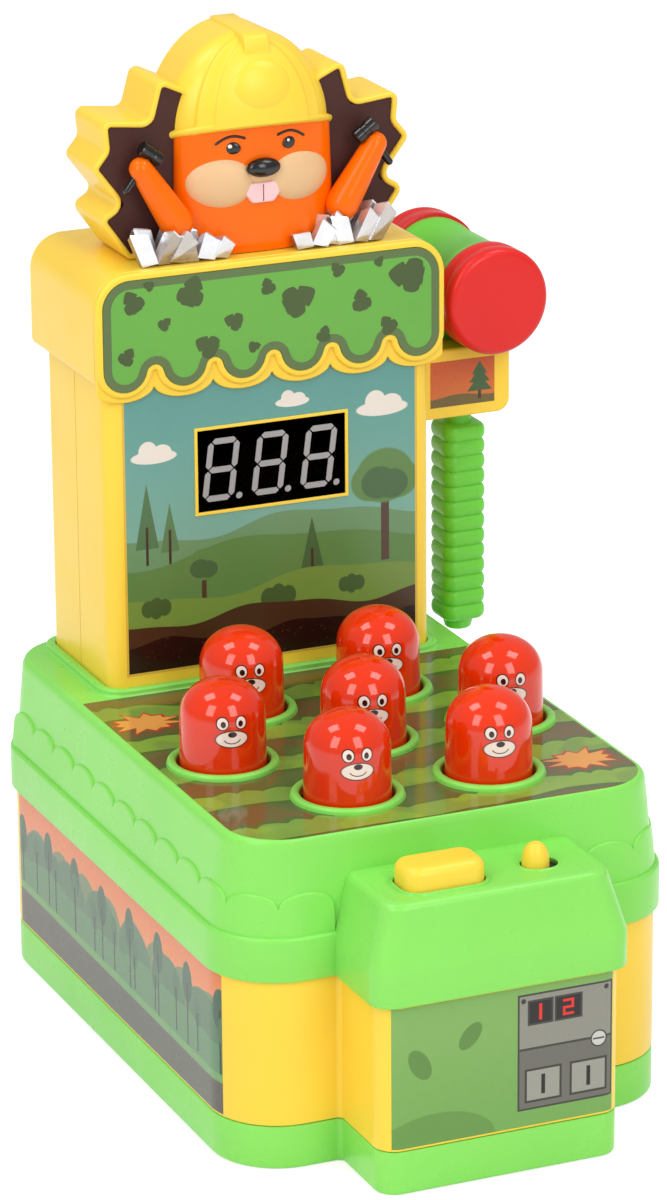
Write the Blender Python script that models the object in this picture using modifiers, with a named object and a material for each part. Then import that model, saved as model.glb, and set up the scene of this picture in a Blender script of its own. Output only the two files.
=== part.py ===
"""Table-top mole pounding game: a green and yellow moulded case with seven spring-loaded mole caps,
a score tower with a scalloped canopy and a miner mole crown, a start bar, a slide switch and a mallet
that hangs in a bracket.  Metres, +Z up, +X to the player's right, the front faces -Y.
The origin is the middle of the underside."""
import bpy
import bmesh
import math
from mathutils import Matrix, Vector

for old in list(bpy.data.objects):
    bpy.data.objects.remove(old, do_unlink=True)

# Shared clearances and walls
SEAT_GAP = 0.0003            # pieces that rest on each other
LABEL_THICK = 0.0005         # printed film
LABEL_PROUD = 0.0001         # film stands this much above its pocket's edge
OVERRUN = 0.004              # how far cutters run past what they cut
SHELL_WALL = 0.0023
ARC_STEPS = 4
MERGE = 0.00001
CORNER_SHARE = 0.98          # of an edge that its two corner radii may take up between them

# Case, in plan: a rounded main body with a console ahead of it
BODY_HALF_WIDTH = 0.080
BODY_FRONT = -0.0961
BODY_BACK = 0.1297
BODY_CORNER = 0.024
CONSOLE_HALF_WIDTH = 0.0434
CONSOLE_FRONT = -0.1292
CONSOLE_CORNER = 0.0075
CONSOLE_INNER_FILLET = 0.002
SIDE_LABEL_FRONT = -0.0800
SIDE_LABEL_BACK = 0.1080
CONSOLE_LABEL_HALF = 0.0400

# Case, heights
PLINTH_TOP = 0.0152
RIM_BOTTOM = 0.0669
RIM_TOP = 0.0822
RIM_PROUD = 0.0018
RIM_FILLET = 0.0010
LEDGE_INSET = 0.0005
DECK_TOP = 0.1145
DECK_ROUND = 0.0040
WALL_DRAFT = 0.0027
DECK_EDGE_SIDE = 0.0060
DECK_EDGE_FRONT = 0.0040
TONGUE_HEIGHT = 0.0040

# Console hood
HOOD_PROUD = 0.0025
HOOD_TOP = 0.1010
HOOD_ROUND = 0.0030
HOOD_BEND = 0.0794             # the hood leans inwards above this height
HOOD_LEAN_SIDE = 0.0052
HOOD_LEAN_FRONT = 0.0034
HOOD_BACK_REACH = 0.016

# Scalloped band under the deck's edge
SCALLOP_PITCH = 0.0194
SCALLOP_CUSP = 0.0918
SCALLOP_RISE = 0.0046
SCALLOP_RAISE = 0.0008
SCALLOP_STEPS = 4
SIDE_SCALLOPS = 12
SIDE_SCALLOP_END = 0.1122       # where the band begins, at the back of each side

# Mole stations
MOLE_PITCH_SHARE = 0.6425
MOLE_PITCH = BODY_HALF_WIDTH * MOLE_PITCH_SHARE
ROW_PITCH = 0.0455
MID_ROW = -0.0167
RING_SHARE = 0.3696           # of the pitch between moles
RING_RADIUS = MOLE_PITCH * RING_SHARE
RING_WIDTH = 0.0032
HOLE_RADIUS = RING_RADIUS - RING_WIDTH
RING_RISE = 0.0018
RING_ROUND = 0.0009
HOLE_SIDES = 16

# Mole caps
MOLE_CLEARANCE = 0.0013
MOLE_RADIUS = HOLE_RADIUS - MOLE_CLEARANCE
MOLE_TAPER = 0.0003
MOLE_TOP = 0.1448
MOLE_DOME = 0.0130
MOLE_SHOULDER = MOLE_TOP - MOLE_DOME
MOLE_WALL = 0.0015
MOLE_FLANGE_REACH = 0.0014
MOLE_FLANGE_RADIUS = HOLE_RADIUS + MOLE_FLANGE_REACH
MOLE_FLANGE_THICK = 0.0016
MOLE_TRAVEL = 0.0100
MOLE_SIDES = 16
SPRING_SEAT_HEIGHT = 0.0090
SPRING_SEAT_WIDTH = 0.0030
SPRING_INSET = 0.0035
SPRING_RADIUS = MOLE_RADIUS - SPRING_INSET
PLUNGER_SHARE = 0.545
PLUNGER_OFFSET = SPRING_RADIUS * PLUNGER_SHARE
PLUNGER_RADIUS = 0.0014

# Circuit board under the moles
BOARD_TOP = 0.0955
BOARD_THICK = 0.0016
BOARD_MARGIN = 0.0175
BOARD_SIDE_SHARE = 0.7
POST_RADIUS = 0.0030
SWITCH_SIDE = 0.0050
SWITCH_HEIGHT = 0.0034
SWITCH_STEM_RADIUS = 0.0013
SWITCH_STEM_HEIGHT = 0.0008
LED_RADIUS = 0.0024
LED_HEIGHT = 0.0070
LED_TIP_SHARE = 0.8
SPRING_WIRE = 0.0009
SPRING_TURNS = 3.5
SPRING_POINTS_PER_TURN = 6

# Start bar and slide switch on the console
START_X = -0.0158
CONTROL_Y = -0.1134
START_LENGTH = 0.0284
START_DEPTH = 0.0165
START_RISE = 0.0082
START_CORNER = 0.0055
START_TRAVEL = 0.0020
START_CLEARANCE = 0.0005
FLANGE_OVERLAP = 0.0014
FLANGE_THICK = 0.0014
START_STEM_RADIUS = 0.0028
START_SPRING_RADIUS = 0.0055
LIP_WIDTH = 0.0014
LIP_RISE = 0.0007
KNOB_X = 0.0186
KNOB_RADIUS = 0.0046
START_EDGE = 0.0035
KNOB_RISE = 0.0080
KNOB_SHARES = [(0.34, 0.02), (0.66, 0.13), (0.88, 0.32), (0.98, 0.56), (1.0, 0.8)]   # of its radius, of its rise
KNOB_TRAVEL = 0.0025
KNOB_NECK_RADIUS = 0.0022
SWITCH_BODY_LENGTH = 0.0130
SWITCH_BODY_DEPTH = 0.0070
SWITCH_BODY_HEIGHT = 0.0050
CONSOLE_BOARD_DROP = 0.0120

# Tower
CANOPY_BOTTOM = 0.2259
TOWER_HALF_WIDTH = 0.0612
TOWER_FRONT = 0.0613
TOWER_BACK = 0.1210
TOWER_CORNER = 0.0060
TOWER_SPLIT_SHARE = 0.5
COLLAR_WIDTH = 0.0034
COLLAR_RISE = 0.0022

# Display
PANEL_SIDE = 0.0058
PANEL_HALF_WIDTH = TOWER_HALF_WIDTH - PANEL_SIDE
PANEL_FOOT = 0.0058
PANEL_HEAD = 0.0019
PANEL_BOTTOM = DECK_TOP + PANEL_FOOT
PANEL_TOP = CANOPY_BOTTOM - PANEL_HEAD
BEZEL_HALF_WIDTH = 0.0289
BEZEL_DROP = 0.0167
BEZEL_HEIGHT = 0.0317
BEZEL_TOP = PANEL_TOP - BEZEL_DROP
BEZEL_BOTTOM = BEZEL_TOP - BEZEL_HEIGHT
BEZEL_WALL = 0.0011
BEZEL_PROUD = 0.0004
MODULE_DEPTH = 0.0080
DISPLAY_BOARD_MARGIN = 0.0050
DISPLAY_BOARD_THICK = 0.0016

# Canopy
CANOPY_OVERHANG = 0.0038
CANOPY_HALF_WIDTH = TOWER_HALF_WIDTH + CANOPY_OVERHANG
CANOPY_FRONT = 0.0583
CANOPY_BACK = 0.1245
CANOPY_HEIGHT = 0.0398
CANOPY_TOP = CANOPY_BOTTOM + CANOPY_HEIGHT
CANOPY_CORNER = 0.0122
CANOPY_FOOT_CORNER = 0.0030
CANOPY_FILLET = 0.0014
LOBES = 6
LOBE_PITCH_SHARE = 0.337      # of the half width
LOBE_STEPS = 6
NOTCH_STEPS = 3
LIP_STEPS = 8
CANOPY_LABEL_MARGIN = 0.0024

# Crown: starburst shell, board, figure
BRACKET_LABEL_SHARE = 0.77
BRACKET_LABEL_HEIGHT = 0.0168
LOBE_DEPTH = 0.0089           # from the bottom of a lobe to the top of a notch
NOTCH_RADIUS = 0.0033         # at the edge of the printed film
PLATE_DROP = 0.0041           # of the front layer's lobes below the canopy box
LIP_DROP = 0.0060
LIP_HEIGHT = 0.0058
LIP_FULLNESS = 0.96
CROWN_FRONT = 0.0748
CROWN_BACK = 0.1030
CROWN_RIM = 0.0020
CROWN_BOARD_RECESS = 0.0012
CROWN_BOARD_THICK = 0.0020
CROWN_HALF_WIDTH = 0.0566
CROWN_HEIGHT = 0.0650
HELMET_RADIUS = 0.0302
HELMET_HEIGHT = 0.0326
HELMET_LIFT = 0.0406          # of the brim's ends above the canopy
HELMET_FRONT = 0.0650
HELMET_MIDDLE = 0.0820
HELMET_TILT = 0.34            # rise of the brim per length forwards
DOME_STEPS = 14
BRIM_REACH = 0.0018
BRIM_THICK = 0.0036
BRIM_ROUND = 0.0012
RIDGE_HALF_WIDTH = 0.0036
RIDGE_RISE = 0.0018
RIDGE_FRONT = 0.0695
RIDGE_ROUND = 0.0012
EMBLEM_HALF_WIDTH = 0.0112
EMBLEM_HALF_HEIGHT = 0.0105
EMBLEM_RAISE = 0.0014
EMBLEM_LIFT = 0.0580
RIB_HALF_WIDTH = 0.0024
RIB_PLACE_SHARES = (0.47, 0.68)
DOME_SINK_SHARE = 0.6          # of the brim's thickness, for the foot of the dome
BRIM_SIDES = 32
RIB_RAISE = 0.0007
BODY_DEPTH = 0.0088
BODY_WIDTH_FOOT = 0.0300
BODY_WIDTH_HEAD = 0.0288
MUZZLE_X = 0.0148
MUZZLE_HALF_WIDTH = 0.0122
MUZZLE_HALF_HEIGHT = 0.0096
MUZZLE_RAISE = 0.0022
MUZZLE_LIFT = 0.0250
NOSE_HALF_WIDTH = 0.0062
NOSE_HALF_HEIGHT = 0.0034
NOSE_RAISE = 0.0030
NOSE_LIFT = 0.0299
TOOTH_WIDTH = 0.0064
TOOTH_HEIGHT = 0.0070
TOOTH_RAISE = 0.0012
BRIDGE_SHARES = (0.8, 1.6, 0.5)
BRIDGE_LIFT_SHARE = 0.3
TOOTH_FOOT_SHARE = 0.62
TOOTH_TOP_SHARE = 0.8
TOOTH_WIDE_SHARE = 0.45
TOOTH_LIFT = 0.0209
ARM_FOOT_RADIUS = 0.0060
ARM_HAND_RADIUS = 0.0041
TUBE_TIP_SHARE = 0.8
TUBE_END_SHARE = 0.7
TUBE_STEP_SHARE = 0.55
ARM_FOOT_X = 0.0310
ARM_FOOT_LIFT = 0.0130
ARM_HAND_X = 0.0435
ARM_HAND_LIFT = 0.0330
MINI_LEAN = 0.75
ARM_GAP_TO_BOARD = 0.0004
MINI_HEAD_RADIUS = 0.0025
MINI_HEAD_LENGTH = 0.0062
MINI_GRIP_RADIUS = 0.0010
MINI_GRIP_LENGTH = 0.0150
ROCK_SIZE = 0.0062

# Mallet and its bracket
MALLET_OFFSET = 0.0256
MALLET_X = TOWER_HALF_WIDTH + MALLET_OFFSET
MALLET_Y = 0.0950
BRACKET_REACH = 0.0117        # beyond the mallet's axis
BRACKET_DROP = 0.0064
BRACKET_HEIGHT = 0.0255
BRACKET_FRONT = 0.0760
BRACKET_BACK = 0.1115
BRACKET_OUTER_X = MALLET_X + BRACKET_REACH
BRACKET_TOP = CANOPY_BOTTOM - BRACKET_DROP
BRACKET_BOTTOM = BRACKET_TOP - BRACKET_HEIGHT
BRACKET_CORNER = 0.0048
BRACKET_FILLET = 0.0012
SOCKET_HALF_WIDTH = 0.0094
MALLET_TURN = math.radians(1.0)
HEAD_LIFT = 0.0193
HEAD_AXIS_Z = BRACKET_TOP + HEAD_LIFT
HEAD_HALF_LENGTH = 0.0340
BARREL_RADIUS = 0.0181
BARREL_WAIST = 0.0176
BARREL_BAND = 0.0040
BARREL_SLOPE = 0.0008
CAP_RADIUS = 0.0194
CAP_LENGTH = 0.0125
CAP_ROUND = 0.0030
CAP_SOFT_SHARE = 0.3
CAP_GROOVE_BACK = 0.0060       # from the cap's face to the groove round it
CAP_GROOVE = 0.0009
SPIGOT_RADIUS = 0.0120
SPIGOT_LENGTH = 0.0045
HEAD_SIDES = 20
GRIP_HALF = 0.0083
NECK_LENGTH = 0.0077
GRIP_LENGTH = 0.0733
GRIP_TOP = BRACKET_BOTTOM - NECK_LENGTH
GRIP_BOTTOM = GRIP_TOP - GRIP_LENGTH
GRIP_RIBS = 13
RIB_DEPTH = 0.0010
NECK_RADIUS = 0.0048
NECK_COLLAR_RADIUS = 0.0112
NECK_PIN_RADIUS = 0.0046
NECK_PIN_REACH = 0.0090
END_KNOB_HALF = 0.0060
END_KNOB_LENGTH = 0.0045

# Underside: battery bay, speaker, screws
BAY_CENTRE_Y = 0.034
CELL_RADIUS = 0.00725
CELL_LENGTH = 0.0505
CELL_TIP_RADIUS = 0.0027
CELL_TIP_LENGTH = 0.0013
CELL_CLEARANCE = 0.0006
CONTACT_SHARE = 0.7            # of a cell's radius that its contact covers
CELLS = 3
BAY_WALL = 0.0020
BAY_END_ROOM = 0.0042
DOOR_THICK = 0.0019
DOOR_LIP = 0.0030
DOOR_TAB_REACH = 0.0100
DOOR_TAB_HALF = 0.0048
SCREW_SINK = 0.0012
CONTACT_THICK = 0.0005
CONTACT_REACH = 0.0030
SPEAKER_RADIUS = 0.0180
SPEAKER_HEIGHT = 0.0060
SPEAKER_CONE_SHARES = (0.55, 0.62)
GRILLE_REACH_SHARE = 0.78
SPEAKER_Y = -0.055
GRILLE_SLOTS = 5
GRILLE_SLOT_WIDTH = 0.0020
GRILLE_PITCH = 0.0050
SCREW_HEAD_RADIUS = 0.0028
SCREW_SHANK_RADIUS = 0.0014
SCREW_LENGTH = 0.0090
WELL_RADIUS = 0.0036
WELL_DEPTH = 0.0080
WELL_WALL = 0.0016
SCREW_INSET = 0.0150

scene = bpy.context.scene
PARTS = bpy.data.collections.new("mole_pounding_game")
CUTTERS = bpy.data.collections.new("cutters")
scene.collection.children.link(PARTS)
scene.collection.children.link(CUTTERS)


def material(name, colour, roughness, metallic=0.0):
    mat = bpy.data.materials.new(name)
    mat.use_nodes = True
    shader = mat.node_tree.nodes["Principled BSDF"]
    shader.inputs["Base Color"].default_value = (*colour, 1.0)
    shader.inputs["Roughness"].default_value = roughness
    shader.inputs["Metallic"].default_value = metallic
    mat.diffuse_color = (*colour, 1.0)
    return mat


def link(name, mesh, mat, collection, smooth=None):
    ob = bpy.data.objects.new(name, mesh)
    if mat is not None:
        mesh.materials.append(mat)
    collection.objects.link(ob)
    if collection is CUTTERS:
        ob.hide_render = True
        ob.display_type = "WIRE"
    if smooth is not None:
        mesh.shade_smooth()
        mesh.set_sharp_from_angle(angle=smooth)
    return ob


def finish(name, bm, mat=None, smooth=math.radians(35)):
    """Turns a bmesh into an object of the part, or into a cutter when it has no material."""
    bmesh.ops.recalc_face_normals(bm, faces=bm.faces[:])
    mesh = bpy.data.meshes.new(name)
    bm.to_mesh(mesh)
    bm.free()
    return link(name, mesh, mat, PARTS if mat is not None else CUTTERS, smooth)


def boolean(target, tool, operation):
    mod = target.modifiers.new(tool.name, "BOOLEAN")
    mod.operation = operation
    mod.solver = "EXACT"
    mod.object = tool
    return target


def cut(target, tool):
    return boolean(target, tool, "DIFFERENCE")


def fuse(target, tool):
    return boolean(target, tool, "UNION")


def bevel(ob, width, segments=2, angle=math.radians(50)):
    mod = ob.modifiers.new("bevel", "BEVEL")
    mod.width = width
    mod.segments = segments
    mod.limit_method = "ANGLE"
    mod.angle_limit = angle
    return ob


def fillet(points, radii, steps=ARC_STEPS):
    """Rounds a closed outline's corners; points and radii run the same way round."""
    out = []
    count = len(points)
    for i, here in enumerate(points):
        radius = radii[i] if isinstance(radii, (list, tuple)) else radii
        p = Vector(here)
        a = Vector(points[i - 1]) - p
        b = Vector(points[(i + 1) % count]) - p
        if radius <= 0:
            out.append((p.x, p.y))
            continue
        u, v = a.normalized(), b.normalized()
        half = u.angle(v) / 2
        before, after = (radii[i - 1], radii[(i + 1) % count]) if isinstance(radii, (list, tuple)) else (radius, radius)
        reach = min(radius / math.tan(half), a.length * CORNER_SHARE * radius / (radius + before),
                    b.length * CORNER_SHARE * radius / (radius + after))
        radius = reach * math.tan(half)
        centre = p + (u + v).normalized() * (radius / math.sin(half))
        start = p + u * reach - centre
        end = p + v * reach - centre
        turn = start.angle_signed(end)
        for k in range(steps + 1):
            spoke = Matrix.Rotation(-turn * k / steps, 2) @ start
            out.append((centre.x + spoke.x, centre.y + spoke.y))
    return out


def offset(points, distance):
    """Moves a closed outline sideways, outwards for a counter-clockwise outline and positive distance."""
    out = []
    count = len(points)
    for i, here in enumerate(points):
        p = Vector(here)
        a = (p - Vector(points[i - 1])).normalized()
        b = (Vector(points[(i + 1) % count]) - p).normalized()
        na, nb = Vector((a.y, -a.x)), Vector((b.y, -b.x))
        mid = (na + nb).normalized()
        q = p + mid * (distance / mid.dot(na))
        out.append((q.x, q.y))
    return out


def rectangle(half, low, high):
    return [(-half, low), (half, low), (half, high), (-half, high)]


def place(u, v, a, axis):
    return {"z": (u, v, a), "y": (u, a, v), "x": (a, u, v)}[axis]


def add_prism(bm, outline, low, high, axis="z"):
    """A flat outline pulled straight along one axis."""
    verts = [bm.verts.new(place(u, v, low, axis)) for u, v in outline]
    face = bm.faces.new(verts)
    grown = bmesh.ops.extrude_face_region(bm, geom=[face])
    lift = Vector(place(0, 0, high - low, axis))
    moved = [g for g in grown["geom"] if isinstance(g, bmesh.types.BMVert)]
    bmesh.ops.translate(bm, vec=lift, verts=moved)
    return moved


def add_box(bm, x0, x1, y0, y1, z0, z1):
    made = bmesh.ops.create_cube(bm, size=1.0)["verts"]
    bmesh.ops.scale(bm, vec=(x1 - x0, y1 - y0, z1 - z0), verts=made)
    bmesh.ops.translate(bm, vec=((x0 + x1) / 2, (y0 + y1) / 2, (z0 + z1) / 2), verts=made)
    return made


def add_cylinder(bm, radius, low, high, x, y, sides=24, top_radius=None, axis="z"):
    made = bmesh.ops.create_cone(bm, cap_ends=True, segments=sides, radius1=radius,
                                 radius2=radius if top_radius is None else top_radius,
                                 depth=high - low)["verts"]
    middle = (low + high) / 2
    if axis == "y":
        bmesh.ops.rotate(bm, verts=made, matrix=Matrix.Rotation(-math.pi / 2, 3, "X"))
        bmesh.ops.translate(bm, vec=(x, middle, y), verts=made)
    elif axis == "x":
        bmesh.ops.rotate(bm, verts=made, matrix=Matrix.Rotation(math.pi / 2, 3, "Y"))
        bmesh.ops.translate(bm, vec=(middle, x, y), verts=made)
    else:
        bmesh.ops.translate(bm, vec=(x, y, middle), verts=made)
    return made


def add_ball(bm, x, y, z, rx, ry, rz, u=20, v=12):
    made = bmesh.ops.create_uvsphere(bm, u_segments=u, v_segments=v, radius=1.0)["verts"]
    bmesh.ops.scale(bm, vec=(rx, ry, rz), verts=made)
    bmesh.ops.translate(bm, vec=(x, y, z), verts=made)
    return made


def add_loft(bm, rings):
    """Skins a stack of rings that have the same number of points, and closes both ends."""
    loops = [[bm.verts.new(p) for p in ring] for ring in rings]
    for low, high in zip(loops, loops[1:]):
        for i in range(len(low)):
            j = (i + 1) % len(low)
            bm.faces.new((low[i], low[j], high[j], high[i]))
    bm.faces.new(loops[0])
    bm.faces.new(loops[-1])


def solid(name, build, mat=None, smooth=math.radians(35)):
    bm = bmesh.new()
    build(bm)
    return finish(name, bm, mat, smooth)


def turned(name, profile, sides, mat=None, smooth=math.radians(35), closed=False):
    """A profile of (radius, height) points, outer side from the top down, spun about its own Z axis."""
    bm = bmesh.new()
    verts = [bm.verts.new((r, 0, z)) for r, z in profile]
    for a, b in zip(verts, verts[1:]):
        bm.edges.new((a, b))
    if closed:
        bm.edges.new((verts[-1], verts[0]))
    mesh = bpy.data.meshes.new(name)
    bm.to_mesh(mesh)
    bm.free()
    ob = link(name, mesh, mat, PARTS if mat is not None else CUTTERS)
    mod = ob.modifiers.new("turn", "SCREW")
    mod.axis = "Z"
    mod.angle = math.tau
    mod.steps = sides
    mod.render_steps = sides
    mod.use_merge_vertices = True
    mod.merge_threshold = MERGE
    mod.use_smooth_shade = smooth is not None
    return ob


GREEN = material("green_plastic", (0.262, 0.855, 0.139), 0.30)
YELLOW = material("yellow_plastic", (0.956, 0.679, 0.078), 0.32)
RED = material("mole_red", (0.768, 0.041, 0.006), 0.16)
MALLET_RED = material("mallet_red", (0.730, 0.025, 0.021), 0.30)
MALLET_GREEN = material("mallet_green", (0.162, 0.686, 0.080), 0.34)
BROWN = material("crown_brown", (0.070, 0.020, 0.015), 0.60)
ORANGE = material("figure_orange", (1.000, 0.150, 0.002), 0.28)
BEIGE = material("muzzle_beige", (0.760, 0.500, 0.250), 0.40)
BLACK = material("black_gloss", (0.010, 0.009, 0.009), 0.20)
TOOTH = material("tooth_pink", (0.890, 0.640, 0.640), 0.35)
SILVER = material("rock_silver", (0.640, 0.630, 0.600), 0.28, 0.6)
DECK_FILM = material("deck_film", (0.150, 0.180, 0.040), 0.25)
GREEN_FILM = material("green_film", (0.180, 0.370, 0.080), 0.35)
ROAD_FILM = material("road_film", (0.610, 0.240, 0.120), 0.40)
SKY_FILM = material("sky_film", (0.110, 0.300, 0.260), 0.40)
TREE_FILM = material("tree_film", (0.560, 0.120, 0.020), 0.40)
SCREEN = material("display_black", (0.020, 0.020, 0.022), 0.25)
BOARD = material("circuit_board", (0.020, 0.130, 0.050), 0.45)
STEEL = material("steel", (0.560, 0.560, 0.560), 0.30, 1.0)
CELL = material("cell_jacket", (0.120, 0.130, 0.140), 0.35)


def body_outline(grow=0.0, grow_front=None, steps=ARC_STEPS):
    """The main body's rounded rectangle, grown outwards by one amount and by another at front and back."""
    end = grow if grow_front is None else grow_front
    corners = rectangle(BODY_HALF_WIDTH + grow, BODY_FRONT - end, BODY_BACK + end)
    return fillet(corners, BODY_CORNER + (grow + end) / 2, steps)


def case_outline(inset=0.0):
    """Body and console together, seen from above."""
    hw, cw = BODY_HALF_WIDTH - inset, CONSOLE_HALF_WIDTH - inset
    front, nose, back = BODY_FRONT + inset, CONSOLE_FRONT + inset, BODY_BACK - inset
    corners = [(cw, nose), (cw, front), (hw, front), (hw, back), (-hw, back), (-hw, front),
               (-cw, front), (-cw, nose)]
    nook = max(CONSOLE_INNER_FILLET - inset, 0.0)
    radii = [CONSOLE_CORNER - inset, nook, BODY_CORNER - inset, BODY_CORNER - inset,
             BODY_CORNER - inset, BODY_CORNER - inset, nook, CONSOLE_CORNER - inset]
    return fillet(corners, radii)


def station_points():
    near, mid, far = MID_ROW - ROW_PITCH, MID_ROW, MID_ROW + ROW_PITCH
    half = MOLE_PITCH / 2
    return [(-half, near), (half, near), (-MOLE_PITCH, mid), (0.0, mid), (MOLE_PITCH, mid),
            (-half, far), (half, far)]


STATIONS = station_points()
DECK_UNDER = DECK_TOP - SHELL_WALL
DECK_LABEL_FRONT = BODY_FRONT + DECK_EDGE_FRONT
COLLAR_FRONT = TOWER_FRONT - SEAT_GAP - COLLAR_WIDTH
DECK_LABEL_BACK = COLLAR_FRONT - SEAT_GAP


# Top cover: main hood and console hood, hollow, with holes, rings, sleeves, collar and posts
def ring_at(z, grow, grow_front=None):
    return [(x, y, z) for x, y in body_outline(grow, grow_front)]


def main_hood(bm, inset, bottom):
    top = DECK_TOP - inset
    turn = DECK_TOP - DECK_ROUND
    side, front = DECK_EDGE_SIDE, DECK_EDGE_FRONT
    draft = WALL_DRAFT
    rings = [ring_at(bottom, RIM_PROUD - inset),
             ring_at(RIM_TOP - RIM_FILLET - inset / 2, RIM_PROUD - inset),
             ring_at(RIM_TOP - inset / 2, RIM_PROUD - RIM_FILLET - inset),
             ring_at(RIM_TOP - inset / 2, -LEDGE_INSET - inset)]
    if inset > 0:
        rings = [ring_at(bottom, RIM_PROUD - inset),
                 ring_at(RIM_TOP - inset, RIM_PROUD - inset),
                 ring_at(RIM_TOP, -LEDGE_INSET - inset)]
    rings.append(ring_at(turn - inset, -LEDGE_INSET - draft - inset))
    lean = LEDGE_INSET + draft
    for k in (1, 2, 3):
        angle = math.pi / 2 * k / 3
        z = turn - inset + (top - turn + inset) * math.sin(angle)
        ease = 1 - math.cos(angle)
        rings.append(ring_at(z, -lean - (side - lean) * ease - inset, -lean - (front - lean) * ease - inset))
    add_loft(bm, rings)


def hood_ring(z, inset, side=0.0, front=0.0):
    half = CONSOLE_HALF_WIDTH + HOOD_PROUD - inset - side
    nose = CONSOLE_FRONT - HOOD_PROUD + inset + front
    back = BODY_FRONT + HOOD_BACK_REACH
    radius = CONSOLE_CORNER - inset
    outline = fillet(rectangle(half, nose, back), [radius, radius, 0, 0])
    return [(x, y, z) for x, y in outline]


def console_hood(bm, inset, bottom):
    """Upright below the bend, leaning inwards above it, with a round upper edge."""
    top, turn = HOOD_TOP - inset, HOOD_TOP - HOOD_ROUND
    rings = [hood_ring(bottom, inset), hood_ring(HOOD_BEND - inset, inset)]
    for k in (0, 1, 2, 3):
        angle = math.pi / 2 * k / 3
        ease = HOOD_ROUND * (1 - math.cos(angle))
        rings.append(hood_ring(turn - inset + (top - turn + inset) * math.sin(angle), inset,
                               HOOD_LEAN_SIDE + ease, HOOD_LEAN_FRONT + ease))
    add_loft(bm, rings)


top_cover = solid("top_cover", lambda bm: main_hood(bm, 0.0, RIM_BOTTOM), GREEN)
fuse(top_cover, solid("console_hood", lambda bm: console_hood(bm, 0.0, RIM_BOTTOM)))


def scallop_height(s):
    """Height of the band's edge, s in pitches from a cusp: a row of round arches."""
    u = (s % 1.0) * 2 - 1
    return SCALLOP_CUSP + SCALLOP_RISE * math.sqrt(max(0.0, 1 - u * u))


def wall_reach(z):
    """How far the drafted wall stands inside the body's outline at a height."""
    share = (z - RIM_TOP) / (DECK_TOP - DECK_ROUND - RIM_TOP)
    return LEDGE_INSET + WALL_DRAFT * share


def wall_point(run, z, lift):
    """A spot on the drafted wall, run along it from the right side's back, round the corner to the front."""
    out = lift - wall_reach(z)
    x_centre, y_centre = BODY_HALF_WIDTH - BODY_CORNER, BODY_FRONT + BODY_CORNER
    straight = SIDE_SCALLOP_END - y_centre
    corner = BODY_CORNER * math.pi / 2
    if run < straight:
        return BODY_HALF_WIDTH + out, SIDE_SCALLOP_END - run, z
    if run < straight + corner:
        angle = (run - straight) / BODY_CORNER
        reach = BODY_CORNER + out
        return x_centre + reach * math.cos(angle), y_centre - reach * math.sin(angle), z
    return x_centre - (run - straight - corner), BODY_FRONT - out, z


def scallop_band(bm):
    """Round arches from the back of each side, round the front corner, up to the console."""
    foot = RIM_TOP - RIM_FILLET
    for side in (-1, 1):
        out = []
        for i in range(SIDE_SCALLOPS * SCALLOP_STEPS + 1):
            s = i / SCALLOP_STEPS
            out.append((s * SCALLOP_PITCH, scallop_height(s)))

        def where(run, z, lift):
            x, y, z = wall_point(run, z, lift)
            return side * x, y, z

        strip(bm, out, foot, where)


def strip(bm, edge, foot, where):
    """A closed strip with an edge of changing height; where() puts (along, height, lift) in space."""
    loops = []
    for along, top in edge:
        loops.append([bm.verts.new(where(along, foot, -SCALLOP_RAISE)), bm.verts.new(where(along, foot, SCALLOP_RAISE)),
                      bm.verts.new(where(along, top - SCALLOP_RAISE / 2, SCALLOP_RAISE)),
                      bm.verts.new(where(along, top, -SCALLOP_RAISE))])
    for a, b in zip(loops, loops[1:]):
        for i in range(4):
            j = (i + 1) % 4
            bm.faces.new((a[i], a[j], b[j], b[i]))
    bm.faces.new(loops[0])
    bm.faces.new(loops[-1])


fuse(top_cover, solid("scallop_band", scallop_band))


def hood_cavity(bm):
    main_hood(bm, SHELL_WALL, RIM_BOTTOM - OVERRUN)


cut(top_cover, solid("main_cavity", hood_cavity))
cut(top_cover, solid("console_cavity", lambda bm: console_hood(bm, SHELL_WALL, RIM_BOTTOM - OVERRUN)))


def collars(bm):
    """Raised rings above the deck."""
    for x, y in STATIONS:
        add_cylinder(bm, RING_RADIUS, DECK_TOP - SHELL_WALL / 2, DECK_TOP + RING_RISE, x, y, HOLE_SIDES,
                     RING_RADIUS - RING_ROUND)


POSTS = [(0.0, MID_ROW - ROW_PITCH), (-MOLE_PITCH, MID_ROW - ROW_PITCH), (MOLE_PITCH, MID_ROW - ROW_PITCH),
         (0.0, MID_ROW + ROW_PITCH), (-MOLE_PITCH, MID_ROW + ROW_PITCH), (MOLE_PITCH, MID_ROW + ROW_PITCH)]


def posts(bm):
    for x, y in POSTS:
        add_cylinder(bm, POST_RADIUS, BOARD_TOP + SEAT_GAP, DECK_TOP - SHELL_WALL / 2, x, y, 8)


fuse(top_cover, solid("ring_collars", collars))
fuse(top_cover, solid("board_posts", posts))


def tower_outline(grow):
    corners = rectangle(TOWER_HALF_WIDTH + grow, TOWER_FRONT - grow, TOWER_BACK + grow)
    return fillet(corners, TOWER_CORNER + grow)


def collar_ring(bm):
    add_prism(bm, tower_outline(SEAT_GAP + COLLAR_WIDTH), DECK_TOP - SHELL_WALL / 2, DECK_TOP + COLLAR_RISE)


def collar_hole(bm):
    add_prism(bm, tower_outline(SEAT_GAP), DECK_TOP, DECK_TOP + COLLAR_RISE + OVERRUN)


fuse(top_cover, bevel(solid("tower_collar", collar_ring), COLLAR_RISE / 3))
cut(top_cover, solid("tower_seat", collar_hole))


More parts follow.
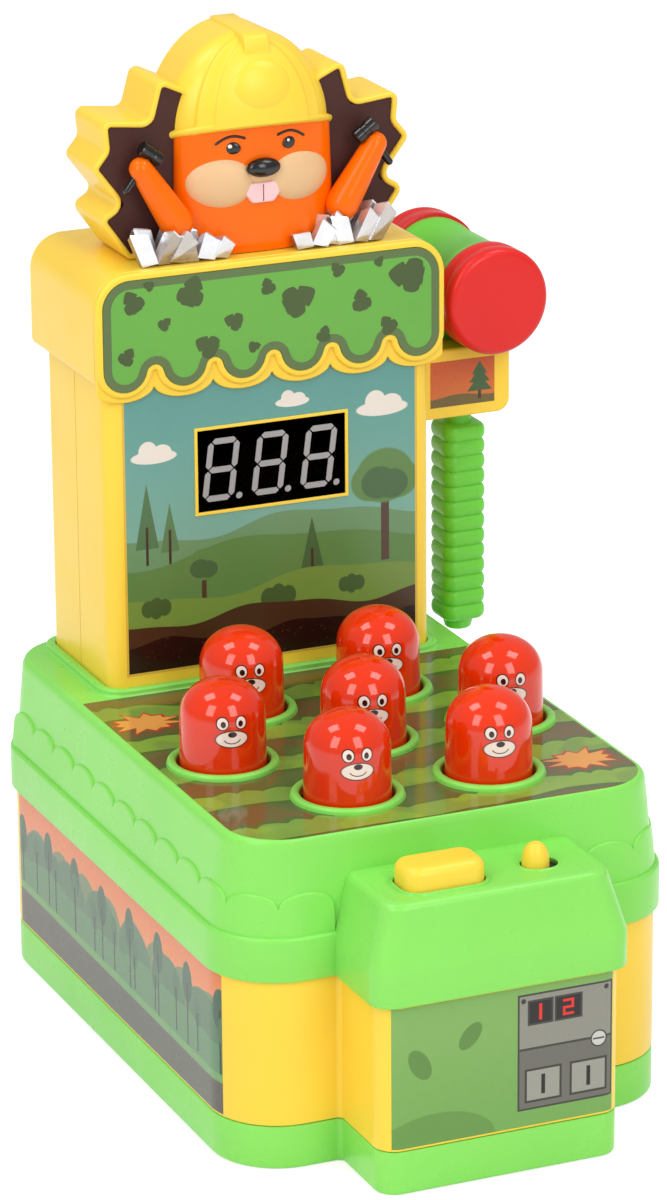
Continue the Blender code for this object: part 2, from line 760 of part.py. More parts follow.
def start_outline(grow):
    half = START_LENGTH / 2 + grow
    corners = [(START_X - half, CONTROL_Y - START_DEPTH / 2 - grow), (START_X + half, CONTROL_Y - START_DEPTH / 2 - grow),
               (START_X + half, CONTROL_Y + START_DEPTH / 2 + grow), (START_X - half, CONTROL_Y + START_DEPTH / 2 + grow)]
    return fillet(corners, START_CORNER + grow)


def knob_slot_outline(grow):
    """The slot lets the knob move from its left end, where it rests, to the right."""
    half = KNOB_NECK_RADIUS + grow
    low, high = KNOB_X - half, KNOB_X + KNOB_TRAVEL + half
    return fillet([(low, CONTROL_Y - half), (high, CONTROL_Y - half), (high, CONTROL_Y + half), (low, CONTROL_Y + half)],
                  half)


def control_lips(bm):
    add_prism(bm, start_outline(START_CLEARANCE + LIP_WIDTH), HOOD_TOP - SHELL_WALL / 2, HOOD_TOP + LIP_RISE)


def control_holes(bm):
    add_prism(bm, start_outline(START_CLEARANCE), HOOD_TOP - SHELL_WALL - OVERRUN, HOOD_TOP + OVERRUN)
    add_prism(bm, knob_slot_outline(START_CLEARANCE), HOOD_TOP - SHELL_WALL - OVERRUN, HOOD_TOP + OVERRUN)


def knob_recess(bm):
    """A shallow dish that the round knob slides in."""
    half = KNOB_RADIUS + START_CLEARANCE
    low, high = KNOB_X - half, KNOB_X + KNOB_TRAVEL + half
    outline = fillet([(low, CONTROL_Y - half), (high, CONTROL_Y - half), (high, CONTROL_Y + half), (low, CONTROL_Y + half)],
                     half)
    add_prism(bm, outline, HOOD_TOP - SHELL_WALL / 2, HOOD_TOP + OVERRUN)


fuse(top_cover, bevel(solid("start_lip", control_lips), LIP_RISE / 2, 1))
cut(top_cover, solid("control_holes", control_holes))
cut(top_cover, solid("knob_recess", knob_recess))


def hole_cutters(bm):
    for x, y in STATIONS:
        add_cylinder(bm, HOLE_RADIUS, DECK_UNDER - OVERRUN, DECK_TOP + OVERRUN, x, y, HOLE_SIDES)


cut(top_cover, solid("mole_holes", hole_cutters))


def deck_label_outline(inset):
    half = BODY_HALF_WIDTH - DECK_EDGE_SIDE - inset
    back_corner = SEAT_GAP
    radius = BODY_CORNER - (DECK_EDGE_SIDE + DECK_EDGE_FRONT) / 2 - inset
    return fillet(rectangle(half, DECK_LABEL_FRONT + inset, DECK_LABEL_BACK - inset),
                  [radius, radius, back_corner, back_corner])


LABEL_POCKET = LABEL_THICK + SEAT_GAP - LABEL_PROUD


def deck_label(bm):
    base = DECK_TOP - LABEL_POCKET + SEAT_GAP
    add_prism(bm, deck_label_outline(SEAT_GAP), base, base + LABEL_THICK)


def label_holes(bm, grow):
    for x, y in STATIONS:
        add_cylinder(bm, RING_RADIUS + grow, DECK_TOP - OVERRUN, DECK_TOP + OVERRUN, x, y, HOLE_SIDES)


def deck_pocket(bm):
    add_prism(bm, deck_label_outline(0.0), DECK_TOP - LABEL_POCKET, DECK_TOP + RING_RISE + OVERRUN)


deck_pocket_tool = solid("deck_pocket", deck_pocket)
cut(deck_pocket_tool, solid("ring_keep", lambda bm: label_holes(bm, SEAT_GAP / 2)))
cut(top_cover, deck_pocket_tool)
label = solid("deck_label", deck_label, DECK_FILM)
cut(label, solid("label_holes", lambda bm: label_holes(bm, SEAT_GAP)))

# Middle of the case: one yellow wall round body and console, with a tongue into the top cover
WALL_LOW = PLINTH_TOP + SEAT_GAP
WALL_HIGH = RIM_BOTTOM - SEAT_GAP
mid_case = solid("mid_case", lambda bm: add_prism(bm, case_outline(0.0), WALL_LOW, WALL_HIGH), YELLOW)
TONGUE_INSET = SHELL_WALL - RIM_PROUD + SEAT_GAP


def tongue(bm):
    """Fits inside the rim of the top cover."""
    inset = max(TONGUE_INSET, SHELL_WALL - HOOD_PROUD + SEAT_GAP)
    add_prism(bm, case_outline(inset), WALL_HIGH - TONGUE_HEIGHT, WALL_HIGH + TONGUE_HEIGHT)


fuse(mid_case, solid("tongue", tongue))
cut(mid_case, solid("case_cavity", lambda bm: add_prism(bm, case_outline(SHELL_WALL), WALL_LOW - OVERRUN,
                                                        WALL_HIGH + TONGUE_HEIGHT + OVERRUN)))



def wall_film(name, x0, x1, y0, y1, mat):
    """A printed film let into the yellow wall, wherever the wall runs through a box seen from above."""
    low, high = WALL_LOW + 2 * SEAT_GAP, WALL_HIGH - 2 * SEAT_GAP
    pocket = solid(name + "_pocket", lambda bm: add_box(bm, x0, x1, y0, y1, low, high))
    cut(pocket, solid(name + "_floor", lambda bm: add_prism(bm, case_outline(LABEL_POCKET), low - OVERRUN,
                                                            high + OVERRUN)))
    cut(mid_case, pocket)
    low, high = low + SEAT_GAP, high - SEAT_GAP
    inner = LABEL_POCKET - SEAT_GAP
    film = solid(name, lambda bm: add_prism(bm, case_outline(inner - LABEL_THICK), low, high), mat)
    cut(film, solid(name + "_inside", lambda bm: add_prism(bm, case_outline(inner), low - OVERRUN, high + OVERRUN)))
    keep = solid(name + "_keep", lambda bm: add_box(bm, x0 + SEAT_GAP, x1 - SEAT_GAP, y0 + SEAT_GAP, y1 - SEAT_GAP,
                                                    low - OVERRUN, high + OVERRUN))
    boolean(film, keep, "INTERSECT")


REACH = BODY_CORNER / 2
wall_film("side_label_left", -BODY_HALF_WIDTH - REACH, -BODY_HALF_WIDTH + REACH, SIDE_LABEL_FRONT, SIDE_LABEL_BACK,
          ROAD_FILM)
wall_film("side_label_right", BODY_HALF_WIDTH - REACH, BODY_HALF_WIDTH + REACH, SIDE_LABEL_FRONT, SIDE_LABEL_BACK,
          ROAD_FILM)
wall_film("console_label", -CONSOLE_LABEL_HALF, CONSOLE_LABEL_HALF, CONSOLE_FRONT - REACH, CONSOLE_FRONT + REACH / 2,
          GREEN_FILM)

# Base tray: floor, wall, battery bay, speaker grille and screw wells
TRAY_TOP = PLINTH_TOP
base_tray = solid("base_tray", lambda bm: add_prism(bm, case_outline(0.0), 0.0, TRAY_TOP), GREEN)
cut(base_tray, solid("tray_cavity", lambda bm: add_prism(bm, case_outline(SHELL_WALL), SHELL_WALL,
                                                         TRAY_TOP + OVERRUN)))
CELL_PITCH = 2 * (CELL_RADIUS + CELL_CLEARANCE)
BAY_HALF_WIDTH = CELLS * CELL_PITCH / 2
BAY_HALF_LENGTH = CELL_LENGTH / 2 + BAY_END_ROOM
BAY_ROOF = DOOR_THICK + SEAT_GAP + 2 * (CELL_RADIUS + CELL_CLEARANCE)


def bay_box(bm, grow, low, high):
    add_box(bm, -BAY_HALF_LENGTH - grow, BAY_HALF_LENGTH + grow, BAY_CENTRE_Y - BAY_HALF_WIDTH - grow,
            BAY_CENTRE_Y + BAY_HALF_WIDTH + grow, low, high)


SEAT_HEIGHT = DOOR_THICK + SEAT_GAP


def door_tab(bm, grow, low, high):
    add_box(bm, BAY_HALF_LENGTH, BAY_HALF_LENGTH + DOOR_TAB_REACH + grow, BAY_CENTRE_Y - DOOR_TAB_HALF - grow,
            BAY_CENTRE_Y + DOOR_TAB_HALF + grow, low, high)


fuse(base_tray, solid("bay_walls", lambda bm: bay_box(bm, BAY_WALL, SHELL_WALL / 2, BAY_ROOF + BAY_WALL)))
fuse(base_tray, solid("bay_frame", lambda bm: bay_box(bm, DOOR_LIP + BAY_WALL, SHELL_WALL / 2,
                                                      SEAT_HEIGHT + BAY_WALL)))
fuse(base_tray, solid("tab_boss", lambda bm: door_tab(bm, BAY_WALL, SHELL_WALL / 2, SCREW_LENGTH + 2 * BAY_WALL)))
cut(base_tray, solid("bay_space", lambda bm: bay_box(bm, 0.0, -OVERRUN, BAY_ROOF)))
cut(base_tray, solid("door_seat", lambda bm: bay_box(bm, DOOR_LIP, -OVERRUN, SEAT_HEIGHT)))
cut(base_tray, solid("tab_seat", lambda bm: door_tab(bm, SEAT_GAP, -OVERRUN, SEAT_HEIGHT)))


def tray_screws():
    x = BODY_HALF_WIDTH - SCREW_INSET
    low, high = BODY_FRONT + SCREW_INSET, BODY_BACK - SCREW_INSET
    nose = CONSOLE_FRONT + SCREW_INSET
    half = CONSOLE_HALF_WIDTH - SCREW_INSET
    return [(-x, low), (x, low), (-x, high), (x, high), (-half, nose), (half, nose)]


TRAY_SCREWS = tray_screws()


def tray_wells(bm):
    for x, y in TRAY_SCREWS:
        add_cylinder(bm, WELL_RADIUS + WELL_WALL, SHELL_WALL / 2, WELL_DEPTH + WELL_WALL, x, y, 10)


def tray_well_bores(bm):
    for x, y in TRAY_SCREWS:
        add_cylinder(bm, WELL_RADIUS, -OVERRUN, WELL_DEPTH, x, y, 10)


fuse(base_tray, solid("tray_wells", tray_wells))
cut(base_tray, solid("tray_well_bores", tray_well_bores))


def grille(bm):
    for k in range(GRILLE_SLOTS):
        y = SPEAKER_Y + (k - (GRILLE_SLOTS - 1) / 2) * GRILLE_PITCH
        reach = math.sqrt(max(0.0, (SPEAKER_RADIUS * GRILLE_REACH_SHARE) ** 2 - (y - SPEAKER_Y) ** 2))
        add_box(bm, -reach, reach, y - GRILLE_SLOT_WIDTH / 2, y + GRILLE_SLOT_WIDTH / 2, -OVERRUN, SHELL_WALL + OVERRUN)


cut(base_tray, solid("speaker_grille", grille))
speaker = turned("speaker", [(0, SPEAKER_HEIGHT), (SPEAKER_RADIUS * SPEAKER_CONE_SHARES[0], SPEAKER_HEIGHT),
                             (SPEAKER_RADIUS * SPEAKER_CONE_SHARES[1], SPEAKER_HEIGHT / 2), (SPEAKER_RADIUS, SPEAKER_HEIGHT / 4),
                             (SPEAKER_RADIUS, 0), (0, 0)], 18, STEEL)
speaker.location = (0, SPEAKER_Y, SHELL_WALL + SEAT_GAP)


SCREW_X = BAY_HALF_LENGTH + DOOR_TAB_REACH - DOOR_TAB_HALF
BORE = SCREW_SHANK_RADIUS + SEAT_GAP
door = solid("battery_door", lambda bm: bay_box(bm, DOOR_LIP - SEAT_GAP, 0.0, DOOR_THICK), GREEN)
fuse(door, solid("door_tab", lambda bm: door_tab(bm, 0.0, 0.0, DOOR_THICK)))
cut(door, solid("door_bore", lambda bm: add_cylinder(bm, BORE, -OVERRUN, DOOR_THICK + OVERRUN, SCREW_X, BAY_CENTRE_Y,
                                                     12)))
cut(door, solid("door_sink", lambda bm: add_cylinder(bm, SCREW_HEAD_RADIUS + SEAT_GAP, -OVERRUN, SCREW_SINK, SCREW_X,
                                                     BAY_CENTRE_Y, 16)))
cut(base_tray, solid("tab_bore", lambda bm: add_cylinder(bm, BORE, -OVERRUN, SCREW_LENGTH + BAY_WALL, SCREW_X,
                                                         BAY_CENTRE_Y, 12)))


def skin(bm, loops):
    """Faces between neighbouring loops; a loop of one vertex is a tip."""
    for a, b in zip(loops, loops[1:]):
        count = max(len(a), len(b))
        for i in range(count):
            j = (i + 1) % count
            if len(a) == 1:
                bm.faces.new((a[0], b[j], b[i]))
            elif len(b) == 1:
                bm.faces.new((a[i], a[j], b[0]))
            else:
                bm.faces.new((a[i], a[j], b[j], b[i]))


# Cells and their contacts
CELL_Z = SEAT_HEIGHT + CELL_RADIUS + CELL_CLEARANCE


def cell_rows():
    return [(BAY_CENTRE_Y + (k - (CELLS - 1) / 2) * CELL_PITCH, 1 if k % 2 else -1) for k in range(CELLS)]


CELL_PROFILE = [(0, CELL_LENGTH / 2), (CELL_TIP_RADIUS, CELL_LENGTH / 2),
                (CELL_TIP_RADIUS, CELL_LENGTH / 2 - CELL_TIP_LENGTH), (CELL_RADIUS, CELL_LENGTH / 2 - CELL_TIP_LENGTH),
                (CELL_RADIUS, -CELL_LENGTH / 2), (0, -CELL_LENGTH / 2)]
for number, (y, way) in enumerate(cell_rows()):
    cell = turned("battery_cell_%d" % (number + 1), CELL_PROFILE, 14, CELL)
    cell.matrix_world = Matrix.Translation((0, y, CELL_Z)) @ Matrix.Rotation(way * math.pi / 2, 4, "Y")


def contact_plate(end, word):
    x = end * (BAY_HALF_LENGTH - SEAT_GAP)
    inner = x - end * CONTACT_THICK
    reach = CELL_RADIUS * CONTACT_SHARE
    plate = solid("battery_contact_" + word, lambda bm: add_box(
        bm, min(x, inner), max(x, inner), BAY_CENTRE_Y - CELL_PITCH - reach, BAY_CENTRE_Y + CELL_PITCH + reach,
        CELL_Z - reach, CELL_Z + reach), STEEL)
    low, high = sorted((inner + end * CONTACT_THICK / 2, inner - end * CONTACT_REACH))

    def bosses(bm):
        for y, way in cell_rows():
            add_cylinder(bm, CELL_TIP_RADIUS, low, high, y, CELL_Z, 8, axis="x")

    fuse(plate, solid("contact_bosses_" + word, bosses))


contact_plate(-1, "left")
contact_plate(1, "right")

# Board under the moles, with a tact switch and a lamp at each station
BOARD_HALF_WIDTH = MOLE_PITCH + BOARD_MARGIN * BOARD_SIDE_SHARE
BOARD_FRONT = MID_ROW - ROW_PITCH - BOARD_MARGIN
BOARD_BACK = MID_ROW + ROW_PITCH + BOARD_MARGIN


main_board = solid("main_board", lambda bm: add_prism(bm, fillet(rectangle(BOARD_HALF_WIDTH, BOARD_FRONT, BOARD_BACK),
                                                                 BOARD_MARGIN / 4, 3),
                                                      BOARD_TOP - BOARD_THICK, BOARD_TOP), BOARD)


def board_parts(bm):
    """A tact switch and a lamp soldered at each station."""
    base = BOARD_TOP - BOARD_THICK / 2
    half = SWITCH_SIDE / 2
    for x, y in STATIONS:
        add_box(bm, x - half, x + half, y + PLUNGER_OFFSET - half, y + PLUNGER_OFFSET + half, base,
                BOARD_TOP + SWITCH_HEIGHT)
        add_cylinder(bm, LED_RADIUS, base, BOARD_TOP + LED_HEIGHT, x, y - LED_RADIUS, 8, LED_RADIUS * LED_TIP_SHARE)


def board_stems(bm):
    for x, y in STATIONS:
        add_cylinder(bm, SWITCH_STEM_RADIUS, BOARD_TOP + SWITCH_HEIGHT / 2,
                     BOARD_TOP + SWITCH_HEIGHT + SWITCH_STEM_HEIGHT, x, y + PLUNGER_OFFSET, 6)


fuse(main_board, solid("board_parts", board_parts))
fuse(main_board, solid("board_stems", board_stems))

# Mole caps on their springs
FLANGE_TOP = DECK_UNDER - SEAT_GAP
WEB_Z = MOLE_SHOULDER - SPRING_SEAT_HEIGHT
PLUNGER_LOW = BOARD_TOP + SEAT_GAP + SWITCH_HEIGHT + SWITCH_STEM_HEIGHT + MOLE_TRAVEL + SEAT_GAP
DOME_STEPS = 4


def mole_profile():
    dome = MOLE_TOP - MOLE_SHOULDER
    out = []
    for k in range(DOME_STEPS + 1):
        angle = math.pi / 2 * k / DOME_STEPS
        out.append((MOLE_RADIUS * math.sin(angle), MOLE_SHOULDER + dome * math.cos(angle)))
    foot = MOLE_RADIUS + MOLE_TAPER
    low = FLANGE_TOP - MOLE_FLANGE_THICK
    inner = MOLE_RADIUS - MOLE_WALL
    out += [(foot, FLANGE_TOP), (MOLE_FLANGE_RADIUS, FLANGE_TOP), (MOLE_FLANGE_RADIUS, low), (inner, low),
            (inner, WEB_Z), (inner - SPRING_SEAT_WIDTH, WEB_Z), (inner - SPRING_SEAT_WIDTH, MOLE_SHOULDER),
            (0, MOLE_TOP - 2 * MOLE_WALL)]
    return out


def mole_cap(number, x, y):
    ob = turned("mole_%d" % number, [(r, z) for r, z in mole_profile()], MOLE_SIDES, RED)
    ob.location = (x, y, 0)
    rod = solid("plunger_%d" % number, lambda bm: add_cylinder(
        bm, PLUNGER_RADIUS, PLUNGER_LOW, MOLE_TOP - MOLE_WALL * 3, x, y + PLUNGER_OFFSET, 6))
    fuse(ob, rod)
    return ob


def coil(name, x, y, low, high, radius, wire, turns, mat):
    """A round wire wound into an open spring: a poly spline with a bevel, made a mesh."""
    curve = bpy.data.curves.new(name, "CURVE")
    curve.dimensions = "3D"
    curve.bevel_depth = wire
    curve.bevel_resolution = 0
    curve.use_fill_caps = True
    steps = int(turns * SPRING_POINTS_PER_TURN)
    spline = curve.splines.new("POLY")
    spline.points.add(steps)
    for k, point in enumerate(spline.points):
        angle = math.tau * k / SPRING_POINTS_PER_TURN
        z = low + wire + (high - low - 2 * wire) * k / steps
        point.co = (x + radius * math.cos(angle), y + radius * math.sin(angle), z, 1)
    made = bpy.data.objects.new(name + "_wire", curve)
    scene.collection.objects.link(made)
    mesh = bpy.data.meshes.new_from_object(made)
    bpy.data.objects.remove(made, do_unlink=True)
    bm = bmesh.new()
    bm.from_mesh(mesh)
    bmesh.ops.remove_doubles(bm, verts=bm.verts[:], dist=MERGE)
    return finish(name, bm, mat)


for index, (x, y) in enumerate(STATIONS):
    mole_cap(index + 1, x, y)
    coil("mole_spring_%d" % (index + 1), x, y, BOARD_TOP + SEAT_GAP, WEB_Z - SEAT_GAP, SPRING_RADIUS, SPRING_WIRE / 2,
         SPRING_TURNS, STEEL)

# Console: start bar and slide knob over their own switches on a small board
HOOD_UNDER = HOOD_TOP - SHELL_WALL


def start_bar(bm):
    """The bar's rounded top, straight sides and a wider foot that stays under the hood."""
    top = HOOD_TOP + START_RISE
    rings = []
    flange = HOOD_UNDER - SEAT_GAP
    for z, grow in ((flange - FLANGE_THICK, FLANGE_OVERLAP), (flange, FLANGE_OVERLAP)):
        rings.append([(x, y, z) for x, y in start_outline(START_CLEARANCE + grow)])
    rings.append([(x, y, flange) for x, y in start_outline(0.0)])
    for k in range(4):
        angle = math.pi / 2 * k / 3
        shrink = START_EDGE * (1 - math.cos(angle))
        z = top - START_EDGE + START_EDGE * math.sin(angle)
        rings.append([(x, y, z) for x, y in start_outline(-shrink)])
    add_loft(bm, rings)


start_button = solid("start_button", start_bar, YELLOW)
CONSOLE_BOARD_TOP = HOOD_UNDER - CONSOLE_BOARD_DROP
START_STEM_LOW = CONSOLE_BOARD_TOP + SEAT_GAP + SWITCH_HEIGHT + SWITCH_STEM_HEIGHT + START_TRAVEL + SEAT_GAP
fuse(start_button, solid("start_stem", lambda bm: add_cylinder(
    bm, START_STEM_RADIUS, START_STEM_LOW, HOOD_UNDER - SEAT_GAP - FLANGE_THICK / 2, START_X, CONTROL_Y, 16)))
CONSOLE_BOARD_HALF = CONSOLE_HALF_WIDTH - CONSOLE_CORNER
console_board = solid("console_board", lambda bm: add_box(bm, -CONSOLE_BOARD_HALF, CONSOLE_BOARD_HALF, CONTROL_Y - START_DEPTH / 2,
                                          CONTROL_Y + START_DEPTH / 2, CONSOLE_BOARD_TOP - BOARD_THICK,
                                          CONSOLE_BOARD_TOP), BOARD)


def start_switch(bm):
    half = SWITCH_SIDE / 2
    add_box(bm, START_X - half, START_X + half, CONTROL_Y - half, CONTROL_Y + half, CONSOLE_BOARD_TOP - BOARD_THICK / 2,
            CONSOLE_BOARD_TOP + SWITCH_HEIGHT)


fuse(console_board, solid("start_switch", start_switch))
fuse(console_board, solid("start_switch_stem", lambda bm: add_cylinder(
    bm, SWITCH_STEM_RADIUS, CONSOLE_BOARD_TOP + SWITCH_HEIGHT / 2, CONSOLE_BOARD_TOP + SWITCH_HEIGHT + SWITCH_STEM_HEIGHT,
    START_X, CONTROL_Y, 10)))
coil("start_spring", START_X, CONTROL_Y, CONSOLE_BOARD_TOP + SEAT_GAP, HOOD_UNDER - FLANGE_THICK - 2 * SEAT_GAP,
     START_SPRING_RADIUS, SPRING_WIRE / 2, SPRING_TURNS, STEEL)
SLIDE_TOP = CONSOLE_BOARD_TOP + SWITCH_BODY_HEIGHT
KNOB_MIDDLE = KNOB_X + KNOB_TRAVEL / 2
fuse(console_board, solid("slide_switch", lambda bm: add_box(
    bm, KNOB_MIDDLE - SWITCH_BODY_LENGTH / 2, KNOB_MIDDLE + SWITCH_BODY_LENGTH / 2,
    CONTROL_Y - SWITCH_BODY_DEPTH / 2, CONTROL_Y + SWITCH_BODY_DEPTH / 2, CONSOLE_BOARD_TOP - BOARD_THICK / 2,
    SLIDE_TOP)))


def slide_channel(bm):
    half = KNOB_NECK_RADIUS + SEAT_GAP
    add_box(bm, KNOB_X - half - SEAT_GAP, KNOB_X + KNOB_TRAVEL + half + SEAT_GAP, CONTROL_Y - half, CONTROL_Y + half,
            SLIDE_TOP - SWITCH_BODY_HEIGHT / 2, SLIDE_TOP + OVERRUN)


cut(console_board, solid("slide_channel", slide_channel))


def slide_knob():
    """Egg-shaped knob on a round neck that reaches down into the slide switch."""
    top = HOOD_TOP + KNOB_RISE
    dish = HOOD_TOP - SHELL_WALL / 2 + SEAT_GAP
    egg = [(KNOB_RADIUS * wide, top - KNOB_RISE * down) for wide, down in KNOB_SHARES]
    profile = [(0, top)] + egg + [
               (KNOB_RADIUS, dish), (KNOB_NECK_RADIUS, dish),
               (KNOB_NECK_RADIUS, SLIDE_TOP - SWITCH_BODY_HEIGHT / 2 + SEAT_GAP),
               (0, SLIDE_TOP - SWITCH_BODY_HEIGHT / 2 + SEAT_GAP)]
    ob = turned("switch_knob", profile, 16, YELLOW)
    ob.location = (KNOB_X, CONTROL_Y, 0)


slide_knob()

# Tower: two shells, panel film and display
TOWER_LOW = DECK_TOP + SEAT_GAP
TOWER_HIGH = CANOPY_BOTTOM - SEAT_GAP
TOWER_SPLIT = TOWER_FRONT + (TOWER_BACK - TOWER_FRONT) * TOWER_SPLIT_SHARE


def tower_half(name, low_y, high_y):
    ob = solid(name, lambda bm: add_prism(bm, tower_outline(0.0), TOWER_LOW, TOWER_HIGH), YELLOW)
    cut(ob, solid(name + "_cavity", lambda bm: add_prism(bm, tower_outline(-SHELL_WALL), TOWER_LOW - OVERRUN,
                                                         TOWER_HIGH - SHELL_WALL)))
    boolean(ob, solid(name + "_keep", lambda bm: add_box(bm, -TOWER_HALF_WIDTH - OVERRUN, TOWER_HALF_WIDTH + OVERRUN,
                                                         low_y, high_y, TOWER_LOW - OVERRUN, TOWER_HIGH + OVERRUN)),
            "INTERSECT")
    return ob


tower_front = tower_half("tower_front", TOWER_FRONT - OVERRUN, TOWER_SPLIT - SEAT_GAP / 2)
tower_half("tower_back", TOWER_SPLIT + SEAT_GAP / 2, TOWER_BACK + OVERRUN)


def panel_box(bm, grow, y0, y1):
    add_box(bm, -PANEL_HALF_WIDTH - grow, PANEL_HALF_WIDTH + grow, y0, y1, PANEL_BOTTOM - grow, PANEL_TOP + grow)


def bezel_box(bm, grow, y0, y1):
    add_box(bm, -BEZEL_HALF_WIDTH - grow, BEZEL_HALF_WIDTH + grow, y0, y1, BEZEL_BOTTOM - grow, BEZEL_TOP + grow)


cut(tower_front, solid("panel_pocket", lambda bm: panel_box(bm, SEAT_GAP, TOWER_FRONT - OVERRUN,
                                                            TOWER_FRONT + LABEL_POCKET)))
cut(tower_front, solid("display_window", lambda bm: bezel_box(bm, -2 * BEZEL_WALL, TOWER_FRONT - OVERRUN,
                                                              TOWER_FRONT + SHELL_WALL + OVERRUN)))
panel_label = solid("panel_label", lambda bm: panel_box(bm, 0.0, TOWER_FRONT - LABEL_PROUD,
                                                        TOWER_FRONT - LABEL_PROUD + LABEL_THICK), SKY_FILM)
cut(panel_label, solid("panel_opening", lambda bm: bezel_box(bm, SEAT_GAP, TOWER_FRONT - OVERRUN,
                                                             TOWER_FRONT + OVERRUN)))
display = solid("display_module", lambda bm: bezel_box(bm, 0.0, TOWER_FRONT - LABEL_PROUD - BEZEL_PROUD,
                                                       TOWER_FRONT + LABEL_POCKET - SEAT_GAP), SCREEN)
fuse(display, solid("display_body", lambda bm: bezel_box(bm, -2 * BEZEL_WALL - SEAT_GAP, TOWER_FRONT,
                                                         TOWER_FRONT + MODULE_DEPTH)))
cut(display, solid("display_recess", lambda bm: bezel_box(bm, -BEZEL_WALL, TOWER_FRONT - OVERRUN,
                                                          TOWER_FRONT + LABEL_PROUD)))
solid("display_board", lambda bm: bezel_box(bm, DISPLAY_BOARD_MARGIN, TOWER_FRONT + MODULE_DEPTH + SEAT_GAP,
                                            TOWER_FRONT + MODULE_DEPTH + SEAT_GAP + DISPLAY_BOARD_THICK), BOARD)

# Canopy: lobed front plate and hollow box behind it
PLATE_BACK = TOWER_FRONT - SEAT_GAP
FILM_HALF = CANOPY_HALF_WIDTH - CANOPY_LABEL_MARGIN
LOBE_PITCH = CANOPY_HALF_WIDTH * LOBE_PITCH_SHARE
LOBE_CENTRES = [LOBE_PITCH * (i - (LOBES - 1) / 2) for i in range(LOBES)]
LOBE_SWEEP = 2 * math.atan(2 * LOBE_DEPTH / LOBE_PITCH)
LOBE_RADIUS = LOBE_PITCH / 2 / math.sin(LOBE_SWEEP) - NOTCH_RADIUS
END_RADIUS = FILM_HALF - LOBE_CENTRES[-1]


def arc_points(x, z, radius, start, end, steps):
    return [(x + radius * math.cos(start + (end - start) * k / steps),
             z + radius * math.sin(start + (end - start) * k / steps)) for k in range(steps + 1)]


def shoulders(grow):
    """The outline's top, from the right side over both round shoulders to the left side."""
    half, top = FILM_HALF + grow, CANOPY_TOP - CANOPY_LABEL_MARGIN + grow
    radius = CANOPY_CORNER - CANOPY_LABEL_MARGIN + grow
    right = arc_points(half - radius, top - radius, radius, 0.0, math.pi / 2, LOBE_STEPS)
    return right + [(-x, z) for x, z in reversed(right)]


def lobed_outline(grow, low):
    """Two round shoulders above; lobes below, joined by smaller round notches along common tangents."""
    down = -math.pi / 2
    points = shoulders(grow)
    for i, x in enumerate(LOBE_CENTRES):
        first, last = i == 0, i == LOBES - 1
        centre = low + LOBE_RADIUS
        if first:
            points += arc_points(x, low + END_RADIUS, END_RADIUS + grow, math.pi, -down * 3, NOTCH_STEPS)
            points += arc_points(x, centre, LOBE_RADIUS + grow, down, down + LOBE_SWEEP, LOBE_STEPS // 2)[1:]
        elif last:
            points += arc_points(x, centre, LOBE_RADIUS + grow, down - LOBE_SWEEP, down, LOBE_STEPS // 2)[:-1]
            points += arc_points(x, low + END_RADIUS, END_RADIUS + grow, down, 0.0, NOTCH_STEPS)
        else:
            points += arc_points(x, centre, LOBE_RADIUS + grow, down - LOBE_SWEEP, down + LOBE_SWEEP, LOBE_STEPS)
        if not last:
            points += arc_points(x + LOBE_PITCH / 2, low + LOBE_DEPTH - NOTCH_RADIUS, NOTCH_RADIUS - grow,
                                 -down + LOBE_SWEEP, -down - LOBE_SWEEP, NOTCH_STEPS)[1:-1]
    return points


def lip_outline(low):
    """Round arcs that meet in cusps, for the layer behind."""
    half = CANOPY_HALF_WIDTH
    points = shoulders(CANOPY_LABEL_MARGIN)
    count = LOBES * LIP_STEPS
    for k in range(1, count):
        u = abs((k / LIP_STEPS % 1.0) * 2 - 1)
        x = LOBE_CENTRES[0] - LOBE_PITCH / 2 + LOBE_PITCH * k / LIP_STEPS
        if abs(x) < half:
            points.append((x, low + LIP_HEIGHT * (1 - math.sqrt(1 - u * u * LIP_FULLNESS))))
    return points


FILM_LOW = CANOPY_BOTTOM - PLATE_DROP + CANOPY_LABEL_MARGIN
LOBE_STEP_Y = (CANOPY_FRONT + PLATE_BACK) / 2
canopy_plate = solid("canopy_plate", lambda bm: add_prism(bm, lobed_outline(CANOPY_LABEL_MARGIN, FILM_LOW),
                                                          CANOPY_FRONT, LOBE_STEP_Y + SEAT_GAP, "y"), YELLOW)
fuse(canopy_plate, solid("canopy_lip", lambda bm: add_prism(bm, lip_outline(CANOPY_BOTTOM - LIP_DROP), LOBE_STEP_Y,
                                                            PLATE_BACK, "y")))
cut(canopy_plate, solid("canopy_pocket", lambda bm: add_prism(bm, lobed_outline(SEAT_GAP, FILM_LOW),
                                                              CANOPY_FRONT - OVERRUN, CANOPY_FRONT + LABEL_POCKET, "y")))
solid("canopy_label", lambda bm: add_prism(bm, lobed_outline(0.0, FILM_LOW), CANOPY_FRONT - LABEL_PROUD,
                                           CANOPY_FRONT - LABEL_PROUD + LABEL_THICK, "y"), GREEN_FILM)


def canopy_section(inset):
    half = CANOPY_HALF_WIDTH - inset
    return fillet([(half, CANOPY_BOTTOM + inset), (half, CANOPY_TOP - inset), (-half, CANOPY_TOP - inset),
                   (-half, CANOPY_BOTTOM + inset)],
                  [CANOPY_FOOT_CORNER, CANOPY_CORNER - inset, CANOPY_CORNER - inset, CANOPY_FOOT_CORNER])


canopy_box = solid("canopy_box", lambda bm: add_prism(bm, canopy_section(0.0), TOWER_FRONT, CANOPY_BACK, "y"), YELLOW)
bevel(canopy_box, CANOPY_FILLET, 2)
cut(canopy_box, solid("canopy_cavity", lambda bm: add_prism(bm, canopy_section(SHELL_WALL), TOWER_FRONT - OVERRUN,
                                                            CANOPY_BACK - SHELL_WALL, "y")))

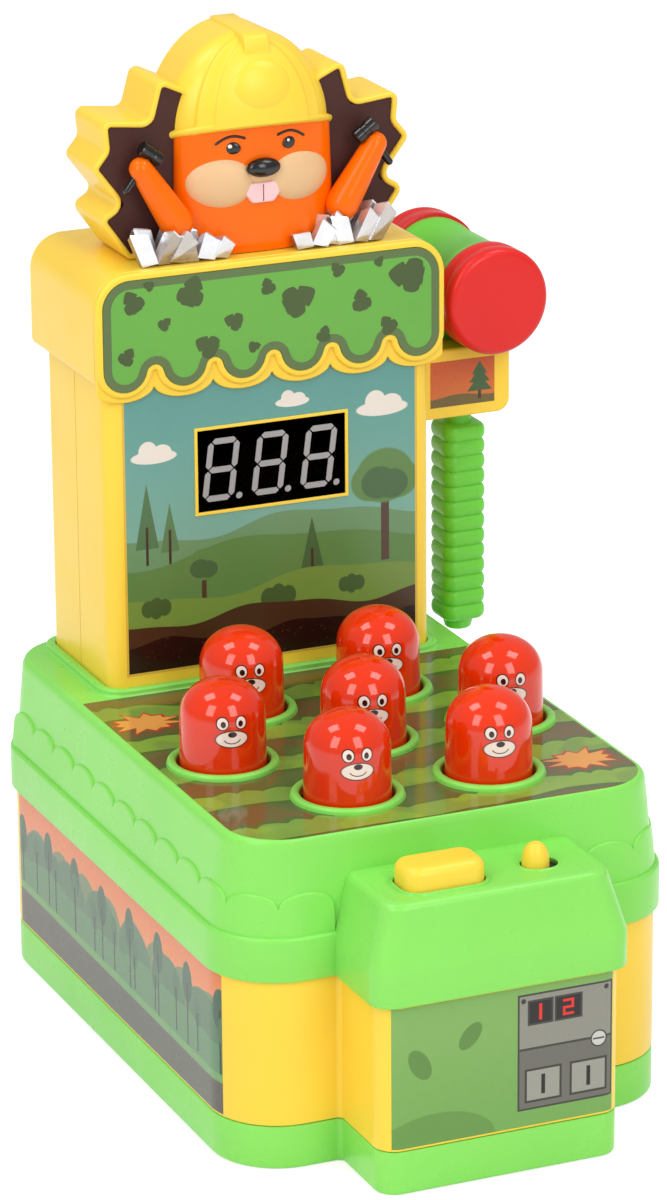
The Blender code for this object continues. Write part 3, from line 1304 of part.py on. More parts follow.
# Bracket for the mallet, on the tower's right side
INNER_X = TOWER_HALF_WIDTH + SEAT_GAP
bracket = solid("mallet_bracket", lambda bm: add_prism(bm, fillet(
    [(INNER_X, BRACKET_BOTTOM), (BRACKET_OUTER_X, BRACKET_BOTTOM), (BRACKET_OUTER_X, BRACKET_TOP), (INNER_X, BRACKET_TOP)],
    [0, BRACKET_CORNER, BRACKET_FILLET, 0]), BRACKET_FRONT, BRACKET_BACK, "y"), YELLOW)
bevel(bracket, BRACKET_FILLET, 2)
cut(bracket, solid("bracket_socket", lambda bm: add_prism(bm, fillet(
    [(MALLET_X - SOCKET_HALF_WIDTH, MALLET_Y - SOCKET_HALF_WIDTH), (MALLET_X + SOCKET_HALF_WIDTH, MALLET_Y - SOCKET_HALF_WIDTH),
     (MALLET_X + SOCKET_HALF_WIDTH, MALLET_Y + SOCKET_HALF_WIDTH), (MALLET_X - SOCKET_HALF_WIDTH, MALLET_Y + SOCKET_HALF_WIDTH)],
    BRACKET_FILLET, 2), BRACKET_BOTTOM - OVERRUN, BRACKET_TOP + OVERRUN)))
BRACKET_LABEL_SPAN = (BRACKET_OUTER_X - BRACKET_CORNER - TOWER_HALF_WIDTH) * BRACKET_LABEL_SHARE
BRACKET_LABEL_X = (TOWER_HALF_WIDTH + BRACKET_OUTER_X) / 2
BRACKET_LABEL_Z = (BRACKET_BOTTOM + BRACKET_TOP) / 2


def bracket_label(bm, grow, y0, y1):
    add_box(bm, BRACKET_LABEL_X - BRACKET_LABEL_SPAN / 2 - grow, BRACKET_LABEL_X + BRACKET_LABEL_SPAN / 2 + grow, y0, y1,
            BRACKET_LABEL_Z - BRACKET_LABEL_HEIGHT / 2 - grow, BRACKET_LABEL_Z + BRACKET_LABEL_HEIGHT / 2 + grow)


cut(bracket, solid("bracket_pocket", lambda bm: bracket_label(bm, SEAT_GAP, BRACKET_FRONT - OVERRUN,
                                                              BRACKET_FRONT + LABEL_POCKET)))
solid("bracket_label", lambda bm: bracket_label(bm, 0.0, BRACKET_FRONT - LABEL_PROUD,
                                                BRACKET_FRONT - LABEL_PROUD + LABEL_THICK), TREE_FILM)

# Crown: starburst shell round a brown board
CROWN_FOOT = CANOPY_TOP + SEAT_GAP
CROWN_HALF_SHARES = [(0.80, 0.0), (0.955, 0.190), (0.815, 0.262), (1.0, 0.473), (0.920, 0.558), (0.934, 0.694),
                     (0.648, 0.666), (0.580, 0.883), (0.455, 0.833), (0.380, 0.770)]


def crown_outline(grow):
    right = [(CROWN_HALF_WIDTH * u, CROWN_FOOT + CROWN_RIM + CROWN_HEIGHT * v) for u, v in CROWN_HALF_SHARES]
    left = [(-x, z) for x, z in reversed(right)]
    return offset(right + left, grow)


def crown_half(bm, grow, low, high):
    add_prism(bm, crown_outline(grow), low, high, "y")


crown_shell = solid("crown_shell", lambda bm: crown_half(bm, CROWN_RIM, CROWN_FRONT, CROWN_BACK), YELLOW)
bevel(crown_shell, CROWN_RIM / 3, 1)
BOARD_FRONT_Y = CROWN_FRONT + CROWN_BOARD_RECESS
BOARD_BACK_Y = BOARD_FRONT_Y + CROWN_BOARD_THICK
cut(crown_shell, solid("crown_recess", lambda bm: crown_half(bm, SEAT_GAP, CROWN_FRONT - OVERRUN,
                                                             BOARD_BACK_Y + SEAT_GAP)))
cut(crown_shell, solid("crown_cavity", lambda bm: crown_half(bm, -CROWN_RIM, CROWN_FRONT - OVERRUN,
                                                             CROWN_BACK - SHELL_WALL)))
FOOT_HALF = CROWN_HALF_WIDTH * CROWN_HALF_SHARES[0][0]
cut(crown_shell, solid("figure_step", lambda bm: add_box(bm, -FOOT_HALF, FOOT_HALF, CROWN_FRONT - OVERRUN, BOARD_FRONT_Y,
                                                         CROWN_FOOT - OVERRUN, CROWN_FOOT + 2 * CROWN_RIM)))
solid("crown_board", lambda bm: crown_half(bm, 0.0, BOARD_FRONT_Y, BOARD_BACK_Y), BROWN)

HELMET_BASE = CROWN_FOOT + HELMET_LIFT
EMBLEM_Z = CROWN_FOOT + EMBLEM_LIFT
MUZZLE_Z = CROWN_FOOT + MUZZLE_LIFT
NOSE_Z = CROWN_FOOT + NOSE_LIFT
TOOTH_Z = CROWN_FOOT + TOOTH_LIFT
ARM_FOOT_Z = CROWN_FOOT + ARM_FOOT_LIFT
ARM_HAND_Z = CROWN_FOOT + ARM_HAND_LIFT

# Figure in front of the board: body, muzzle, nose, teeth, helmet, arms, small mallets, rocks
FACE_BACK = BOARD_FRONT_Y - SEAT_GAP
BODY_LEVELS = 4
BODY_STEPS = 14


def brim_level(y):
    """The brim's underside: it rises towards the front."""
    return HELMET_BASE + HELMET_TILT * (BOARD_FRONT_Y - y)


def body_loft(bm, grow):
    """A half-round column that narrows towards the helmet and ends along its tilted brim."""
    low = CROWN_FOOT - grow
    rings = []
    for k in range(BODY_LEVELS + 1):
        share = k / BODY_LEVELS
        half = BODY_WIDTH_FOOT + (BODY_WIDTH_HEAD - BODY_WIDTH_FOOT) * share + grow
        ring = []
        for j in range(BODY_STEPS + 1):
            angle = math.pi * j / BODY_STEPS
            y = FACE_BACK - (BODY_DEPTH + grow) * math.sin(angle)
            high = brim_level(y) - SEAT_GAP + grow
            ring.append((-half * math.cos(angle), y, low + (high - low) * share))
        rings.append(ring)
    add_loft(bm, rings)


def body_front(x):
    """Where the body's face lies in front of a spot x from its middle."""
    share = x / BODY_WIDTH_HEAD
    return FACE_BACK - BODY_DEPTH * math.sqrt(max(0.0, 1 - share * share))


def muzzle_pads(bm, grow):
    for side in (-1, 1):
        made = add_ball(bm, 0, 0, 0, MUZZLE_HALF_WIDTH + grow, MUZZLE_RAISE * 2 + grow, MUZZLE_HALF_HEIGHT + grow, 12, 8)
        bmesh.ops.rotate(bm, verts=made, matrix=Matrix.Rotation(side * math.radians(14), 3, "Z"))
        bmesh.ops.translate(bm, vec=(side * MUZZLE_X, body_front(MUZZLE_X) + MUZZLE_RAISE, MUZZLE_Z), verts=made)


def muzzle_bridge(bm, grow):
    add_ball(bm, 0, body_front(0.0) + MUZZLE_RAISE, MUZZLE_Z + MUZZLE_HALF_HEIGHT * BRIDGE_LIFT_SHARE, MUZZLE_HALF_WIDTH * BRIDGE_SHARES[0] + grow,
             MUZZLE_RAISE * BRIDGE_SHARES[1] + grow, MUZZLE_HALF_HEIGHT * BRIDGE_SHARES[2] + grow, 10, 6)


def nose_ball(bm, grow):
    add_ball(bm, 0, body_front(0.0) - NOSE_RAISE / 2, NOSE_Z, NOSE_HALF_WIDTH + grow, NOSE_RAISE + grow,
             NOSE_HALF_HEIGHT + grow, 12, 6)


def teeth_plate(bm, grow):
    """Two front teeth as one plate that narrows downwards."""
    front = body_front(0.0) - TOOTH_RAISE - grow
    back = body_front(0.0) + TOOTH_RAISE + grow
    low, high = TOOTH_Z - TOOTH_HEIGHT / 2 - grow, TOOTH_Z + TOOTH_HEIGHT / 2 + grow
    wide, narrow = TOOTH_WIDTH + grow, TOOTH_WIDTH * TOOTH_FOOT_SHARE + grow
    middle = low + TOOTH_HEIGHT * TOOTH_WIDE_SHARE
    upper = wide * TOOTH_TOP_SHARE
    outline = [(-narrow, low), (narrow, low), (wide, middle), (upper, high), (-upper, high), (-wide, middle)]
    add_prism(bm, outline, front, back, "y")


body = solid("figure_body", lambda bm: body_loft(bm, 0.0), ORANGE)
muzzle_tool = solid("muzzle_pocket", lambda bm: muzzle_pads(bm, SEAT_GAP))
bridge_tool = solid("bridge_pocket", lambda bm: muzzle_bridge(bm, SEAT_GAP))
nose_tool = solid("nose_pocket", lambda bm: nose_ball(bm, SEAT_GAP))
tooth_tool = solid("tooth_pocket", lambda bm: teeth_plate(bm, SEAT_GAP))
for tool in (muzzle_tool, bridge_tool, nose_tool, tooth_tool):
    cut(body, tool)
muzzle = solid("figure_muzzle", lambda bm: muzzle_pads(bm, 0.0), BEIGE)
fuse(muzzle, solid("muzzle_bridge", lambda bm: muzzle_bridge(bm, 0.0)))
cut(muzzle, nose_tool)
cut(muzzle, tooth_tool)
figure_teeth = solid("figure_teeth", lambda bm: teeth_plate(bm, 0.0), TOOTH)
cut(figure_teeth, nose_tool)
solid("figure_nose", lambda bm: nose_ball(bm, 0.0), BLACK)

# Helmet: brim, dome with two ribs, round emblem and a ridge over the top
HELMET_DEPTH = HELMET_MIDDLE - HELMET_FRONT
DOME_FOOT = HELMET_BASE + BRIM_THICK * DOME_SINK_SHARE


def dome(bm, grow):
    """Arches across the helmet, one behind the other: growing from the front like a ball, then level to the back."""
    rings = []
    front = HELMET_FRONT - grow
    count = DOME_STEPS // 2
    stations = [HELMET_MIDDLE - (HELMET_MIDDLE - front) * math.cos(math.pi / 2 * k / count) for k in range(1, count + 1)]
    stations += [CROWN_BACK - BRIM_ROUND, CROWN_BACK]
    for n, y in enumerate(stations):
        lean = max(0.0, HELMET_MIDDLE - y) / (HELMET_MIDDLE - front)
        size = math.sqrt(1 - lean * lean)
        pull = BRIM_ROUND if n == len(stations) - 1 else 0.0
        half = (HELMET_RADIUS + grow) * size - pull
        foot = brim_level(y) + BRIM_THICK / 3
        top = DOME_FOOT + (HELMET_HEIGHT + grow) * size - pull
        rings.append([(half * math.cos(math.pi * j / DOME_STEPS), y, foot + (top - foot) * math.sin(math.pi * j / DOME_STEPS))
                      for j in range(DOME_STEPS + 1)])
    add_loft(bm, rings)


def brim(bm):
    """A flat oval with a rounded edge, tilted back."""
    rings = []
    for z, pull in ((0, BRIM_ROUND), (BRIM_ROUND, 0), (BRIM_THICK - BRIM_ROUND, 0), (BRIM_THICK, BRIM_ROUND)):
        reach = BRIM_REACH - pull
        ring = []
        for j in range(BRIM_SIDES):
            angle = math.tau * j / BRIM_SIDES
            y = HELMET_MIDDLE + (HELMET_DEPTH + reach) * math.sin(angle)
            ring.append(((HELMET_RADIUS + reach) * math.cos(angle), y, brim_level(y) + z))
        rings.append(ring)
    add_loft(bm, rings)


def slab(bm, x, half):
    add_box(bm, x - half, x + half, HELMET_FRONT - OVERRUN, CROWN_BACK + OVERRUN, HELMET_BASE,
            HELMET_BASE + HELMET_HEIGHT * 2)


helmet = solid("helmet", lambda bm: dome(bm, 0.0), YELLOW)
fuse(helmet, solid("helmet_brim", brim))
RIDGE_TOP = DOME_FOOT + HELMET_HEIGHT + RIDGE_RISE
ridge = solid("helmet_ridge", lambda bm: add_box(
    bm, -RIDGE_HALF_WIDTH, RIDGE_HALF_WIDTH, RIDGE_FRONT, CROWN_BACK - BRIM_ROUND, EMBLEM_Z, RIDGE_TOP))
cut(ridge, solid("ridge_under", lambda bm: dome(bm, -RIDGE_RISE)))
fuse(helmet, bevel(ridge, RIDGE_ROUND, 1))
ribs = solid("helmet_ribs", lambda bm: dome(bm, RIB_RAISE))


def rib_slabs(bm):
    for side in (-1, 1):
        for place_share in RIB_PLACE_SHARES:
            slab(bm, side * HELMET_RADIUS * place_share, RIB_HALF_WIDTH)


boolean(ribs, solid("rib_slabs", rib_slabs), "INTERSECT")
fuse(helmet, ribs)


def emblem(bm):
    """A round badge that follows the dome's slope."""
    lean = (EMBLEM_Z - DOME_FOOT) / HELMET_HEIGHT
    y = HELMET_MIDDLE - HELMET_DEPTH * math.sqrt(1 - lean * lean)
    made = add_ball(bm, 0, 0, 0, EMBLEM_HALF_WIDTH, EMBLEM_RAISE * 2, EMBLEM_HALF_HEIGHT, 16, 8)
    bmesh.ops.rotate(bm, verts=made, matrix=Matrix.Rotation(-math.atan2(lean * HELMET_DEPTH, HELMET_HEIGHT), 3, "X"))
    bmesh.ops.translate(bm, vec=(0, y + EMBLEM_RAISE, EMBLEM_Z), verts=made)


fuse(helmet, solid("helmet_emblem", emblem))
cut(helmet, solid("helmet_seat", lambda bm: crown_half(bm, CROWN_RIM + SEAT_GAP, CROWN_FRONT - SEAT_GAP,
                                                       CROWN_BACK + 2 * OVERRUN)))


def tube(bm, a, b, ra, rb, sides=10):
    """A tapered round bar with domed ends between two points."""
    a, b = Vector(a), Vector(b)
    along = (b - a).normalized()
    u = along.cross(Vector((0, 1, 0))).normalized()
    v = along.cross(u)
    loops = [[bm.verts.new(a - along * ra * TUBE_TIP_SHARE)]]
    for centre, r, shift in ((a, ra * TUBE_END_SHARE, -ra * TUBE_STEP_SHARE), (a, ra, 0), (b, rb, 0),
                             (b, rb * TUBE_END_SHARE, rb * TUBE_END_SHARE)):
        loops.append([bm.verts.new(centre + along * shift + u * r * math.cos(math.tau * k / sides)
                                   + v * r * math.sin(math.tau * k / sides)) for k in range(sides)])
    loops.append([bm.verts.new(b + along * rb)])
    skin(bm, loops)


def arm_points(side):
    y = FACE_BACK - ARM_GAP_TO_BOARD
    return ((side * ARM_FOOT_X, y - ARM_FOOT_RADIUS, ARM_FOOT_Z), (side * ARM_HAND_X, y - ARM_FOOT_RADIUS, ARM_HAND_Z))


def grip_ends(side):
    """The small mallet leans inwards in the fist."""
    foot, hand = arm_points(side)
    lean = Vector((-side * MINI_LEAN, 0, 1)).normalized()
    top = Vector(hand) + lean * (ARM_HAND_RADIUS + MINI_HEAD_RADIUS)
    return top - lean * MINI_GRIP_LENGTH, top


def mini_grip(bm, side, grow):
    low, top = grip_ends(side)
    tube(bm, low, top, MINI_GRIP_RADIUS + grow, MINI_GRIP_RADIUS + grow, 6)


def mini_head(bm, side, grow):
    low, top = grip_ends(side)
    lean = (top - low).normalized()
    across = Vector((lean.z, 0, -lean.x))
    half = MINI_HEAD_LENGTH / 2
    tube(bm, top - across * half, top + across * half, MINI_HEAD_RADIUS + grow, MINI_HEAD_RADIUS + grow, 8)


for side, word in ((-1, "left"), (1, "right")):
    arm = solid("arm_" + word, lambda bm: tube(bm, *arm_points(side), ARM_FOOT_RADIUS, ARM_HAND_RADIUS), ORANGE)
    cut(arm, solid("arm_seat_" + word, lambda bm: body_loft(bm, SEAT_GAP)))
    grip_tool = solid("grip_bore_" + word, lambda bm: mini_grip(bm, side, SEAT_GAP))
    cut(arm, grip_tool)
    cut(arm, solid("head_clear_" + word, lambda bm: mini_head(bm, side, SEAT_GAP)))
    mini = solid("small_mallet_" + word, lambda bm: mini_head(bm, side, 0.0), BLACK)
    fuse(mini, solid("small_grip_" + word, lambda bm: mini_grip(bm, side, 0.0)))

ROCK_SHARES = [(0.46, 0.10, 1.10, 0.25), (0.68, 0.10, 1.25, 1.10), (0.90, 0.40, 1.40, 2.00), (1.12, 0.60, 1.45, 2.90),
               (1.30, 0.15, 1.15, 0.70)]
ROCK_REACH = 0.0318            # spacing of the blocks across
ROCK_BASE_SHARE = 0.45
ROCK_SWAY_SHARE = 0.10
ROCK_SINK_SHARE = 0.35         # of the figure's depth
ROCK_AXIS = Vector((0.5, 0.3, 1)).normalized()


def rock(bm, side, x_share, lift, size, turn):
    """One angular block of the heap on the canopy at the figure's foot."""
    made = bmesh.ops.create_cube(bm, size=ROCK_SIZE * size)["verts"]
    for n, v in enumerate(made):
        v.co *= 1 - ROCK_SWAY_SHARE + ROCK_SWAY_SHARE * math.sin(turn * 3 + n * math.sqrt(3))
    bmesh.ops.rotate(bm, verts=made, matrix=Matrix.Rotation(turn * side, 3, ROCK_AXIS))
    y = FACE_BACK - BODY_DEPTH * ROCK_SINK_SHARE - ROCK_SIZE * size / 2
    bmesh.ops.translate(bm, vec=(side * ROCK_REACH * x_share, y, CROWN_FOOT + ROCK_SIZE * (ROCK_BASE_SHARE + lift)),
                        verts=made)


def arms_grown(bm):
    for side in (-1, 1):
        tube(bm, *arm_points(side), ARM_FOOT_RADIUS + SEAT_GAP, ARM_HAND_RADIUS + SEAT_GAP)


rock_arms = solid("rock_arms", arms_grown)
rock_body = solid("rock_body", lambda bm: body_loft(bm, SEAT_GAP))
for side, word in ((-1, "left"), (1, "right")):
    heap = None
    for n, shares in enumerate(ROCK_SHARES):
        name = "rocks_" + word if heap is None else "rock_%s_%d" % (word, n)
        block = solid(name, lambda bm: rock(bm, side, *shares), SILVER if heap is None else None, math.radians(10))
        if heap is None:
            heap = block
        else:
            fuse(heap, block)
    boolean(heap, solid("rocks_keep_" + word, lambda bm: add_box(
        bm, -CANOPY_HALF_WIDTH, CANOPY_HALF_WIDTH, CANOPY_FRONT, FACE_BACK, CROWN_FOOT, CROWN_FOOT + CROWN_HEIGHT)),
        "INTERSECT")
    cut(heap, rock_body)
    cut(heap, rock_arms)

# Mallet: handle with a ribbed grip, barrel and two caps; all share one origin on the lift axis
TURN = Matrix.Rotation(MALLET_TURN, 4, "Z")
SPOT = Matrix.Translation((MALLET_X, MALLET_Y, 0))


def mallet_piece(ob):
    ob.matrix_world = SPOT @ TURN
    return ob


COLLAR_LOW = BRACKET_TOP + SEAT_GAP
BARREL_LOW = HEAD_AXIS_Z - BARREL_RADIUS


def grip(bm):
    """Rounded square bar with rows of ribs."""
    height = (GRIP_TOP - GRIP_BOTTOM) / GRIP_RIBS
    rings = []

    def ring(z, half, radius):
        square = [(-half, -half), (half, -half), (half, half), (-half, half)]
        rings.append([(x, y, z) for x, y in fillet(square, radius, 2)])

    ring(GRIP_BOTTOM, GRIP_HALF - RIB_DEPTH, GRIP_HALF / 2 - RIB_DEPTH)
    for k in range(GRIP_RIBS):
        z = GRIP_BOTTOM + height * k
        ring(z + height / 2, GRIP_HALF, GRIP_HALF / 2)
        ring(z + height, GRIP_HALF - RIB_DEPTH, GRIP_HALF / 2 - RIB_DEPTH)
    add_loft(bm, rings)


handle = mallet_piece(solid("mallet_handle", grip, MALLET_GREEN))
PIN_TOP = BARREL_LOW + NECK_PIN_REACH
neck_profile = [(0, PIN_TOP), (NECK_PIN_RADIUS, PIN_TOP), (NECK_PIN_RADIUS, BARREL_LOW - SEAT_GAP),
                (NECK_COLLAR_RADIUS - BRACKET_FILLET, BARREL_LOW - SEAT_GAP), (NECK_COLLAR_RADIUS, BARREL_LOW - 2 * SEAT_GAP),
                (NECK_COLLAR_RADIUS, COLLAR_LOW), (NECK_RADIUS, COLLAR_LOW), (NECK_RADIUS, GRIP_TOP - RIB_DEPTH),
                (0, GRIP_TOP - RIB_DEPTH)]
fuse(handle, mallet_piece(turned("mallet_neck", neck_profile, 16)))
fuse(handle, mallet_piece(solid("end_knob", lambda bm: add_cylinder(
    bm, END_KNOB_HALF - RIB_DEPTH, GRIP_BOTTOM - END_KNOB_LENGTH, GRIP_BOTTOM + RIB_DEPTH, 0, 0, 20, END_KNOB_HALF))))


def head_turned(name, profile, mat=None, sides=HEAD_SIDES, way=1):
    """A profile of (radius, distance along the head) spun about the head's long axis."""
    ob = turned(name, profile, sides, mat)
    ob.matrix_world = SPOT @ TURN @ Matrix.Translation((0, 0, HEAD_AXIS_Z)) @ Matrix.Rotation(-way * math.pi / 2, 4, "X")
    return ob


HEAD_INNER = HEAD_HALF_LENGTH - CAP_LENGTH
barrel = head_turned("mallet_barrel", [
    (0, HEAD_INNER), (BARREL_RADIUS, HEAD_INNER), (BARREL_RADIUS, HEAD_INNER - BARREL_BAND),
    (BARREL_WAIST, HEAD_INNER - BARREL_BAND - BARREL_SLOPE), (BARREL_WAIST, -HEAD_INNER + BARREL_BAND + BARREL_SLOPE),
    (BARREL_RADIUS, -HEAD_INNER + BARREL_BAND), (BARREL_RADIUS, -HEAD_INNER), (0, -HEAD_INNER)], MALLET_GREEN)
cut(barrel, head_turned("barrel_bore", [
    (0, HEAD_HALF_LENGTH), (SPIGOT_RADIUS + SEAT_GAP, HEAD_HALF_LENGTH), (SPIGOT_RADIUS + SEAT_GAP, -HEAD_HALF_LENGTH),
    (0, -HEAD_HALF_LENGTH)], None, 22))
cut(barrel, mallet_piece(solid("pin_bore", lambda bm: add_cylinder(
    bm, NECK_PIN_RADIUS + SEAT_GAP, BARREL_LOW - OVERRUN, PIN_TOP + SEAT_GAP, 0, 0, 18))))


def head_cap(name, way):
    """A round cap with a groove behind its face and a spigot that sits in the barrel's bore."""
    seat = HEAD_INNER + SEAT_GAP
    end = HEAD_HALF_LENGTH
    soft = CAP_ROUND * CAP_SOFT_SHARE
    groove = end - CAP_GROOVE_BACK
    profile = [(0, end), (CAP_RADIUS - CAP_ROUND, end), (CAP_RADIUS - soft, end - soft), (CAP_RADIUS, end - CAP_ROUND),
               (CAP_RADIUS, groove + CAP_GROOVE), (CAP_RADIUS - CAP_GROOVE, groove), (CAP_RADIUS, groove - CAP_GROOVE),
               (CAP_RADIUS, seat), (SPIGOT_RADIUS, seat), (SPIGOT_RADIUS, seat - SPIGOT_LENGTH),
               (0, seat - SPIGOT_LENGTH)]
    head_turned(name, profile, MALLET_RED, HEAD_SIDES, way)


head_cap("mallet_cap_front", -1)
head_cap("mallet_cap_rear", 1)
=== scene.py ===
"""Mole pounding game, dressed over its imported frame: moulded shells, printed films, mole caps,
score tower, canopy, crown figure and mallet.  Metres, +Z up, the player stands at -Y."""
import math

import bpy
import bmesh
import numpy as np
from mathutils import Matrix, Vector


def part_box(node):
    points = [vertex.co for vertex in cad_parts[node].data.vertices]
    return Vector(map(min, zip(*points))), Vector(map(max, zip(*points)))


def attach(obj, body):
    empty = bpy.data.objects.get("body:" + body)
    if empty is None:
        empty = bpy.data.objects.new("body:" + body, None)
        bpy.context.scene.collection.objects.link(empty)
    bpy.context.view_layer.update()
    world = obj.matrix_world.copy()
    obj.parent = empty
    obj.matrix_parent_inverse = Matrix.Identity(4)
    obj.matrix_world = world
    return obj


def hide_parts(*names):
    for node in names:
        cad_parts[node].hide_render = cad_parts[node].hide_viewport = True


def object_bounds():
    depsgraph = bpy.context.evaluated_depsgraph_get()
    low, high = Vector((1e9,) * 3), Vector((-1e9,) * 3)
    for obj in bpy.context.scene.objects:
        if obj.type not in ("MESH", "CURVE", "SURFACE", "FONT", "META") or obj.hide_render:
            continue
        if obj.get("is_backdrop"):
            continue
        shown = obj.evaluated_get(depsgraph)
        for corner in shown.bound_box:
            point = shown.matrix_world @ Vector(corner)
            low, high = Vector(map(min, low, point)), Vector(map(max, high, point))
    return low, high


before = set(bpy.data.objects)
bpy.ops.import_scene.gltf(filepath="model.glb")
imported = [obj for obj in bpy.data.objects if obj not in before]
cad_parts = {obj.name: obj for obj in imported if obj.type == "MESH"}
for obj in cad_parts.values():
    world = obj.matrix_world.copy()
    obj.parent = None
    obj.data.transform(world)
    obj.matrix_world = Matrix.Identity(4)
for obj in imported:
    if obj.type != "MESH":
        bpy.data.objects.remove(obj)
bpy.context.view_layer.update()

scene = bpy.context.scene
TAU = math.tau


# Camera: the photograph's viewpoint, worked out from the case's corners
CAMERA_AZIMUTH = math.radians(-23.32)
CAMERA_RISE = math.radians(18.68)
CAMERA_ROLL = math.radians(-0.45)
CAMERA_DISTANCE = 1.7890
CAMERA_TARGET = Vector((-0.0034, 0.0, 0.1602))
CAMERA_LENS = 158.17


def towards(azimuth, rise):
    """The unit vector from the object to a spot round it; azimuth 0 is the player's side."""
    return Vector((math.sin(azimuth) * math.cos(rise), -math.cos(azimuth) * math.cos(rise), math.sin(rise)))


def set_camera():
    """A camera that looks at the target from the photograph's direction, with its slight roll."""
    back = towards(CAMERA_AZIMUTH, CAMERA_RISE)
    right = Vector((0, 0, 1)).cross(back).normalized()
    up = back.cross(right)
    turn = math.cos(CAMERA_ROLL), math.sin(CAMERA_ROLL)
    across = right * turn[0] + up * turn[1]
    upward = up * turn[0] - right * turn[1]
    camera = bpy.data.objects.new("camera", bpy.data.cameras.new("camera"))
    camera.matrix_world = Matrix((across, upward, back)).transposed().to_4x4()
    camera.location = CAMERA_TARGET + back * CAMERA_DISTANCE
    camera.data.lens = CAMERA_LENS
    camera.data.sensor_width = 36
    camera.data.clip_end = 50
    scene.collection.objects.link(camera)
    scene.camera = camera


set_camera()


# Shader maths: a socket that takes part in Python expressions
class Node_value:
    """A node's output socket; sums, differences, products and quotients of it add Math nodes."""

    def __init__(self, maker, socket):
        self.maker = maker
        self.socket = socket

    def math(self, operation, *others):
        return self.maker.node("ShaderNodeMath", {"operation": operation}, dict(enumerate((self,) + others)))

    def __add__(self, other): return self.math("ADD", other)
    def __radd__(self, other): return self.math("ADD", other)
    def __sub__(self, other): return self.math("SUBTRACT", other)
    def __rsub__(self, other): return self.maker.number(other).math("SUBTRACT", self)
    def __mul__(self, other): return self.math("MULTIPLY", other)
    def __truediv__(self, other): return self.math("DIVIDE", other)
    def abs(self): return self.math("ABSOLUTE")
    def sin(self): return self.math("SINE")
    def sqrt(self): return self.math("SQRT")
    def floor(self): return self.math("FLOOR")
    def wrap(self, high): return self.math("WRAP", high, 0.0)
    def min(self, other): return self.math("MINIMUM", other)
    def max(self, other): return self.math("MAXIMUM", other)

    def step(self, low, high):
        """0 below low, 1 above high, smooth between."""
        return self.maker.node("ShaderNodeMapRange", {"interpolation_type": "SMOOTHSTEP"},
                               {"Value": self, "From Min": low, "From Max": high})


class Finish:
    """One Principled material under construction."""

    def __init__(self, name, **constants):
        self.material = bpy.data.materials.new(name)
        self.material.use_nodes = True
        self.tree = self.material.node_tree
        self.shader = self.tree.nodes["Principled BSDF"]
        for key, value in constants.items():
            self.put(key.replace("_", " "), value)

    def put(self, key, value):
        socket = self.shader.inputs[key]
        if isinstance(value, Node_value):
            self.tree.links.new(value.socket, socket)
        elif isinstance(value, tuple):
            socket.default_value = (*value, 1.0) if len(value) == 3 else value
        else:
            socket.default_value = value

    def node(self, kind, settings=None, inputs=None, output=0):
        node = self.tree.nodes.new(kind)
        for key, value in (settings or {}).items():
            setattr(node, key, value)
        for key, value in (inputs or {}).items():
            if isinstance(value, Node_value):
                self.tree.links.new(value.socket, node.inputs[key])
            elif isinstance(value, tuple) and node.inputs[key].type == "RGBA" and len(value) == 3:
                node.inputs[key].default_value = (*value, 1.0)
            else:
                node.inputs[key].default_value = value
        return Node_value(self, node.outputs[output])

    def number(self, value):
        """A plain number as a socket."""
        return self.node("ShaderNodeMath", {"operation": "ADD"}, {0: value, 1: 0.0})

    def place(self):
        """Object coordinates: metres in the shared frame."""
        return self.node("ShaderNodeTexCoord", output="Object")

    def axes(self, source=None):
        """The three parts of a vector."""
        parts = self.node("ShaderNodeSeparateXYZ", None, {0: source or self.place()})
        node = parts.socket.node
        return tuple(Node_value(self, node.outputs[i]) for i in range(3))

    def uv(self):
        """Both places on the map that add_piece names face."""
        return self.axes(self.node("ShaderNodeUVMap", {"uv_map": "face"}))[:2]

    def noise(self, scale, detail=2.0, rough=0.5):
        return self.node("ShaderNodeTexNoise", None, {"Vector": self.place(), "Scale": scale, "Detail": detail,
                                                      "Roughness": rough})

    def mix(self, factor, a, b, blend="MIX"):
        node = self.tree.nodes.new("ShaderNodeMix")
        node.data_type = "RGBA"
        node.blend_type = blend
        for index, value in ((0, factor), (6, a), (7, b)):
            if isinstance(value, Node_value):
                self.tree.links.new(value.socket, node.inputs[index])
            elif isinstance(value, tuple):
                node.inputs[index].default_value = (*value, 1.0)
            else:
                node.inputs[index].default_value = value
        return Node_value(self, node.outputs[2])

    def bump(self, height, distance, strength=1.0):
        self.put("Normal", self.node("ShaderNodeBump", None, {"Height": height, "Distance": distance,
                                                              "Strength": strength}))


PIECES_FOR = []


def stands_for(piece, *nodes, slot=None):
    """Hide CAD nodes behind the piece that shows them, and list them as shown; the slot is not used."""
    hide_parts(*nodes)
    PIECES_FOR.extend(nodes)


def linear(red, green, blue):
    """The linear colour of 8-bit screen values."""
    return tuple((v / 255 / 12.92) if v <= 10 else ((v / 255 + 0.055) / 1.055) ** 2.4 for v in (red, green, blue))


def plastic_skin(f, colour, roughness, grain, shade=0.93):
    """Faint flow clouds in the colour, rubbed patches and a fine spark-eroded grain."""
    cloud = f.noise(14.0, 3.0)
    f.put("Base Color", f.mix(cloud.step(0.3, 0.75), colour, f.mix(1.0, colour, (shade,) * 3, "MULTIPLY")))
    rub = f.noise(60.0, 4.0, 0.6)
    f.put("Roughness", rub.step(0.35, 0.7) * 0.07 + (roughness - 0.03))
    f.bump(f.noise(1300.0, 1.0), grain, 0.5)


def moulded(name, colour, roughness=0.32, grain=0.000003, shade=0.95, shine=0.32):
    """Injection-moulded plastic."""
    f = Finish(name, IOR=1.5, Specular_IOR_Level=shine)
    plastic_skin(f, colour, roughness, grain, shade)
    return f.material


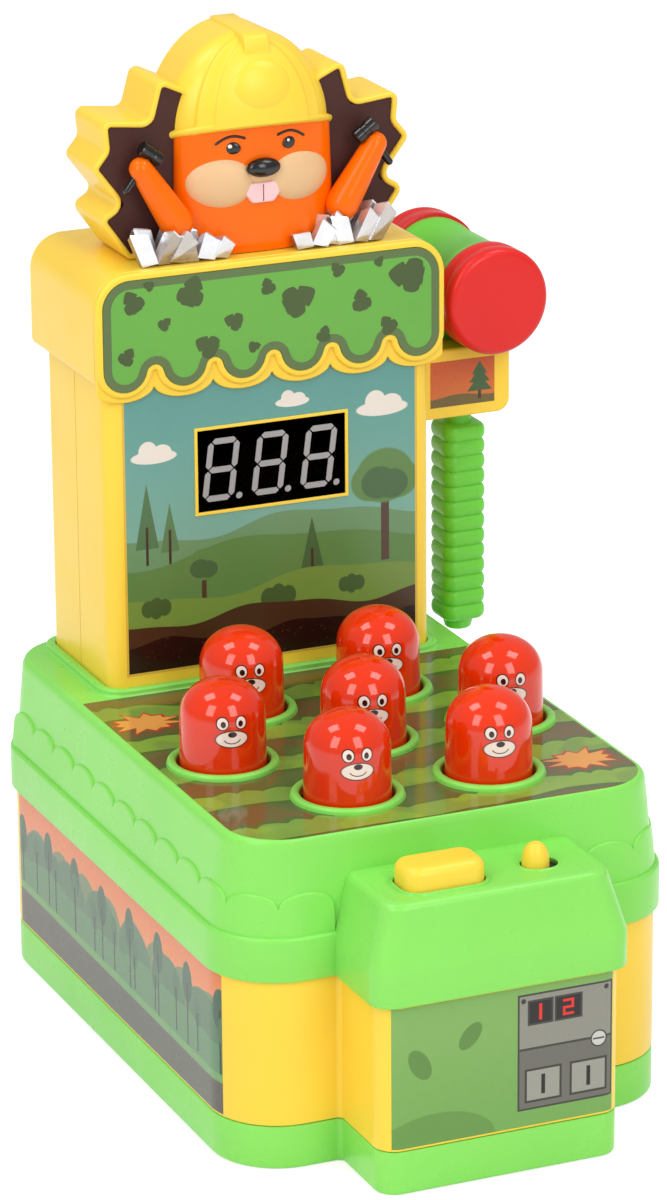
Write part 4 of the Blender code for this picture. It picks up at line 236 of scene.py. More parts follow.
GREEN_COLOUR = linear(134, 219, 92)
YELLOW_COLOUR = linear(250, 210, 66)
GREEN = moulded("case_green", GREEN_COLOUR, 0.3)
YELLOW = moulded("case_yellow", YELLOW_COLOUR, 0.32)
MALLET_RED = moulded("mallet_red", linear(218, 34, 30), 0.34)
MALLET_GREEN = moulded("mallet_green", linear(112, 208, 66), 0.34)
BROWN = moulded("board_brown", linear(66, 32, 27), 0.6)
ORANGE = moulded("figure_orange", linear(252, 108, 0), 0.2, 0.000004, 0.95, 0.2)
BEIGE = moulded("muzzle_beige", linear(226, 186, 138), 0.42)
BLACK = moulded("painted_black", linear(24, 21, 22), 0.16, 0.00001, 0.8, 0.5)
PINK = moulded("tooth_pink", linear(240, 200, 200), 0.35)
# Dark grey painted shade for the mole wells, the knob slot's floor and the screw wells; the floor holds it only until
# its own finish replaces it.
SHADE_DARK = moulded("painted_shade_dark", linear(40, 40, 42), 0.6)
# This white serves only the small glint dots on the eyes, a painted highlight.
GLINT_WHITE = moulded("painted_glint_white", linear(244, 242, 236), 0.2, 0.000005)


def steel(name, colour=(0.62, 0.61, 0.58), roughness=0.28):
    """Drawn and plated steel: fine scratches across the roughness and a little cloudiness."""
    f = Finish(name, Metallic=1.0)
    haze = f.noise(90.0, 4.0, 0.6)
    f.put("Base Color", f.mix(haze, colour, tuple(v * 0.75 for v in colour)))
    f.put("Roughness", f.noise(700.0, 3.0) * 0.2 + roughness)
    f.bump(f.noise(2600.0, 2.0), 0.000004, 0.5)
    return f.material


# Printed films
def spot(x, z, cx, cz, rx, rz, soft=0.05, turn=0.0):
    """1 inside an ellipse, 0 outside; its axes are turned by degrees."""
    c, n = math.cos(math.radians(turn)), math.sin(math.radians(turn))
    u = ((x - cx) * c + (z - cz) * n) / rx
    v = ((z - cz) * c - (x - cx) * n) / rz
    return 1 - (u * u + v * v).sqrt().step(1 - soft, 1 + soft)


SOFT = 0.00008


def window_mask(x, z, x0, x1, z0, z1):
    """1 inside a rectangle."""
    return x.step(x0 - SOFT, x0 + SOFT) * (1 - x.step(x1 - SOFT, x1 + SOFT)) \
        * z.step(z0 - SOFT, z0 + SOFT) * (1 - z.step(z1 - SOFT, z1 + SOFT))


def printed(f, colour, roughness=0.2):
    """Ink on a laminated film: faint ink mottle, and a gloss that waves a little."""
    mottle = f.noise(420.0, 3.0)
    f.put("Base Color", f.mix(0.03, colour, f.mix(mottle, (0.0, 0.0, 0.0), (1.0, 1.0, 1.0)), "OVERLAY"))
    f.put("Roughness", f.noise(70.0, 3.0) * 0.06 + roughness)
    f.bump(f.noise(160.0, 2.0), 0.00003, 0.4)
    return f.material


def deck_print():
    """Wavy bands across the deck: height along Y plus slow sway and small scallops, cut into three inks."""
    f = Finish("deck_film", IOR=1.5, Specular_IOR_Level=0.5)
    x, y, _ = f.axes()
    sway = (x * 48 + f.noise(9.0, 1.0) * 5).sin() * 0.0026 + f.noise(20.0, 2.0) * 0.0150
    teeth = (x * 300 + f.noise(34.0, 1.0) * 9).sin().abs()
    phase = ((y + sway + 0.205) / 0.0305).wrap(1.0)
    lower = phase - teeth * 0.075
    brown, leaf, dark = linear(106, 90, 50), linear(128, 164, 58), linear(78, 100, 44)
    colour = f.mix(f.noise(30.0, 2.0).step(0.50, 0.54), leaf, linear(118, 150, 62))
    colour = f.mix(lower.step(0.36, 0.375), colour, dark)
    colour = f.mix(lower.step(0.43, 0.445), colour, brown)
    colour = f.mix(lower.step(0.43, 0.445) * f.noise(17.0, 1.0).step(0.56, 0.58), colour, linear(88, 100, 50))
    colour = f.mix((phase + teeth * 0.05).step(0.93, 0.945), colour, dark)
    return printed(f, colour, 0.07)


def side_print():
    """Road, field and a row of trees under an orange sky; bands in height, crowns as ellipses in repeating cells."""
    f = Finish("side_film", IOR=1.5, Specular_IOR_Level=0.35)
    _, y, z = f.axes()
    colour = f.mix(z.step(0.040, 0.066), linear(230, 150, 100), linear(220, 122, 72))
    for pitch, shift, base, tall, wide, ink in ((0.0230, 0.004, 0.047, 0.010, 0.0115, (112, 128, 92)),
                                                (0.0310, 0.012, 0.044, 0.012, 0.0150, (84, 116, 88))):
        cell = (y + shift + 1).wrap(pitch) - pitch / 2
        colour = f.mix(spot(cell, z, 0.0, base, wide, tall, 0.03), colour, linear(*ink))
    hill = z + (y * 60).sin() * 0.0016 + (y * 141).sin() * 0.0007
    colour = f.mix(1 - hill.step(0.0428, 0.0432), colour, linear(92, 132, 94))
    for pitch, shift, low, top, wide, ink in ((0.0262, 0.009, 0.030, 0.0520, 0.0042, (62, 92, 72)),
                                              (0.0190, 0.002, 0.032, 0.0470, 0.0030, (74, 108, 82))):
        number = ((y + shift + 1) / pitch).floor()
        vary = ((number * 12.9898).sin() * 43.7).sin()
        cell = (y + shift + 1).wrap(pitch) - pitch / 2
        height = top + vary * 0.0022
        crown = (cell / wide) * (cell / wide) + ((z - height) / (wide * 1.75)) * ((z - height) / (wide * 1.75))
        colour = f.mix(1 - crown.sqrt().step(0.96, 1.04), colour, linear(*ink))
        trunk = (1 - cell.abs().step(0.0004, 0.0006)) * z.step(low, low + 0.0003) \
            * (1 - (z - height).step(-0.0004, 0.0))
        colour = f.mix(trunk, colour, linear(46, 56, 46))
    verge = z - y * 0.012
    colour = f.mix(1 - verge.step(0.0312, 0.0316), colour, linear(108, 156, 96))
    colour = f.mix(1 - verge.step(0.0282, 0.0286), colour, linear(90, 86, 80))
    return printed(f, colour, 0.24)


def console_print():
    """Green sheet with a printed coin panel: rectangles, two plain numbers, a round knob and two screws."""
    f = Finish("console_film", IOR=1.5, Specular_IOR_Level=0.35)
    x, _, z = f.axes()
    colour = f.mix(z.step(0.016, 0.066), linear(112, 160, 78), linear(124, 168, 88))
    colour = f.mix(spot(x, z, -0.024, 0.0160, 0.0210, 0.0110, 0.02), colour, linear(98, 142, 66))
    colour = f.mix(spot(x, z, -0.030, 0.0450, 0.0034, 0.0060, 0.03, 30), colour, linear(92, 132, 62))
    colour = f.mix(spot(x, z, -0.012, 0.0520, 0.0030, 0.0054, 0.03, -40), colour, linear(92, 132, 62))

    def box(x0, x1, z0, z1, ink):
        return f.mix(window_mask(x, z, x0, x1, z0, z1), colour, linear(*ink))

    colour = box(0.0049, 0.0395, 0.0220, 0.0631, (60, 58, 52))
    colour = box(0.0056, 0.0388, 0.0227, 0.0624, (104, 102, 94))
    colour = box(0.0056, 0.0388, 0.0440, 0.0624, (138, 136, 126))
    colour = box(0.0056, 0.0388, 0.0432, 0.0440, (60, 58, 52))
    for x0, x1 in ((0.0092, 0.0171), (0.0189, 0.0276)):
        colour = box(x0 - 0.0007, x1 + 0.0007, 0.0518, 0.0607, (60, 58, 52))
        colour = box(x0, x1, 0.0525, 0.0600, (30, 26, 26))
    lit = (224, 44, 34)
    colour = box(0.0126, 0.0137, 0.0534, 0.0591, lit)
    for x0, x1, z0, z1 in ((0.0212, 0.0252, 0.0582, 0.0591), (0.0243, 0.0252, 0.0562, 0.0591),
                           (0.0212, 0.0252, 0.0557, 0.0566), (0.0212, 0.0221, 0.0534, 0.0562),
                           (0.0212, 0.0252, 0.0534, 0.0543)):
        colour = box(x0, x1, z0, z1, lit)
    for x0, x1 in ((0.0075, 0.0209), (0.0238, 0.0374)):
        colour = box(x0, x1, 0.0245, 0.0365, (54, 52, 48))
        colour = box(x0 + 0.0008, x1 - 0.0008, 0.0253, 0.0357, (150, 148, 138))
        colour = box((x0 + x1) / 2 - 0.0007, (x0 + x1) / 2 + 0.0007, 0.0270, 0.0340, (24, 22, 22))
    for cx, cz, r, ink in ((0.0343, 0.0431, 0.0030, (54, 52, 48)), (0.0343, 0.0431, 0.0025, (196, 194, 188)),
                           (0.0070, 0.0607, 0.0009, (54, 52, 48)), (0.0370, 0.0610, 0.0009, (54, 52, 48))):
        colour = f.mix(spot(x, z, cx, cz, r, r, 0.04), colour, linear(*ink))
    colour = f.mix(window_mask(x, z, 0.0322, 0.0364, 0.0428, 0.0434), colour, linear(70, 68, 64))
    return printed(f, colour, 0.22)


def panel_print():
    """Meadow under a teal sky: clouds and round trees as ellipses, pointed trees as wedges, hills as sine sums."""
    f = Finish("panel_film", IOR=1.5, Specular_IOR_Level=0.35)
    x, _, z = f.axes()
    colour = f.mix(z.step(0.150, 0.222), linear(122, 170, 150), linear(92, 150, 142))
    cloud = linear(226, 218, 206)
    for cx, cz, k in ((-0.0440, 0.1990, 1.0), (0.0080, 0.2125, 0.75), (0.0420, 0.2060, 1.15)):
        for dx, dz, rx, rz in ((0, 0, 0.0085, 0.0024), (-0.0022, 0.0022, 0.0034, 0.0036),
                               (0.0030, 0.0014, 0.0036, 0.0028)):
            colour = f.mix(spot(x, z, cx + dx * k, cz + dz * k, rx * k, rz * k), colour, cloud)

    def hills(colour, level, swing, pace, shift, ink):
        ridge = z - ((x + shift) * pace).sin() * swing - ((x + shift) * pace * 2.3).sin() * swing * 0.3
        return f.mix(1 - ridge.step(level - 0.0002, level + 0.0002), colour, linear(*ink))

    def pointed(colour, cx, low, top, half, ink):
        wedge = (x - cx).abs() / half + (z - low) / (top - low)
        colour = f.mix((1 - wedge.step(0.97, 1.0)) * z.step(low - 0.0001, low + 0.0001), colour, linear(*ink))
        trunk = window_mask(x, z, cx - 0.0005, cx + 0.0005, low - 0.0060, low + 0.0080)
        return f.mix(trunk, colour, linear(58, 46, 34))

    def round_tree(colour, cx, cz, r, low):
        colour = f.mix(window_mask(x, z, cx - r * 0.13, cx + r * 0.13, low, cz), colour, linear(78, 56, 40))
        for dx, dz, k, ink in ((0, 0.10, 0.92, (92, 128, 68)), (-0.42, -0.05, 0.66, (92, 128, 68)),
                               (0.42, -0.05, 0.66, (92, 128, 68)), (-0.20, -0.10, 0.55, (68, 100, 58)),
                               (0.24, -0.18, 0.50, (68, 100, 58))):
            colour = f.mix(spot(x, z, cx + dx * r, cz + dz * r, r * k, r * k * 0.9), colour, linear(*ink))
        return colour

    colour = hills(colour, 0.1700, 0.0030, 70, 0.010, (104, 142, 98))
    colour = pointed(colour, -0.0470, 0.1660, 0.1900, 0.0044, (78, 112, 72))
    colour = pointed(colour, -0.0385, 0.1640, 0.1820, 0.0036, (86, 122, 76))
    colour = hills(colour, 0.1620, 0.0036, 52, 0.030, (90, 128, 66))
    colour = round_tree(colour, 0.0430, 0.1800, 0.0120, 0.1500)
    colour = round_tree(colour, -0.0260, 0.1570, 0.0070, 0.1400)
    colour = pointed(colour, 0.0150, 0.1500, 0.1700, 0.0046, (64, 96, 54))
    colour = hills(colour, 0.1480, 0.0030, 64, 0.002, (112, 140, 60))
    for cx, cz, k in ((-0.0440, 0.1440, 1.0), (0.0020, 0.1420, 1.2), (0.0300, 0.1430, 0.9)):
        for dx in (-0.0030, 0.0, 0.0030):
            blade = spot(x, z, cx + dx * k, cz, 0.0026 * k, (0.0040 - abs(dx) * 0.3) * k)
            colour = f.mix(blade, colour, linear(66, 92, 46))
    colour = hills(colour, 0.1385, 0.0022, 85, 0.020, (70, 44, 26))
    colour = hills(colour, 0.1310, 0.0016, 120, 0.0, (38, 16, 12))
    speck = f.noise(600.0, 1.0).step(0.68, 0.72) * (1 - z.step(0.130, 0.136))
    colour = f.mix(speck * 0.5, colour, linear(86, 56, 36))
    inside = window_mask(x, z, -0.0546, 0.0546, 0.1211, 0.2250)
    colour = f.mix(inside, linear(214, 176, 70), colour)
    return printed(f, colour, 0.2)


def plain_print(name, colour, shade, roughness=0.22):
    """One ink with a slow change of strength across it."""
    f = Finish(name, IOR=1.5, Specular_IOR_Level=0.35)
    return printed(f, f.mix(f.noise(24.0, 2.0), colour, shade), roughness)


def bracket_print():
    """A pine on an orange ground: three wedges, each wider towards its foot, over a short trunk."""
    f = Finish("bracket_film", IOR=1.5, Specular_IOR_Level=0.35)
    x, _, z = f.axes()
    colour = f.mix(z.step(0.199, 0.216), linear(206, 110, 48), linear(198, 84, 30))
    colour = f.mix(1 - (z - (x * 260).sin() * 0.0006).step(0.2018, 0.2021), colour, linear(108, 92, 44))
    cx = 0.0865
    colour = f.mix(window_mask(x, z, cx - 0.0006, cx + 0.0006, 0.2000, 0.2050), colour, linear(62, 44, 28))
    for low, top, half in ((0.2030, 0.2090, 0.0050), (0.2062, 0.2118, 0.0041), (0.2092, 0.2140, 0.0031)):
        wedge = (x - cx).abs() / half + (z - low) / (top - low)
        colour = f.mix((1 - wedge.step(0.96, 1.0)) * z.step(low - 0.0001, low), colour, linear(62, 92, 50))
    return printed(f, colour, 0.24)


def mole_finish():
    """Glossy red with a small printed face: two round eyes, an oval patch, a nose and a smile."""
    f = Finish("mole_red", IOR=1.5, Specular_IOR_Level=0.5)
    u, v = f.uv()
    ink, cream = linear(40, 16, 12), linear(236, 214, 204)
    colour = f.mix(f.noise(14.0, 3.0).step(0.3, 0.75), linear(228, 50, 2), linear(216, 45, 2))
    side = (u + 2.3).abs()
    for grow, paint in ((0.4, ink), (0.0, cream)):
        patch = spot(side, v, 0.0, -3.9, 5.2 + grow, 2.7 + grow, 0.05)
        eye = spot(side, v, 3.1, 1.6, 1.7 + grow, 2.0 + grow, 0.05)
        colour = f.mix(patch.max(eye), colour, paint)
    smile = spot(side, v, 0.0, -3.9, 2.9, 1.7, 0.06) * (1 - spot(side, v, 0.0, -3.9, 2.5, 1.35, 0.06))
    colour = f.mix(smile * (1 - v.step(-4.3, -4.0)), colour, ink)
    colour = f.mix(spot(side, v, 0.0, -2.3, 1.5, 1.0, 0.1), colour, ink)
    colour = f.mix(spot(side, v, 2.9, 1.3, 0.85, 1.1, 0.1), colour, ink)
    f.put("Base Color", colour)
    f.put("Roughness", f.noise(60.0, 4.0, 0.6) * 0.05 + 0.06)
    f.bump(f.noise(900.0, 2.0), 0.000004, 0.4)
    return f.material


def stone(name):
    """Cast silver crystals: bright faces, with painted shade in grey-tan on those that look down and in tan on those
    turned towards +X.
    """
    f = Finish(name, Specular_IOR_Level=0.5)
    face = f.axes(f.node("ShaderNodeNewGeometry", output="True Normal"))
    colour = f.mix(f.noise(150.0, 2.0), linear(236, 238, 242), linear(204, 206, 212))
    # Painted shade: faces whose normal looks down are darkened to grey-tan.
    colour = f.mix((1 - face[2].step(-0.35, 0.05)) * 0.8, colour, linear(150, 132, 110))
    # Painted shade: faces whose normal points along +X are mixed towards tan.
    colour = f.mix(face[0].step(0.45, 0.60) * 0.55, colour, linear(196, 164, 122))
    f.put("Base Color", colour)
    f.put("Metallic", f.noise(120.0, 2.0).step(0.3, 0.7) * 0.3 + 0.45)
    f.put("Roughness", f.noise(200.0, 3.0) * 0.15 + 0.12)
    f.bump(f.noise(420.0, 3.0), 0.00004, 0.5)
    return f.material


# Meshes worked out as arrays
def add_piece(name, points, faces, material, body="case", sharp=35.0, weld=True, maps=None):
    """An object at the origin from an array of points and its faces."""
    mesh = bpy.data.meshes.new(name)
    mesh.from_pydata(np.asarray(points, float).reshape(-1, 3).tolist(), [], faces)
    if maps is not None:
        layer = mesh.uv_layers.new(name="face")
        corner = np.empty(len(mesh.loops), dtype=np.int32)
        mesh.loops.foreach_get("vertex_index", corner)
        layer.data.foreach_set("uv", np.asarray(maps, float).reshape(-1, 2)[corner].ravel())
    if weld:
        bm = bmesh.new()
        bm.from_mesh(mesh)
        bmesh.ops.remove_doubles(bm, verts=bm.verts[:], dist=0.000002)
        bmesh.ops.dissolve_degenerate(bm, edges=bm.edges[:], dist=0.0000005)
        bm.to_mesh(mesh)
        bm.free()
    mesh.shade_smooth()
    mesh.set_sharp_from_angle(angle=math.radians(sharp))
    mesh.materials.append(material)
    ob = bpy.data.objects.new(name, mesh)
    scene.collection.objects.link(ob)
    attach(ob, body)
    return ob


def grid_faces(rows, columns, around=True, flip=False, start=0):
    """Quads between neighbouring rows of a grid; the columns close on themselves when around is set."""
    row = np.arange(rows - 1)[:, None] * columns
    column = np.arange(columns if around else columns - 1)[None, :]
    after = (column + 1) % columns
    quads = np.stack([row + column, row + after, row + columns + after, row + columns + column], -1)
    quads = quads.reshape(-1, 4) + start
    return (quads[:, ::-1] if flip else quads).tolist()


def rounded(points, radii, steps=8):
    """A closed outline with each corner turned into an arc tangent to both its edges."""
    p = np.asarray(points, float)
    r = np.broadcast_to(np.asarray(radii, float), len(p)).copy()
    a = np.roll(p, 1, 0) - p
    b = np.roll(p, -1, 0) - p
    la, lb = np.linalg.norm(a, axis=1), np.linalg.norm(b, axis=1)
    u, v = a / la[:, None], b / lb[:, None]
    half = np.arccos(np.clip((u * v).sum(1), -1, 1)) / 2
    total_before = r + np.roll(r, 1) + 1e-12
    total_after = r + np.roll(r, -1) + 1e-12
    reach = np.minimum(r / np.tan(half), np.minimum(la * 0.999 * r / total_before, lb * 0.999 * r / total_after))
    r = reach * np.tan(half)
    middle = (u + v) / np.maximum(np.linalg.norm(u + v, axis=1), 1e-12)[:, None]
    centre = p + middle * (r / np.sin(half))[:, None]
    start = p + u * reach[:, None] - centre
    side = np.sign(u[:, 0] * v[:, 1] - u[:, 1] * v[:, 0])
    sweep = side * (math.pi - 2 * half)
    angle = -sweep[:, None] * np.linspace(0, 1, steps + 1)[None, :]
    cos, sin = np.cos(angle), np.sin(angle)
    x = centre[:, :1] + start[:, :1] * cos - start[:, 1:] * sin
    y = centre[:, 1:] + start[:, :1] * sin + start[:, 1:] * cos
    return np.stack([x, y], -1).reshape(-1, 2)


def outward(outline):
    """Unit normals of a counter-clockwise outline, mitred at its corners."""
    before = outline - np.roll(outline, 1, 0)
    after = np.roll(outline, -1, 0) - outline

    def normal(edge):
        length = np.maximum(np.linalg.norm(edge, axis=1), 1e-9)[:, None]
        return np.stack([edge[:, 1], -edge[:, 0]], -1) / length

    na, nb = normal(before), normal(after)
    weak = np.linalg.norm(before, axis=1) < 1e-8
    na[weak] = nb[weak]
    weak = np.linalg.norm(after, axis=1) < 1e-8
    nb[weak] = na[weak]
    middle = na + nb
    middle /= np.maximum(np.linalg.norm(middle, axis=1), 1e-9)[:, None]
    return middle / np.maximum((middle * na).sum(1), 0.4)[:, None]


AXES = {"z": (0, 1, 2), "y": (0, 2, 1), "x": (1, 2, 0)}


def carry(name, outline, profile, material, axis="z", caps=(True, True)):
    """A profile of (outward, along) points carried round a closed outline; flat ends where caps are set."""
    outline = np.asarray(outline, float)
    profile = np.asarray(profile, float)
    flat = outline[None] + outward(outline)[None] * profile[:, :1, None]
    points = np.empty((len(profile), len(outline), 3))
    u, v, w = AXES[axis]
    points[..., u], points[..., v] = flat[..., 0], flat[..., 1]
    points[..., w] = profile[:, 1][:, None]
    flip = axis == "y"
    faces = grid_faces(len(profile), len(outline), True, flip)
    count = len(outline)
    last = (len(profile) - 1) * count
    ends = [list(range(count))[::-1] if caps[0] else None, list(range(last, last + count)) if caps[1] else None]
    faces += [end[::-1] if flip else end for end in ends if end]
    return add_piece(name, points, faces, material)


def arc(centre, radius, start, end, steps=5):
    """Points of a circular arc, angles in degrees."""
    angle = np.radians(np.linspace(start, end, steps + 1))
    return [(centre[0] + radius * math.cos(a), centre[1] + radius * math.sin(a)) for a in angle]


def swapped(points):
    """Points with their two numbers exchanged."""
    return [(b, a) for a, b in points]


def placed(points, place):
    """Points carried by a matrix."""
    m = np.array(place)
    return points @ m[:3, :3].T + m[:3, 3]


def whole_turn(sides):
    """Even angles of a whole turn."""
    return np.arange(sides) / sides * TAU


def spun(name, profile, sides, material, body="case", place=Matrix()):
    """A turned piece: (radius, height) points run up its outside, and a matrix carries it to its spot."""
    profile = np.asarray(profile, float)
    angle = whole_turn(sides)
    points = np.stack([profile[:, :1] * np.cos(angle), profile[:, :1] * np.sin(angle),
                       np.broadcast_to(profile[:, 1:], (len(profile), sides))], -1)
    return add_piece(name, placed(points, place), grid_faces(len(profile), sides), material, body)


def rectangle(half, low, high):
    """Corners of a rectangle about the middle line, counter-clockwise."""
    return [(-half, low), (half, low), (half, high), (-half, high)]


def flat_sheet(name, outlines, low, high, material, axis="z"):
    """A plate from a filled flat curve: the first outline is its edge and the others are holes."""
    curve = bpy.data.curves.new(name, "CURVE")
    curve.dimensions = "2D"
    curve.fill_mode = "BOTH"
    curve.extrude = (high - low) / 2
    for outline in outlines:
        spline = curve.splines.new("POLY")
        spline.points.add(len(outline) - 1)
        flat = np.column_stack([outline, np.zeros(len(outline)), np.ones(len(outline))])
        spline.points.foreach_set("co", flat.ravel())
        spline.use_cyclic_u = True
    maker = bpy.data.objects.new(name, curve)
    scene.collection.objects.link(maker)
    mesh = bpy.data.meshes.new_from_object(maker)
    bpy.data.objects.remove(maker, do_unlink=True)
    middle = (low + high) / 2
    place = {"z": Matrix(((1, 0, 0, 0), (0, 1, 0, 0), (0, 0, 1, middle), (0, 0, 0, 1))),
             "y": Matrix(((1, 0, 0, 0), (0, 0, -1, middle), (0, 1, 0, 0), (0, 0, 0, 1))),
             "x": Matrix(((0, 0, 1, middle), (1, 0, 0, 0), (0, 1, 0, 0), (0, 0, 0, 1)))}[axis]
    mesh.transform(place)
    bm = bmesh.new()
    bm.from_mesh(mesh)
    bmesh.ops.remove_doubles(bm, verts=bm.verts[:], dist=0.000002)
    bmesh.ops.recalc_face_normals(bm, faces=bm.faces[:])
    bm.to_mesh(mesh)
    bm.free()
    mesh.materials.clear()
    mesh.materials.append(material)
    mesh.shade_smooth()
    mesh.set_sharp_from_angle(angle=math.radians(35))
    ob = bpy.data.objects.new(name, mesh)
    scene.collection.objects.link(ob)
    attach(ob, "case")
    return ob


# The case in plan
BODY_HALF = 0.080
BODY_FRONT, BODY_BACK = -0.0961, 0.1297
BODY_CORNER = 0.024
CONSOLE_HALF, CONSOLE_FRONT = 0.0434, -0.1292
CONSOLE_CORNER, NOOK = 0.0075, 0.002
PLINTH_TOP, RIM_BOTTOM, RIM_TOP, DECK_TOP = 0.0152, 0.0669, 0.0822, 0.1145
RIM_PROUD = 0.0018


def case_plan(inset=0.0, steps=12):
    """Main body and console together."""
    hw, cw = BODY_HALF - inset, CONSOLE_HALF - inset
    front, nose, back = BODY_FRONT + inset, CONSOLE_FRONT + inset, BODY_BACK - inset
    corners = [(cw, nose), (cw, front), (hw, front), (hw, back), (-hw, back), (-hw, front), (-cw, front), (-cw, nose)]
    nook = max(NOOK - inset, 0.0001)
    nose_side = [CONSOLE_CORNER - inset, nook]
    return rounded(corners, nose_side + [BODY_CORNER - inset] * 4 + nose_side[::-1], steps)


def body_plan(side, end):
    """The main body's rounded rectangle, grown by one amount at the sides and another at front and back."""
    return rounded(rectangle(BODY_HALF + side, BODY_FRONT - end, BODY_BACK + end),
                   BODY_CORNER + (side + end) / 2, 14)


def loft(name, rings, material, body="case", caps=(False, False), sharp=35.0):
    """Rings of equally many points joined into one skin."""
    points = np.asarray(rings, float)
    count = points.shape[1]
    faces = grid_faces(len(points), count)
    if caps[0]:
        faces.append(list(range(count))[::-1])
    if caps[1]:
        last = (len(points) - 1) * count
        faces.append(list(range(last, last + count)))
    return add_piece(name, points, faces, material, body, sharp)


def level(outline, z):
    """An outline at one height."""
    return np.column_stack([outline, np.full(len(outline), z)])


# Plinth: outer wall, and an underside plate with the door's opening, grille and screw wells
BASE_EDGE, BASE_ROUND, PLINTH_ROUND = 0.0018, 0.0012, 0.0006
plinth = carry("plinth_wall", case_plan(),
               [(-BASE_EDGE, BASE_ROUND), (-BASE_EDGE, 0.0), (-BASE_ROUND, 0.0)]
               + arc((-BASE_ROUND, BASE_ROUND), BASE_ROUND, -90, 0, 4)
               + arc((-PLINTH_ROUND, PLINTH_TOP - PLINTH_ROUND), PLINTH_ROUND, 0, 90, 3)
               + [(-0.0030, PLINTH_TOP)], GREEN, caps=(False, False))
stands_for(plinth, "base_tray", slot="green_plastic")
BAY_Y, BAY_HALF_X, BAY_HALF_Y, TAB_END, TAB_HALF = 0.034, 0.03245, 0.02655, 0.0397, 0.0051
GRILLE_Y, GRILLE_R, GRILLE_PITCH, GRILLE_HALF = -0.055, 0.01404, 0.005, 0.001
WELL_R = 0.0036


def disc(x, y, radius, sides=28):
    """A round hole's outline, clockwise."""
    angle = -whole_turn(sides)
    return np.column_stack([x + radius * np.cos(angle), y + radius * np.sin(angle)])


WELLS = [(-0.065, -0.0811), (0.065, -0.0811), (-0.065, 0.1147), (0.065, 0.1147),
         (-0.0284, -0.1142), (0.0284, -0.1142)]
DOOR_HOLE = np.array([(-BAY_HALF_X, BAY_Y - BAY_HALF_Y), (-BAY_HALF_X, BAY_Y + BAY_HALF_Y),
                      (BAY_HALF_X, BAY_Y + BAY_HALF_Y), (BAY_HALF_X, BAY_Y + TAB_HALF),
                      (TAB_END, BAY_Y + TAB_HALF), (TAB_END, BAY_Y - TAB_HALF),
                      (BAY_HALF_X, BAY_Y - TAB_HALF), (BAY_HALF_X, BAY_Y - BAY_HALF_Y)])


def grille_slot(step):
    """One slot of the round grille: as long as the circle is wide at its place."""
    y = GRILLE_Y + step * GRILLE_PITCH
    reach = math.sqrt(GRILLE_R ** 2 - (y - GRILLE_Y) ** 2)
    return rounded([(-reach, y - GRILLE_HALF), (-reach, y + GRILLE_HALF), (reach, y + GRILLE_HALF),
                    (reach, y - GRILLE_HALF)], GRILLE_HALF * 0.9, 4)


flat_sheet("underside_plate", [case_plan(BASE_EDGE)] + [disc(x, y, WELL_R) for x, y in WELLS]
           + [DOOR_HOLE] + [grille_slot(step) for step in range(-2, 3)], 0.0, 0.0022, GREEN)

# Yellow wall between plinth and cover, with the printed sheets let into it
WALL_LOW, WALL_HIGH = PLINTH_TOP + 0.0003, RIM_BOTTOM - 0.0003
WALL_EDGE = 0.0005
wall = carry("case_wall", case_plan(0.0, 14),
             [(-0.004, WALL_LOW), (-WALL_EDGE, WALL_LOW)]
             + arc((-WALL_EDGE, WALL_LOW + WALL_EDGE), WALL_EDGE, -90, 0, 3)
             + [(0.0, WALL_HIGH), (-0.004, WALL_HIGH)], YELLOW, caps=(False, False))
stands_for(wall, "mid_case", slot="yellow_plastic")

# Printed films let into the wall; they follow its plan a little way round the corners
SHEET_LOW, SHEET_HIGH = 0.0164, 0.0657
SHEET_FRONT, SHEET_BACK, SHEET_HALF, SHEET_THICK = -0.0797, 0.1077, 0.0397, 0.0004


def wall_film(name, node, line, material):
    """A thin strip: the outer line along the wall, then the same line back a film's thickness further in."""
    edge = np.gradient(line, axis=0)
    normal = np.stack([edge[:, 1], -edge[:, 0]], -1) / np.linalg.norm(edge, axis=1)[:, None]
    outline = np.concatenate([line, (line - normal * SHEET_THICK)[::-1]])
    stands_for(carry(name, outline, [(0.0, SHEET_LOW), (0.0, SHEET_HIGH)], material), node)


def sheet_line(keep, axis, start, end):
    """The wall's plan between two places along one axis, evenly spaced; keep picks the side."""
    plan = case_plan(-0.0001, 24)
    plan = plan[keep(plan)]
    plan = plan[np.argsort(plan[:, axis])]
    along = np.linspace(start, end, 120)
    across = np.interp(along, plan[:, axis], plan[:, 1 - axis])
    return np.column_stack([along, across] if axis == 0 else [across, along])


SIDE_FILM = side_print()
wall_film("side_film_left", "side_label_left",
          sheet_line(lambda p: p[:, 0] < -0.050, 1, SHEET_BACK, SHEET_FRONT), SIDE_FILM)
wall_film("side_film_right", "side_label_right",
          sheet_line(lambda p: p[:, 0] > 0.050, 1, SHEET_FRONT, SHEET_BACK), SIDE_FILM)
wall_film("console_film", "console_label",
          sheet_line(lambda p: p[:, 1] < -0.115, 0, -SHEET_HALF, SHEET_HALF), console_print())

# Green cover: rim, drafted wall and round deck edge
EDGE_SIDE, EDGE_FRONT, DECK_ROUND, LEDGE, DRAFT = 0.0060, 0.0040, 0.0040, 0.0005, 0.0027
TURN_Z = DECK_TOP - DECK_ROUND


